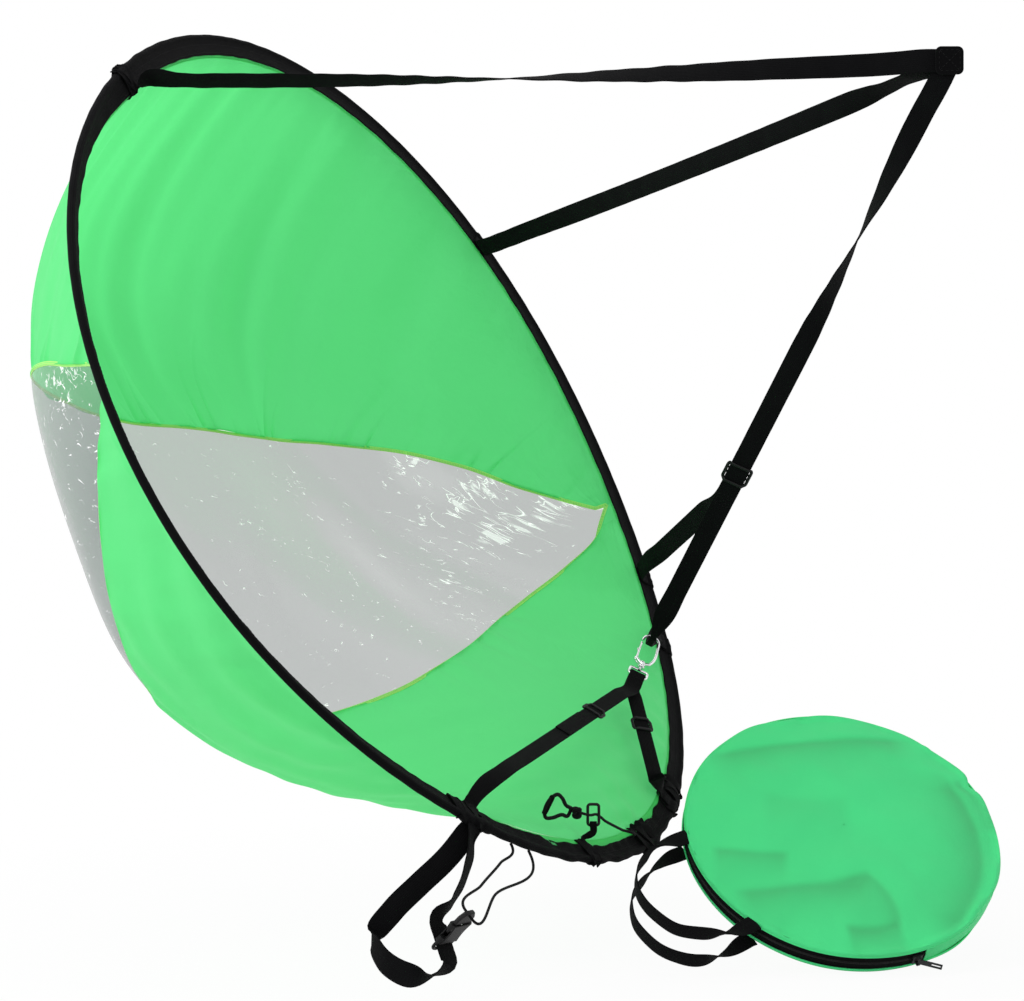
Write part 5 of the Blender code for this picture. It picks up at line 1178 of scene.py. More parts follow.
UPPER_TWISTS = ((0.05, 60), (0.14, 60), (0.30, 70), (0.42, 90), (0.60, 130), (0.80, 165), (0.93, 180))
MIDDLE_TWISTS = ((0.12, 40), (0.30, 15), (0.55, 10), (0.82, 30), (0.93, 80))


def hand_place(layer):
    return vec(HAND_POINT) - VIEW_FRONT * (WEBBING + CLEARANCE) * layer


def line_to_hand(name, node, angle, twists, layer, last_turn, lift=0.0):
    hand = hand_place(layer)
    rows, bend = sewn_end(angle, LINE_WIDTH, hand)
    along = unit(hand - bend)
    turn = math.radians(twists[0][1])
    rows.append((bend + WORLD_UP * lift, in_view(along, turn)))
    for share, degrees in twists:
        side = in_view(along, math.radians(degrees))
        place = hanging_place(bend, hand, share, LINE_SAG) + WORLD_UP * lift * max(0.0, 1 - share / 0.5)
        rows.append((place, side))
    flat = unit(VIEW_RIGHT * (along @ VIEW_RIGHT) + WORLD_UP * (along @ WORLD_UP))
    side = np.cross(VIEW_FRONT, flat) * last_turn
    if layer == 0:
        rows.append((hand - flat * PATCH_SIZE * 0.8, side))
    rows.append((hand, side))
    rows.append((hand + flat * LINE_END, side))
    finish_piece(band(name, rows, ripple=0.0005), "webbing", node)


HOOK_LEAN = unit(VIEW_RIGHT * -0.436 - WORLD_UP * 0.90)
HOOK_DOWN = HOOK_LEAN * math.cos(HOOK_TILT) + VIEW_FRONT * math.sin(HOOK_TILT)
HOOK_FRONT = VIEW_FRONT * math.cos(HOOK_TILT) - HOOK_LEAN * math.sin(HOOK_TILT)
HOOK_ACROSS = np.cross(HOOK_FRONT, HOOK_DOWN)
BAR_DROP = HOOK_WIRE + PINCH_THICKNESS / 2 + 4 * CLEARANCE
HOOK_TOP = vec(HOOK_POINT) - HOOK_DOWN * BAR_DROP
LOWER_END = vec(HOOK_POINT)
LOWER_ALONG = unit(LOWER_END - hand_place(1))
LOWER_LENGTH = np.linalg.norm(LOWER_END - hand_place(1))
LOWER_SIDE = unit(np.cross(VIEW_FRONT, LOWER_ALONG))
LOWER_FACE = np.cross(LOWER_ALONG, LOWER_SIDE)
LINE_BEHIND = (-LOWER_FACE if LOWER_FACE @ VIEW_FRONT > 0 else LOWER_FACE) * (WEBBING + CLEARANCE)


def lower_place(share):
    return hand_place(1) + LOWER_ALONG * LOWER_LENGTH * share


def toward(direction, other):
    return direction if direction @ other > 0 else -direction


def build_lines():
    for index, (name, angle, width) in enumerate((
        ("upper_anchor", UPPER_ANGLE, LINE_WIDTH), ("middle_anchor", MIDDLE_ANGLE, LINE_WIDTH),
        ("branch_anchor", BRANCH_ANGLE, LINE_WIDTH), ("lower_anchor", LOWER_ANGLE, LINE_WIDTH),
        ("port_anchor", PORT_ANGLE, PORT_ANCHOR_WIDTH), ("starboard_anchor", STARBOARD_ANGLE, LINE_WIDTH),
        ("foot_anchor", FOOT_ANGLE, FOOT_ANCHOR_WIDTH),
    )):
        build_anchor(name.replace("anchor", "fold"), name, angle, width, 60 + index)
    line_to_hand("line_upper", "upper_line", UPPER_ANGLE, UPPER_TWISTS, 0, -1, 0.009)
    line_to_hand("line_middle", "middle_line", MIDDLE_ANGLE, MIDDLE_TWISTS, 2, 1)

    hand = hand_place(1)
    flat = unit(VIEW_RIGHT * (LOWER_ALONG @ VIEW_RIGHT) + WORLD_UP * (LOWER_ALONG @ WORLD_UP))
    hand_side = -toward(np.cross(VIEW_FRONT, flat), LOWER_SIDE)
    rows = [(hand - flat * LINE_END * 0.5, hand_side), (hand + flat * PATCH_SIZE / 2, hand_side)]
    for share, facing in ((0.08, hand_side), (0.17, hand_side - LOWER_FACE), (0.26, -LOWER_FACE),
                          (0.36, LOWER_SIDE - LOWER_FACE), (0.46, LOWER_SIDE)):
        rows.append((lower_place(share), unit(facing)))
    for share in (0.55, 0.62, 0.70, 0.78, 0.84, 0.90, 0.955):
        rows.append((lower_place(share), LOWER_SIDE))
    for step in (1, -1):
        rows.append((LOWER_END + HOOK_FRONT * step * HOOK_WIRE, HOOK_ACROSS, PINCH_WIDTH, PINCH_THICKNESS))
    ends, bend = sewn_end(LOWER_ANGLE, LINE_WIDTH, LOWER_END)
    rows += sewn_rows(LOWER_ANGLE, HOOK_ACROSS, ends, bend)
    finish_piece(band("line_lower", rows, ripple=0.0004), "webbing", "lower_line")

    start = GLIDE_SHARE - GLIDE_LENGTH / LOWER_LENGTH
    rows = [(lower_place(share) + LINE_BEHIND, LOWER_SIDE)
            for share in (start, GLIDE_SHARE, JUNCTION_SHARE - JUNCTION_LEAD_SHARE, JUNCTION_SHARE)]
    ends, bend = sewn_end(BRANCH_ANGLE, LINE_WIDTH, lower_place(JUNCTION_SHARE))
    junction = rows[-1][0]
    side = unit(np.cross(VIEW_FRONT, bend - junction))
    for share in (0.25, 0.5, 0.75):
        rows.append((junction * (1 - share) + bend * share, side))
    rows += sewn_rows(BRANCH_ANGLE, side, ends, bend)
    finish_piece(band("line_branch", rows), "webbing", "branch_line")
    build_hand_corner()
    build_sewn_boxes()
    centre = lower_place(GLIDE_SHARE) + LINE_BEHIND / 2
    build_slide("line_slide", "tri_glide", "line_slide", centre, LOWER_ALONG, LOWER_SIDE, LINE_WIDTH,
                WEBBING + CLEARANCE / 2, GLIDE_LENGTH, GLIDE_RAIL)


def rounded_outline(half_x, half_y, corner, spacing=1.5 * MM):
    """A rectangle with round corners, as (x, y, outward x, outward y) at close steps."""
    rows = [vec(row) for row in round_corners(half_x, half_y, corner, 8)]
    rows.append(rows[0])
    result = []
    for here, there in zip(rows, rows[1:]):
        count = max(1, round(np.linalg.norm((there - here)[:2]) / spacing))
        result += [here + (there - here) * step / count for step in range(count)]
    return np.array(result)


def moulded_frame(name, outline, place, wide, thick, lift=0.0):
    """A moulded frame with round edges that follows an outline; place turns (x, y, height) into a point."""
    section = band_section(wide, thick)
    lift = np.broadcast_to(lift, len(outline))
    rings = [[place(x + out_x * across, y + out_y * across, height + up) for across, height in section]
             for (x, y, out_x, out_y), up in zip(outline, lift)]
    uvs = np.zeros((len(rings) + 1, len(section) + 1, 2))
    return grid(name, np.array(rings), uvs, wrap_rows=True, wrap_columns=True)


def build_slide(name, node, body, centre, along, side, width, half_gap, length, rail):
    """A moulded slide: its end bars cross in front of the webbing, its two inner bars behind."""
    face = toward(np.cross(along, side), VIEW_FRONT)

    def place(x, y, height):
        return centre + along * x + side * y + face * height

    wide = rail * 1.35
    half_x, half_y = length / 2 - 0.3 * wide, width / 2 + RUNNING + 0.5 * wide
    outline = rounded_outline(half_x, half_y, 4.5 * MM)
    over = np.clip((half_y - 0.3 * wide - np.abs(outline[:, 1])) / (3 * MM), 0, 1)
    lift = over * over * (3 - 2 * over) * (half_gap + RUNNING + 0.45 * rail)
    parts = [moulded_frame("slide_frame", outline, place, wide, rail * 0.85, lift)]
    depth = half_gap + RUNNING + 0.4 * rail
    for across in (-0.25, 0.25):
        route = [place(half_x * across, y, height) for y, height in (
            (-half_y, 0), (wide - half_y, -depth), (half_y - wide, -depth), (half_y, 0))]
        parts.append(tube("slide_bar", spline(route, 0.002), rail * 0.45, sides=12))
    finish_piece(join(name, parts), "plastic", node, body=body)


def build_hand_corner():
    """The sewn corner where the lines meet: a folded pad of webbing with rounded corners."""
    half, corner = PATCH_SIZE / 2, 0.006
    centre = hand_place(0) + VIEW_FRONT * (WEBBING / 2 + CLEARANCE + PATCH_THICKNESS / 2)
    rings = []
    for inset, height in ((0.9, -0.5), (0.25, -0.5), (0.0, -0.2), (0.0, 0.2), (0.25, 0.5), (0.9, 0.5)):
        rings.append([centre + VIEW_RIGHT * x + WORLD_UP * y + VIEW_FRONT * height * PATCH_THICKNESS
                      for x, y, _, _ in round_corners(half, half, corner, 6, inset * MM)])
    rings = np.array(rings)
    local = np.stack([(rings - centre) @ VIEW_RIGHT, (rings - centre) @ WORLD_UP], -1)
    uvs = np.concatenate([local, local[:, :1]], axis=1)
    made = grid("hand_corner", rings, uvs, wrap_columns=True, caps=True)
    finish_piece(made, "webbing", "hand_patch")
    face = centre + VIEW_FRONT * PATCH_THICKNESS / 2
    runs = box_runs(face, WORLD_UP, VIEW_RIGHT, VIEW_FRONT, PATCH_SIZE * 0.74, PATCH_SIZE * 0.74)
    finish_piece(stitches("hand_corner_stitches", runs), "thread_black")


# A sewn box on an anchor: its length, and how much narrower than the webbing it is
BOX_LENGTH = 9 * MM
BOX_INSET = 6 * MM


def build_sewn_boxes():
    """Sewn boxes on each anchor, on the ends of the lines and where the lower line divides."""
    runs = []
    height = ANCHOR_FACE + 1.5 * CLEARANCE + WEBBING
    middle = (LEG_BEND + FOLD_EDGE) / 2
    sewn = [(angle, LINE_WIDTH) for angle in (UPPER_ANGLE, MIDDLE_ANGLE, BRANCH_ANGLE, LOWER_ANGLE)]
    sewn += [(PORT_ANGLE, STRAP_WIDTH), (STARBOARD_ANGLE, STRAP_WIDTH)]
    for angle, width in sewn:
        outward, tangent = unit(outward_at(angle)), hoop_tangent(angle)
        for face, level in ((RING_AXIS, height), (-RING_AXIS, -ANCHOR_FACE)):
            centre = hoop_place(angle, middle, level)
            runs += box_runs(centre, outward, tangent, face, BOX_LENGTH, width - BOX_INSET)
    front = toward(LOWER_FACE, VIEW_FRONT)
    centre = lower_place(JUNCTION_SHARE + 0.02) + front * WEBBING / 2
    runs += box_runs(centre, LOWER_ALONG, LOWER_SIDE, front, 16 * MM, LINE_WIDTH - BOX_INSET)
    finish_piece(stitches("line_stitches", runs), "thread_black")


# Snap hook

def hook_place(across, down, front=0.0):
    return HOOK_TOP + HOOK_ACROSS * across + HOOK_DOWN * down + HOOK_FRONT * front


HALF_WINDOW = HOOK_WINDOW / 2 + HOOK_WIRE
COLLAR_END = HOOK_LENGTH + COLLAR_LENGTH
GATE_PIVOT = (-HALF_WINDOW + GATE_RADIUS, HOOK_LENGTH - GATE_KNUCKLE)
EYE_WIDTH = STRAP_WIDTH + 2 * CLEARANCE
EYE_TOP = COLLAR_END + EYE_WIRE + 4 * RUNNING
EYE_BAR = EYE_TOP + EYE_HEIGHT
EYE_SIDE_HALF = EYE_WIDTH / 2 + EYE_WIRE


def build_hook():
    route = [hook_place(0, HOOK_LENGTH + 0.4 * COLLAR_LENGTH),
             hook_place(COLLAR_RADIUS * 0.55, HOOK_LENGTH + 0.1 * COLLAR_LENGTH),
             hook_place(HALF_WINDOW * 0.80, HOOK_LENGTH - HOOK_WIRE),
             hook_place(HALF_WINDOW, HOOK_LENGTH - 3 * HOOK_WIRE)]
    for step in range(13):
        angle = math.pi * step / 12
        route.append(hook_place(HALF_WINDOW * math.cos(angle), HALF_WINDOW * (1 - math.sin(angle) ** 0.8)))
    places = spline(route, 0.0009)
    share = np.linspace(0, 1, len(places))
    swell = 1.0 + 0.16 * np.exp(-((share - 0.35) / 0.18) ** 2) - 0.12 * np.clip((share - 0.9) / 0.1, 0, 1)
    body = tube("hook_wire", places, HOOK_WIRE * swell, sides=20)
    radius = COLLAR_RADIUS
    profile = [(0.0, radius * 0.62), (0.0004, radius * 0.86), (0.0012, radius), (0.0024, radius),
               (0.0032, radius * 0.80), (0.0042, radius * 0.74), (0.0050, radius * 0.82), (0.0058, radius),
               (0.0070, radius), (0.0077, radius * 0.85), (0.0080, radius * 0.62)]
    collar = turned("hook_collar", hook_place(0, HOOK_LENGTH), HOOK_DOWN, profile)
    across, down = GATE_PIVOT
    lug_out = GATE_RADIUS + RUNNING + 0.0012
    lugs = []
    for side in (-1, 1):
        route = spline([hook_place(across, down, side * (lug_out - 0.0006)),
                        hook_place(across * 0.5, down + 0.0035, side * 0.0022),
                        hook_place(0, HOOK_LENGTH + 0.003, side * 0.0018)], 0.0012)
        lugs.append(tube("hook_lug", route, np.linspace(0.0019, 0.0024, len(route))))
    body = join("hook_casting", [body, collar, *lugs])
    finish_piece(body, "plated", "hook_body", body="snap_hook")

    nose = HALF_WINDOW + GATE_RADIUS + 2 * RUNNING
    tip = hook_place(-HALF_WINDOW, nose)
    foot = hook_place(across, down)
    shares = np.linspace(0, 1, 24)
    places = tip * (1 - shares[:, None]) + foot * shares[:, None]
    radii = GATE_RADIUS * np.interp(shares, (0, 0.05, 0.12, 0.2, 0.9, 1), (0.6, 1.15, 1.15, 0.85, 1.15, 1.3))
    bar = tube("gate_bar", places, radii, sides=16)
    knuckle = turned("gate_knuckle", hook_place(across, down, -GATE_RADIUS), HOOK_FRONT,
                     [(0, GATE_KNUCKLE * 0.8), (0.0003, GATE_KNUCKLE),
                      (2 * GATE_RADIUS - 0.0003, GATE_KNUCKLE), (2 * GATE_RADIUS, GATE_KNUCKLE * 0.8)])
    route = [hook_place(across - out, down - rise)
             for out, rise in ((0.0010, 0.010), (0.0023, 0.013), (0.0028, 0.0155))]
    thumb = tube("gate_thumb", route, [0.0009, 0.0012, 0.0008], sides=12)
    gate = join("gate_casting", [bar, knuckle, thumb])
    finish_piece(gate, "plated", "hook_gate", body="gate")
    rounded("gate_pin", 0.15 * MM, "plated", 1)

    top = HOOK_LENGTH - RUNNING - RIVET_HEIGHT
    length = EYE_TOP - top + EYE_WIRE * 0.4
    profile = [(0, RIVET_RADIUS * 0.55), (0.0005, RIVET_RADIUS * 0.95), (0.0010, RIVET_RADIUS),
               (RIVET_HEIGHT, RIVET_RADIUS), (RIVET_HEIGHT + 0.0001, STEM_RADIUS), (length, STEM_RADIUS)]
    stem = turned("eye_stem", hook_place(0, top), HOOK_DOWN, profile)
    boss = turned("eye_boss", hook_place(0, EYE_TOP - EYE_WIRE * 0.9), HOOK_DOWN,
                  [(0, STEM_RADIUS), (0.0004, 0.0026), (0.0016, 0.0030), (EYE_WIRE * 1.6, 0.0020)])
    corner = EYE_WIRE * 1.6
    loop = []
    for x, y, turn in ((EYE_SIDE_HALF, EYE_TOP, 0), (EYE_SIDE_HALF, EYE_BAR, 1),
                       (-EYE_SIDE_HALF, EYE_BAR, 2), (-EYE_SIDE_HALF, EYE_TOP, 3)):
        for step in range(7):
            angle = math.tau / 4 * (turn - 1 + step / 6)
            inner_x = x - math.copysign(corner, x)
            inner_y = y + (corner if y == EYE_TOP else -corner)
            loop.append(hook_place(inner_x + corner * math.cos(angle), inner_y + corner * math.sin(angle)))
    ring = tube("eye_ring", loop, EYE_WIRE, sides=20, closed=True)
    eye = join("eye_casting", [ring, stem, boss])
    finish_piece(eye, "plated", "swivel_eye")


# Deck straps

INNER_LOOP = EYE_WIRE + CLEARANCE + WEBBING / 2
OUTER_LOOP = INNER_LOOP + WEBBING + CLEARANCE
# How fast the port strap leaves the starboard one below the eye
PORT_SPREAD = 0.25


def build_strap(name, node, loop_radius, spread, anchor_angle, knee, adjuster_share):
    rows = []
    for drop in (EYE_TAIL, EYE_TAIL / 2):
        rows.append((hook_place(0, EYE_BAR + drop, -loop_radius), HOOK_ACROSS))
    for step in range(7):
        angle = math.pi * step / 6
        place = hook_place(0, EYE_BAR - loop_radius * math.sin(angle), -loop_radius * math.cos(angle))
        rows.append((place, HOOK_ACROSS))
    for drop in (EYE_TAIL / 2, EYE_TAIL):
        place = hook_place(0, EYE_BAR + drop, loop_radius + spread * drop)
        rows.append((place, HOOK_ACROSS))
    start = rows[-1][0]
    knee = vec(knee)
    along = unit(knee - start)
    side = unit(HOOK_ACROSS - along * (HOOK_ACROSS @ along))
    for share in (0.12, 0.22, adjuster_share, 0.60, 0.75, 0.88, 1.0):
        rows.append((start * (1 - share) + knee * share, side))
    ends, bend = sewn_end(anchor_angle, STRAP_WIDTH, knee)
    rows += sewn_rows(anchor_angle, side, ends, bend)
    finish_piece(band(name, rows, spacing=0.004, width=STRAP_WIDTH), "webbing", node)
    return start * (1 - adjuster_share) + knee * adjuster_share, along, side


def build_straps():
    centre, along, side = build_strap("strap_starboard", "starboard_strap", INNER_LOOP, 0, STARBOARD_ANGLE,
                                      STARBOARD_KNEE, STARBOARD_ADJUSTER_SHARE)
    build_slide("slide_starboard", "starboard_adjuster", "starboard_slide", centre, along, side, STRAP_WIDTH,
                WEBBING / 2, ADJUSTER_LENGTH, ADJUSTER_RAIL)
    centre, along, side = build_strap("strap_port", "port_strap", OUTER_LOOP, PORT_SPREAD, PORT_ANGLE,
                                      PORT_KNEE, PORT_ADJUSTER_SHARE)
    build_slide("slide_port", "port_adjuster", "port_slide", centre, along, side, STRAP_WIDTH, WEBBING / 2,
                ADJUSTER_LENGTH, ADJUSTER_RAIL)
    face = toward(np.cross(along, side), VIEW_FRONT)
    off = face * (WEBBING + CLEARANCE)
    begin = centre + along * (ADJUSTER_LENGTH / 2 + ADJUSTER_TRAVEL + CLEARANCE)
    rows = [(begin + off + along * STRAP_TAIL * step / 3, side) for step in range(4)]
    finish_piece(band("strap_tail", rows, spacing=0.003, width=STRAP_WIDTH), "webbing", "port_strap_tail")
    runs = []
    for reach in (10 * MM, STRAP_TAIL - 10 * MM):
        spot = begin + off + along * reach + face * WEBBING / 2
        runs += box_runs(spot, along, side, face, 14 * MM, STRAP_WIDTH - 5 * MM)
    reach = 0.62 * EYE_TAIL
    spot = hook_place(0, EYE_BAR + reach, OUTER_LOOP + PORT_SPREAD * reach + WEBBING / 2)
    runs += box_runs(spot, HOOK_DOWN, HOOK_ACROSS, HOOK_FRONT, 9 * MM, STRAP_WIDTH - 5 * MM, cross=False)
    finish_piece(stitches("strap_stitches", runs), "thread_black")


# Lashing loop and its buckle

LOOP_LEVEL = -toward(unit(hoop_tangent(PORT_ANGLE) * vec((1, 1, 0))), VIEW_RIGHT)
LOOP_DEEP = -toward(np.cross(WORLD_UP, LOOP_LEVEL), VIEW_RIGHT)
LOOP_HEAD = (hoop_place(PORT_ANGLE, ROD_OFFSET + NOSE_RADIUS + 2 * CLEARANCE + WEBBING, 0, leaning=False)
             - WORLD_UP * 2 * MM)


def loop_place(level, deep, down):
    return LOOP_HEAD + (LOOP_LEVEL * level + LOOP_DEEP * deep - WORLD_UP * down) * LOOP_DROP


SOCKET = loop_place(*SOCKET_SHARES)
SOCKET_SIDE = unit(VIEW_FRONT * 0.8 - VIEW_RIGHT * 0.6)
SOCKET_ALONG = unit(VIEW_FRONT * 0.424 + VIEW_RIGHT * 0.566 + WORLD_UP * 0.707)
SOCKET_FACE = toward(np.cross(SOCKET_ALONG, SOCKET_SIDE), WORLD_UP)
CAVITY_HALF = BUCKLE_THICKNESS / 2 - BUCKLE_WALL
INSERT_END = 0.0030 + BUCKLE_WALL + SOCKET_LENGTH + RUNNING + INSERT_LENGTH
HOLE_MIDDLE = INSERT_END - BUCKLE_WALL - CORD_RADIUS - RUNNING


def build_cord(name, route, radius, nodes, slot="cord"):
    """A braided cord on a smooth curve, and its length."""
    places = spline(route, 2.0 * radius)
    curve = bpy.data.curves.new(name, "CURVE")
    curve.dimensions = "3D"
    curve.bevel_depth = radius
    curve.bevel_resolution = 4
    curve.use_fill_caps = True
    path = curve.splines.new("POLY")
    path.points.add(len(places) - 1)
    for point, place in zip(path.points, places):
        point.co = (*place, 1.0)
    made = placed(name, curve)
    finish_piece(made, "cord", *nodes, slot=slot)
    return made, places[0], float(run_along(places)[-1])


def build_cords():
    """The lashing cord and the tether, first of all the pieces."""
    hole = SOCKET + SOCKET_ALONG * HOLE_MIDDLE
    deep = SOCKET_FACE * (CAVITY_HALF + 0.004)
    reach = SLEEVE_WIDTH / 2 + 5 * CLEARANCE
    first, last = [hoop_place(tie, reach, 0, leaning=False) for tie in LASHING_TIE_ANGLES]
    route = [first, first - RING_UP * 0.004, first * 0.75 + hole * 0.25 - WORLD_UP * 0.003,
             first * 0.35 + (hole + deep) * 0.65, hole + deep, hole, hole - deep,
             (hole - deep) * 0.6 + last * 0.4 - WORLD_UP * 0.004, last - RING_UP * 0.006, last]
    made, start, length = build_cord("lashing", route, CORD_RADIUS, ["lashing_cord"])

    ring, knot = vec(RING_PLACE), vec(KNOT_PLACE)
    end = hoop_place(TETHER_END_ANGLE, -SLEEVE_WIDTH / 4, LEG_OUTER + 1.5 * CLEARANCE, leaning=False)
    lifted = end + RING_AXIS * 3 * TETHER_RADIUS
    weave = RING_WIDTH / 2 - RING_BAR - TETHER_RADIUS - RUNNING
    entry = ring - VIEW_RIGHT * weave + VIEW_FRONT * 0.004
    begin = knot + unit(entry - knot) * (KNOT_RADIUS + 1.5 * CLEARANCE)
    route = [begin, entry, ring + VIEW_RIGHT * weave - VIEW_FRONT * 0.004, ring * 0.7 + lifted * 0.3,
             ring * 0.3 + lifted * 0.7, lifted, end]
    tether, _, length = build_cord("tether", route[::-1], TETHER_RADIUS, ["foot_cord"])
    knotted = build_knot(knot)
    eye = build_cord_eye(knot)


def build_knot(knot):
    """An overhand knot: the cord's turns drawn up into a lump."""
    route = []
    for step in range(49):
        t = math.tau * step / 48
        across = 0.0026 * (math.sin(t) + 1.1 * math.sin(2 * t))
        up = 0.0026 * (math.cos(t) - 1.1 * math.cos(2 * t))
        deep = -0.0030 * math.sin(3 * t)
        route.append(knot + VIEW_RIGHT * deep + WORLD_UP * up + VIEW_FRONT * across)
    made = tube("tether_knot", route[:-1], TETHER_RADIUS * 1.7, sides=12, closed=True)
    return finish_piece(made, "cord", "foot_knot")


def build_cord_eye(knot):
    """The tether's end loop, with a short sleeve of tape round it."""
    eye = vec(CORD_EYE_PLACE)
    head = knot - VIEW_RIGHT * (KNOT_RADIUS + TETHER_RADIUS + 3 * CLEARANCE)
    span = np.linalg.norm(eye - head)
    lengthwise = unit(eye - head)
    crosswise = unit(np.cross(lengthwise, VIEW_FRONT))
    shape = [(0.0, 0.10), (0.25, 0.12), (0.55, 0.26), (0.80, 0.30), (0.95, 0.18), (1.0, 0.0),
             (0.95, -0.18), (0.80, -0.30), (0.55, -0.26), (0.25, -0.12), (0.0, -0.10)]
    route = [head + lengthwise * span * a + crosswise * span * b for a, b in shape]
    smooth = spline([*route, route[0]], 0.002)[:-1]
    loop = tube("tether_eye", smooth, TETHER_RADIUS * 1.35, sides=12, closed=True)
    finish_piece(loop, "cord", "foot_cord_loop")
    middle = head + lengthwise * span * 0.93
    half = crosswise * span * 0.24
    swell = np.interp(np.linspace(0, 1, 12), (0, 0.1, 0.9, 1), (1.6, 2.0, 2.0, 1.6))
    sleeve = tube("tether_eye_sleeve", line_between(middle - half, middle + half, 12), TETHER_RADIUS * swell,
                  sides=14)
    finish_piece(sleeve, "sleeve")
    return loop


def build_lashing():
    tangent = toward(hoop_tangent(PORT_ANGLE), LOOP_LEVEL)
    rows = []
    down_left = unit(loop_place(0.71, 0.179, 0.55) - LOOP_HEAD)
    facing = unit(np.cross(VIEW_FRONT, down_left))
    for level, deep, down, upright in LOOP_START:
        side = facing if level < 0.8 and deep > 0 else unit(tangent * (1 - upright) - WORLD_UP * upright)
        rows.append((loop_place(level, deep, down), side))
    rows.insert(0, (loop_place(0.04, 0.0, -0.05), tangent))
    through = unit(WORLD_UP + SOCKET_FACE)
    side = toward(SOCKET_SIDE, tangent)
    for reach in (-0.020, -0.010, 0.010, 0.020):
        rows.append((SOCKET + through * reach, side))
    for level, deep, down, upright in LOOP_END:
        side = unit(VIEW_FRONT * (0.5 + upright) + tangent * 0.3)
        rows.append((loop_place(level, deep, down), side))
    rows.append((loop_place(0.02, 0.0, -0.05), tangent))
    finish_piece(band("lashing_band", rows, spacing=0.004, ripple=0.0004, seed=5), "webbing", "lashing_loop")
    build_buckle()


def moulding(name, outline, thick, place):
    """A flat moulding with softened edges from its outline, along and across."""
    outline = np.array(outline)
    centre = outline.mean(axis=0)
    rings = []
    for inset, level in ((1.6, -0.5), (0.5, -0.47), (0.0, -0.25), (0.0, 0.25), (0.5, 0.47), (1.6, 0.5)):
        away = outline - centre
        size_of = np.linalg.norm(away, axis=1)[:, None]
        ring = centre + away * (1 - inset * MM / size_of)
        rings.append([place(a, b, level * thick) for a, b in ring])
    uvs = np.zeros((len(rings), len(outline) + 1, 2))
    return grid(name, np.array(rings), uvs, wrap_columns=True, caps=True)


def build_buckle():
    """A side-release buckle: a flared socket with a webbing slot, and an insert with two curved prongs."""
    def place(along, across, face=0.0):
        return SOCKET + SOCKET_ALONG * along + SOCKET_SIDE * across + SOCKET_FACE * face

    half = LINE_WIDTH / 2 + RUNNING + BUCKLE_WALL
    start = SLOT_HALF + BUCKLE_WALL
    end = start + SOCKET_LENGTH
    shares = np.linspace(0, 1, 9)
    waist = half * (0.94 - 0.16 * np.sin(np.pi * shares))
    upper = [(start + SOCKET_LENGTH * s, w) for s, w in zip(shares, waist)]
    outline = spline([(a, b, 0) for a, b in upper], 0.0015)[:, :2]
    outline = [*outline, *[(a, -b) for a, b in outline[::-1]]]
    shells = []
    for level in (BUCKLE_WALL / 2 - BUCKLE_THICKNESS / 2, BUCKLE_THICKNESS / 2 - BUCKLE_WALL / 2):
        shells.append(moulding("socket_shell", outline, BUCKLE_WALL * 1.1,
                               lambda a, b, c, level=level: place(a, b, level + c)))
    for sign in (-1, 1):
        for first, last in ((start, start + 0.30 * SOCKET_LENGTH), (end - 0.26 * SOCKET_LENGTH, end)):
            route = [place(reach, sign * half * 0.86) for reach in (first, last)]
            shells.append(tube("socket_side", route, BUCKLE_THICKNESS * 0.42, sides=12))
    rim = [(-SLOT_HALF - SLOT_BAR / 2, -half * 0.85), (-SLOT_HALF - SLOT_BAR / 2, half * 0.85),
           (-SLOT_HALF, half * 0.97), (start, half * 0.94), (start + 2 * MM, half * 0.5),
           (start + 2 * MM, -half * 0.5), (start, -half * 0.94), (-SLOT_HALF, -half * 0.97)]
    path = spline([(*place(a, b), 0) for a, b in [*rim, rim[0]]], 0.002)[:-1, :3]
    shells.append(tube("socket_slot", path, SLOT_BAR * 0.46, sides=12, closed=True))
    finish_piece(join("buckle_shell", shells), "plastic", "buckle_socket")

    base = end + RUNNING
    reach = half - BUCKLE_WALL - RUNNING
    plate = [(base, reach), (base + 9 * MM, reach * 0.92), (INSERT_END, reach * 0.5)]
    plate = [(a, -b) for a, b in plate] + plate[::-1]
    parts = [moulding("insert_plate", plate, BUCKLE_THICKNESS * 0.62, place)]
    for sign in (-1, 1):
        prong = [place(base + 1 * MM, sign * reach * 0.8), place(base - 6 * MM, sign * reach * 0.84),
                 place(base - 11 * MM, sign * reach * 0.98), place(base - 14 * MM, sign * reach * 0.72)]
        parts.append(tube("insert_prong", spline(prong, 0.001), 1.7 * MM, sides=10))
    tongue = [place(base + 1 * MM, 0), place(base - 13 * MM, 0)]
    parts.append(tube("insert_tongue", tongue, 1.5 * MM, sides=10))
    finish_piece(join("buckle_tongue", parts), "plastic", "buckle_insert", body="insert")


# Foot of the hoop

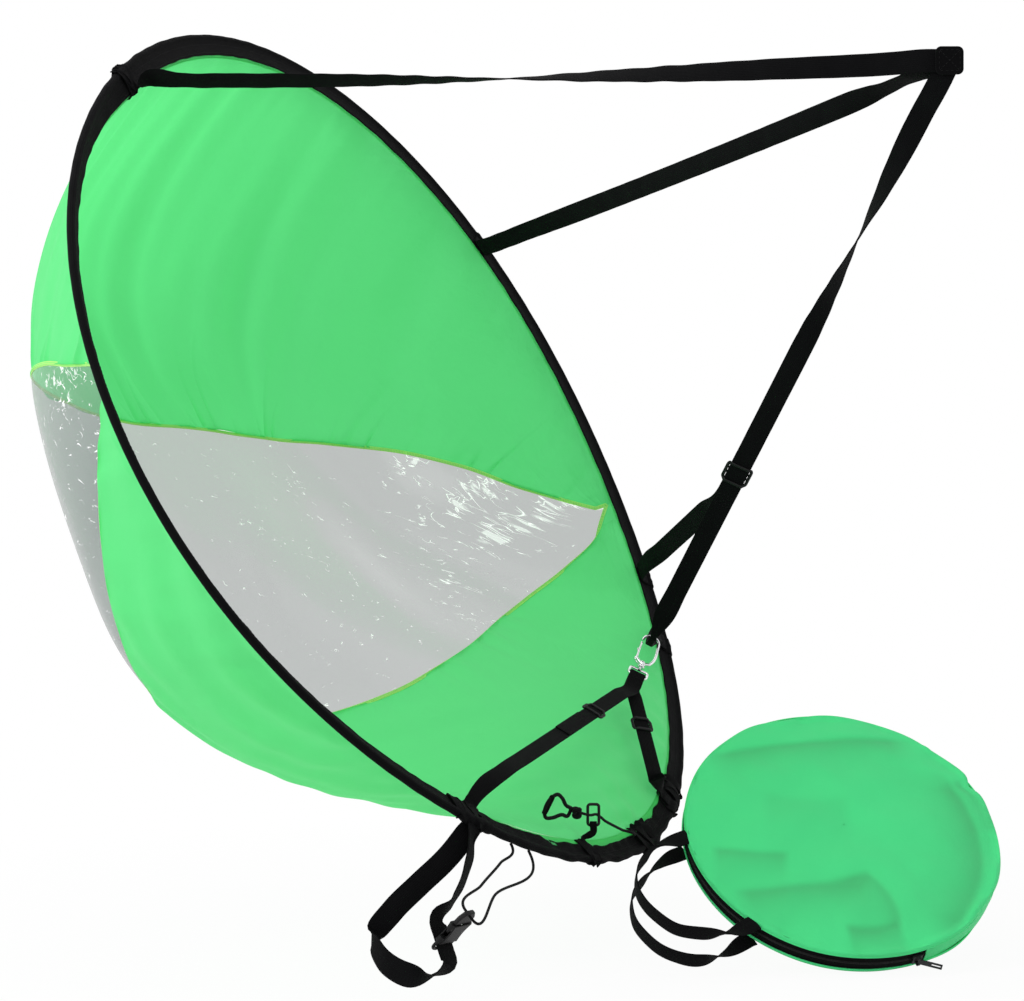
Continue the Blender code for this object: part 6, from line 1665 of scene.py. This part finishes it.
def build_foot():
    ring = vec(RING_PLACE)
    pivot = ring - WORLD_UP * (RING_HEIGHT / 2 - RING_BAR / 2)
    width = RING_WIDTH - 2 * RING_BAR - 2 * RUNNING
    radius = RING_BAR * 0.71 + 2 * CLEARANCE + WEBBING / 2
    ends, _ = sewn_end(FOOT_ANGLE, width, pivot)
    tangent = toward(hoop_tangent(FOOT_ANGLE), VIEW_RIGHT)
    rows = [(spot, tangent) for spot, _ in ends]
    rows.append((pivot - WORLD_UP * 2 * radius + VIEW_FRONT * radius, VIEW_RIGHT))
    for step in range(7):
        angle = math.pi * step / 6
        spot = pivot + WORLD_UP * radius * math.sin(angle) + VIEW_FRONT * radius * math.cos(angle)
        rows.append((spot, VIEW_RIGHT))
    rows.append((pivot - VIEW_FRONT * radius - WORLD_UP * radius * 0.8, VIEW_RIGHT))
    finish_piece(band("ring_tab", rows, spacing=0.002, width=width), "webbing", "foot_tab")
    half_x, half_y = [(size_of - RING_BAR) / 2 + 0.3 * MM for size_of in (RING_WIDTH, RING_HEIGHT)]
    outline = rounded_outline(half_x, half_y, 3 * MM)
    hoop = moulded_frame("ring_cast", outline, lambda x, y, height: ring + VIEW_RIGHT * x + WORLD_UP * y
                         + VIEW_FRONT * height, 3.3 * MM, 3.0 * MM)
    finish_piece(hoop, "plastic", "foot_ring", body="ring")
    build_wraps()
    for node, finish in (("hoop_rod", "rod"), ("hoop_ferrule", "brass")):
        for slot in NODES[node].material_slots:
            slot.material = FINISHES[finish]


# Webbing wound on the hoop: the angle of its middle, its run along the hoop, turns, slant and bulk
WRAPS = (
    (PORT_ANGLE + math.radians(1.2), 0.040, 3, 0.010, 1.0),
    (STARBOARD_ANGLE - math.radians(2.0), 0.034, 3, -0.012, 1.4),
    (math.radians(168.0), 0.050, 3, 0.012, 1.5),
    (FOOT_ANGLE, 0.018, 2, 0.004, 0.8),
    (UPPER_ANGLE - math.radians(0.8), 0.020, 3, 0.007, 1.6),
)


def build_wraps():
    """Webbing wound round the sleeve over the anchors, crumpled and overlapping."""
    made = []
    for number, (middle, reach, turns, slant, bulk) in enumerate(WRAPS):
        rows = []
        steps = 20 * turns
        for step in range(steps + 1):
            share = step / steps
            spin = math.tau * turns * share
            angle = middle + (share - 0.5) * reach / HOOP_RADIUS + slant * math.sin(spin) / HOOP_RADIUS
            rough = 1 + 0.35 * math.sin(2.3 * spin + number) + 0.25 * math.sin(5.1 * spin + 2 * number)
            off = ANCHOR_FACE + (0.6 + 0.6 * rough * bulk) * MM
            x = math.cos(spin) * (SLEEVE_WIDTH / 2 + off * 0.5)
            y = math.sin(spin) * (NOSE_RADIUS * 0.55 + off * 0.6)
            spot = hoop_place(angle, x, y)
            out = outward_at(angle) * math.cos(spin) * 0.5 + RING_AXIS * math.sin(spin)
            sway = 0.22 * math.sin(1.7 * spin + number)
            width = 11 * MM + 2.5 * MM * math.sin(spin * 0.9)
            rows.append((spot, unit(hoop_tangent(angle) + sway * unit(out)), width))
        made.append(band("wrap", rows, 0.003))
    finish_piece(join("hoop_wraps", made), "webbing")


# Storage bag

BAG_FRONT = VIEW_FRONT * math.cos(BAG_LEAN) + WORLD_UP * math.sin(BAG_LEAN)
BAG_FRONT = unit(BAG_FRONT + VIEW_RIGHT * math.sin(BAG_YAW))
BAG_RIGHT = unit(np.cross(WORLD_UP, BAG_FRONT))
BAG_UP = np.cross(BAG_FRONT, BAG_RIGHT)
TURN_OVER = 4.5 * MM
PIPING_RADIUS = 0.8 * MM
# Dents and bulges of a bag panel's rim: where in degrees, how far out in its radius, how wide in degrees
RIM_DENTS = ((21, -0.032, 3.0), (27, 0.012, 5.0), (14, 0.010, 6.0), (42, -0.014, 8.0), (-38, -0.010, 9))
# Creases of a bag panel: from and to in shares of its radius, bend, depth and width
CREASES = (
    (-0.78, 0.66, 0.62, 0.76, -0.03, 0.9, 0.10), (0.74, 0.46, 0.46, -0.90, -0.26, 0.9, 0.13),
    (-0.88, -0.13, -0.38, -0.22, 0.03, 0.8, 0.09), (-0.80, -0.48, 0.09, -0.40, 0.04, 0.9, 0.11),
    (0.05, -0.38, 0.21, -0.80, -0.05, 0.7, 0.09), (-0.16, -0.80, 0.22, -0.76, 0.03, 0.9, 0.10),
    (0.84, 0.40, 0.99, -0.05, -0.05, 0.6, 0.06), (-0.50, 0.30, 0.10, 0.22, 0.05, 0.25, 0.20),
)


def bag_place(angle, radius, front=0.0):
    angle, radius, front = (vec(value) for value in (angle, radius, front))
    return (vec(BAG_CENTRE) + BAG_RIGHT * (radius * np.cos(angle))[..., None]
            + BAG_UP * (radius * np.sin(angle))[..., None] + BAG_FRONT * front[..., None])


def build_panel(name, node, facing):
    """A round panel stretched over the folded hoop and turned over its edge, with its creases and painted
    shade beside them.
    """
    rings, around = 72, 288
    share = np.linspace(0.0, 1.0, rings) ** 0.8
    share[0] = 0.004
    angles = np.linspace(0, math.tau, around, endpoint=False)
    radius, angle = np.meshgrid(share, angles, indexing="ij")
    x, y = radius * np.cos(angle), radius * np.sin(angle)
    height = BAG_DEPTH / 2 + BAG_CROWN * (1 - radius ** 4)
    held = np.clip((1 - radius) / 0.05, 0, 1)
    seed = 70 if facing > 0 else 80
    crease = sizes().crease
    height = height - held * 0.6 * crease * (1 + soft_noise(seed + 1, 6, x / 0.7, y / 0.45))
    height = height + held * 0.22 * crease * soft_noise(seed + 2, 16, x / 0.30, y / 0.26)
    painted_shade = np.zeros_like(x)
    for x0, y0, x1, y1, bend, much, wide in CREASES:
        run = math.hypot(x1 - x0, y1 - y0)
        ahead = ((x - x0) * (x1 - x0) + (y - y0) * (y1 - y0)) / run ** 2
        aside = ((x - x0) * (y1 - y0) - (y - y0) * (x1 - x0)) / run - bend * 4 * ahead * (1 - ahead)
        ends = np.clip(ahead / 0.12, 0, 1) * np.clip((1 - ahead) / 0.12, 0, 1)
        step = 1 / (1 + np.exp(-np.clip(aside / (0.10 * wide), -40, 40)))
        ramp = np.exp(-np.clip(aside, 0, None) / wide) * step
        height = height - held * crease * much * ends * ramp
        # painted shade beside each crease, where the cloth steps down
        painted_shade += 1.1 * much * ends * np.exp(-np.clip(aside, 0, None) / (1.3 * wide)) * step
    pucker = np.exp(-(1 - radius) / 0.06) * np.clip((1 - radius) / 0.012, 0, 1)
    height = height + 0.8 * crease * pucker * soft_noise(seed + 3, 9, np.cos(angle) * 5, np.sin(angle) * 5)
    wander = 1 + 0.010 * soft_noise(seed + 4, 6, np.cos(angle) * 1.6, np.sin(angle) * 1.6) * radius ** 6
    free = np.clip((np.cos(angle - math.radians(35)) + 0.35) / 0.6, 0, 1)
    wander = 1 + (wander - 1) * (0.3 + 1.1 * free)
    for degrees, deep, wide in RIM_DENTS:
        off = (np.degrees(angle) - degrees + 180) % 360 - 180
        wander = wander + deep * np.exp(-(off / wide) ** 2) * radius ** 8
    places = bag_place(angle, radius * BAG_RADIUS * wander, height * facing)
    turned_in = []
    for drop, out in ((1.0, 0.9), (3.0, 1.5), (TURN_OVER / MM, 1.2), (TURN_OVER / MM + 0.6, 0.4)):
        level = (BAG_DEPTH / 2 - drop * MM) * facing
        turned_in.append(bag_place(angles, BAG_RADIUS * wander[-1] + out * MM, level))
    places = np.concatenate([places, np.array(turned_in)])
    uvs = np.stack([x, y], -1) * BAG_RADIUS
    uvs = np.concatenate([uvs, uvs[-1:] * np.array((1.01, 1.02, 1.03, 1.035))[:, None, None]])
    uvs = np.concatenate([uvs, uvs[:, :1]], axis=1)
    made = grid(name, places, uvs, wrap_columns=True)
    shade_points(made, "painted_shade", np.concatenate([painted_shade, np.repeat(painted_shade[-1:], len(turned_in), axis=0)]))
    finish_piece(made, "bag_cloth", node, body="bag")
    edge = bag_place(angles, BAG_RADIUS * wander[-1] + 1.3 * MM, (BAG_DEPTH / 2 - TURN_OVER) * facing)
    piping = tube(name.replace("panel", "piping"), edge, PIPING_RADIUS, sides=8, closed=True)
    finish_piece(piping, "bag_cloth", body="bag")


def bag_band(name, start, end, near, far, thick, outside=0.0, step=math.radians(1.25), swell=0.0):
    """A band of the bag's edge between two angles and two heights."""
    count = max(2, round((end - start) / step))
    angles = np.linspace(start, end, count)
    outer = BAG_RADIUS + outside
    levels = np.linspace(near, far, 7)
    puff = swell * (1 - ((levels - (near + far) / 2) / ((far - near) / 2)) ** 2)
    ring = [(outer + p, level) for level, p in zip(levels, puff)]
    ring += [(outer - thick, far), (outer - thick, near)]
    sections = np.stack([bag_place(angles, radius, level) for radius, level in ring], 1)
    run = angles * BAG_RADIUS
    hop = np.append(levels - near, np.cumsum([far - near + thick, far - near, thick]))
    return grid(name, sections, laid(run, hop), wrap_columns=True, caps=True)


def build_bag():
    build_panel("panel_front", "bag_front", 1)
    build_panel("panel_back", "bag_back", -1)
    inner = BAG_DEPTH / 2 - BAG_CLOTH
    gusset = bag_band("gusset", ZIP_TO, ZIP_FROM + math.tau, -inner, inner, BAG_CLOTH, swell=1.2 * MM)
    finish_piece(gusset, "bag_cloth", "bag_gusset", body="bag")
    teeth = ZIP_TEETH / 2
    for name, node, near, far in (("zip_cloth_front", "zip_tape_front", teeth, inner),
                                  ("zip_cloth_back", "zip_tape_back", -inner, -teeth)):
        tape = bag_band(name, ZIP_FROM, ZIP_TO, near, far, 1.2 * MM)
        finish_piece(tape, "webbing", node, body="bag", slot="zip_tape")
    build_coil()
    build_stitch_rows()
    rounded("zip_slider", 0.5 * MM, "dark_metal", 2)
    rounded("zip_puller", 0.4 * MM, "dark_metal", 2)
    build_handles()


def build_coil():
    """The zip's closed coil: rounded teeth side by side, each a little loop over the tape's edge."""
    pitch = 2.0 * MM
    count = int((ZIP_TO - ZIP_FROM) * BAG_RADIUS / pitch)
    turns = 10
    places = []
    for index in range(count * turns):
        angle = ZIP_FROM + (ZIP_TO - ZIP_FROM) * index / (count * turns)
        spin = math.tau * (index % turns) / turns
        radius = BAG_RADIUS + 0.5 * MM + 0.75 * MM * math.cos(spin)
        places.append(bag_place(angle, radius, 1.35 * MM * math.sin(spin)))
    coil = tube("zip_coil", places, 0.42 * MM, sides=6)
    core = bag_band("zip_coil_core", ZIP_FROM, ZIP_TO, -ZIP_TEETH / 2, ZIP_TEETH / 2, 1.2 * MM,
                    outside=0.3 * MM)
    finish_piece(join("zip_coil", [coil, core]), "zip_plastic", "zip_teeth", body="bag")


def build_stitch_rows():
    runs = []
    for height in (4.2 * MM, 11.5 * MM):
        for facing in (1, -1):
            angles = np.linspace(ZIP_FROM, ZIP_TO, 160)
            outward = BAG_RIGHT * np.cos(angles)[:, None] + BAG_UP * np.sin(angles)[:, None]
            runs.append((bag_place(angles, BAG_RADIUS + 0.1 * MM, facing * height), outward))
    finish_piece(stitches("zip_stitches", runs, 0.75), "thread_black", body="bag", slot="zip_tape")


def build_handles():
    for name, node, body, facing in (("handle_band_front", "front_handle", "handle_front", 1),
                                     ("handle_band_back", "back_handle", "handle_back", -1)):
        height = facing * (BAG_DEPTH / 2 - BAG_CLOTH)
        ends = [bag_place(a, BAG_RADIUS + HANDLE_GAP, height) for a in HANDLE_ANGLES]
        chord = unit(ends[1] - ends[0])
        middle = (ends[0] + ends[1]) / 2
        outward = toward(unit(np.cross(chord, BAG_FRONT)), middle - vec(BAG_CENTRE))
        half_chord = np.linalg.norm(ends[1] - ends[0]) / 2
        rows = []
        for across, reach, turn in HANDLE_SHARES:
            place = (middle + chord * across * half_chord + outward * reach * HANDLE_REACH
                     + BAG_FRONT * facing * 0.35 * HANDLE_WIDTH * turn)
            side = unit(chord * (1 - turn) + BAG_FRONT * turn)
            rows.append((place, side))
        root = outward * 5 * MM
        rows = [(rows[0][0] - root, rows[0][1]), *rows, (rows[-1][0] - root, rows[-1][1])]
        made = band(name, rows, spacing=0.004, ripple=0.0005, seed=90 + facing, width=HANDLE_WIDTH * 0.8)
        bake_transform(made)
        finish_piece(made, "webbing", node, body=None)


# Stage

def pointed(made, target):
    made.rotation_mode = "QUATERNION"
    made.rotation_quaternion = (Vector(target) - made.location).to_track_quat("-Z", "Y")


# The photograph's viewpoint
CAMERA_PLACE = (-2.5987, -1.2375, 0.3993)
CAMERA_AHEAD = (0.8858, 0.4641, 0.0)
CAMERA_LENS = 88.63


def build_camera():
    data = bpy.data.cameras.new("camera")
    data.lens = CAMERA_LENS
    data.sensor_width = 36.0
    data.clip_end = 50
    made = placed("camera", data)
    made.location = CAMERA_PLACE
    pointed(made, made.location + Vector(CAMERA_AHEAD))
    bpy.context.scene.camera = made


# Each lamp's name, place, diameter and power, and the point that all of them face
LAMPS = (
    ("key", (-2.3, 1.9, 1.9), 1.6, 62),
    ("front", (-2.9, -1.2, 2.2), 2.0, 22),
    ("side", (0.6, -3.2, 1.4), 2.2, 7),
    ("crown", (0.2, 0.4, 3.4), 2.2, 10),
)
LAMP_AIM = (0.0, 0.1, 0.4)
# How bright the white surroundings are for rays that only light the object
WORLD_LEVEL = 0.46
FLOOR_HALF = 30.0
FLOOR_GAP = 4 * MM


def seen_rays(tree):
    """One for rays of the camera, of a mirror image or through the window, else nothing."""
    rays = add(tree, "LightPath")
    seen = add(tree, "Math", {"operation": "MAXIMUM"},
               {0: rays.outputs["Is Camera Ray"], 1: rays.outputs["Is Glossy Ray"]})
    return add(tree, "Math", {"operation": "MAXIMUM"}, {0: seen, 1: rays.outputs["Is Transmission Ray"]})


def build_stage():
    for name, place, size, power in LAMPS:
        light = bpy.data.lights.new(name, "AREA")
        light.shape = "DISK"
        light.size = size
        light.energy = power
        made = placed(name, light)
        made.location = place
        pointed(made, LAMP_AIM)

    world = bpy.data.worlds.new("studio")
    bpy.context.scene.world = world
    world.use_nodes = True
    tree = world.node_tree
    ground = tree.nodes["Background"]
    ground.inputs["Color"].default_value = (1, 1, 1, 1)
    add(tree, "MapRange", {"To Min": WORLD_LEVEL, "To Max": 1.0}, {"Value": seen_rays(tree)},
        ground.inputs["Strength"])

    made, tree, shader = begin("paper_sweep_white", srgb("#F4F4F4"), 0.9, Specular_IOR_Level=0.0)
    fibres = add(tree, "TexNoise", {"Scale": 60.0, "Detail": 3.0})
    add(tree, "Mix", {"data_type": "RGBA", 6: (*srgb("#F7F7F7"), 1), 7: (*srgb("#F1F1F1"), 1)},
        {0: fibres}, shader.inputs["Base Color"])
    glow = add(tree, "Emission", {"Color": (1, 1, 1, 1), "Strength": 1.0})
    spot = add(tree, "TexCoord")
    away = add(tree, "VectorMath", {"operation": "LENGTH"}, {0: spot.outputs["Object"]})
    # the sweep turns plain white away from the object, so no edge of it shows
    blank = add(tree, "MapRange",
                {"From Min": 0.45, "From Max": 1.3, "To Min": 0.95, "To Max": 1.0},
                {"Value": away.outputs["Value"]})
    share = add(tree, "Math", {"operation": "MULTIPLY"}, {0: seen_rays(tree), 1: blank})
    add(tree, "MixShader", links={0: share, 1: shader, 2: glow},
        onto=tree.nodes["Material Output"].inputs["Surface"])

    low = float(CAD_BOX[0][2]) - FLOOR_GAP
    corners = [(x * FLOOR_HALF, y * FLOOR_HALF, low) for x, y in ((-1, -1), (1, -1), (1, 1), (-1, 1))]
    mesh = bpy.data.meshes.new("floor")
    mesh.from_pydata(corners, [], [(0, 1, 2, 3)])
    mesh.materials.append(made)
    placed("floor", mesh)
    bpy.context.scene.view_settings.view_transform = "Standard"


# Add-on

class SAIL_OT_stage(bpy.types.Operator):
    """Sets the camera, the lamps and the floor"""
    bl_idname = "sail.stage"
    bl_label = "Stage"

    def execute(self, context):
        make_finishes()
        build_camera()
        build_stage()
        return {"FINISHED"}


class SAIL_OT_cords(bpy.types.Operator):
    """Lays the lashing cord and the tether"""
    bl_idname = "sail.cords"
    bl_label = "Cords"

    def execute(self, context):
        build_cords()
        return {"FINISHED"}


class SAIL_OT_hoop(bpy.types.Operator):
    """Sews the sleeve round the hoop"""
    bl_idname = "sail.hoop"
    bl_label = "Hoop sleeve"

    def execute(self, context):
        build_sleeve()
        return {"FINISHED"}


class SAIL_OT_bowl(bpy.types.Operator):
    """Stretches the bowl's panels, its window and its seams"""
    bl_idname = "sail.bowl"
    bl_label = "Bowl"

    def execute(self, context):
        build_bowl()
        return {"FINISHED"}


class SAIL_OT_lines(bpy.types.Operator):
    """Runs the webbing lines from the hoop to the hand corner"""
    bl_idname = "sail.lines"
    bl_label = "Lines"

    def execute(self, context):
        build_lines()
        return {"FINISHED"}


class SAIL_OT_hook(bpy.types.Operator):
    """Casts the swivel snap hook"""
    bl_idname = "sail.hook"
    bl_label = "Snap hook"

    def execute(self, context):
        build_hook()
        return {"FINISHED"}


class SAIL_OT_straps(bpy.types.Operator):
    """Sews the deck straps with their slides"""
    bl_idname = "sail.straps"
    bl_label = "Deck straps"

    def execute(self, context):
        build_straps()
        return {"FINISHED"}


class SAIL_OT_lashing(bpy.types.Operator):
    """Hangs the lashing loop and its buckle"""
    bl_idname = "sail.lashing"
    bl_label = "Lashing loop"

    def execute(self, context):
        build_lashing()
        return {"FINISHED"}


class SAIL_OT_foot(bpy.types.Operator):
    """Fits the ring and tab at the foot of the hoop"""
    bl_idname = "sail.foot"
    bl_label = "Foot fittings"

    def execute(self, context):
        build_foot()
        return {"FINISHED"}


class SAIL_OT_bag(bpy.types.Operator):
    """Makes the storage bag with its zip and handles"""
    bl_idname = "sail.bag"
    bl_label = "Storage bag"

    def execute(self, context):
        build_bag()
        return {"FINISHED"}


OPERATORS = (SAIL_OT_stage, SAIL_OT_cords, SAIL_OT_hoop, SAIL_OT_bowl, SAIL_OT_lines, SAIL_OT_hook,
             SAIL_OT_straps, SAIL_OT_lashing, SAIL_OT_foot, SAIL_OT_bag)


class SAIL_PT_panel(bpy.types.Panel):
    """Lists the sail's pieces in the sidebar"""
    bl_label = "Canoe Sail"
    bl_idname = "SAIL_PT_panel"
    bl_space_type = "VIEW_3D"
    bl_region_type = "UI"
    bl_category = "Sail"

    def draw(self, context):
        for operator in OPERATORS:
            self.layout.operator(operator.bl_idname)
        for group in (context.scene.sail_colours, context.scene.sail_sizes):
            box = self.layout.box()
            for name in group.__annotations__:
                box.prop(group, name)


CLASSES = (SailColours, SailSizes, *OPERATORS, SAIL_PT_panel)


def register():
    for entry in CLASSES:
        bpy.utils.register_class(entry)
    bpy.types.Scene.sail_colours = bpy.props.PointerProperty(type=SailColours)
    bpy.types.Scene.sail_sizes = bpy.props.PointerProperty(type=SailSizes)


def unregister():
    del bpy.types.Scene.sail_sizes
    del bpy.types.Scene.sail_colours
    for entry in reversed(CLASSES):
        bpy.utils.unregister_class(entry)


def main():
    register()
    for operator in OPERATORS:
        group, name = operator.bl_idname.split(".")
        getattr(getattr(bpy.ops, group), name)()


if __name__ == "__main__":
    main()
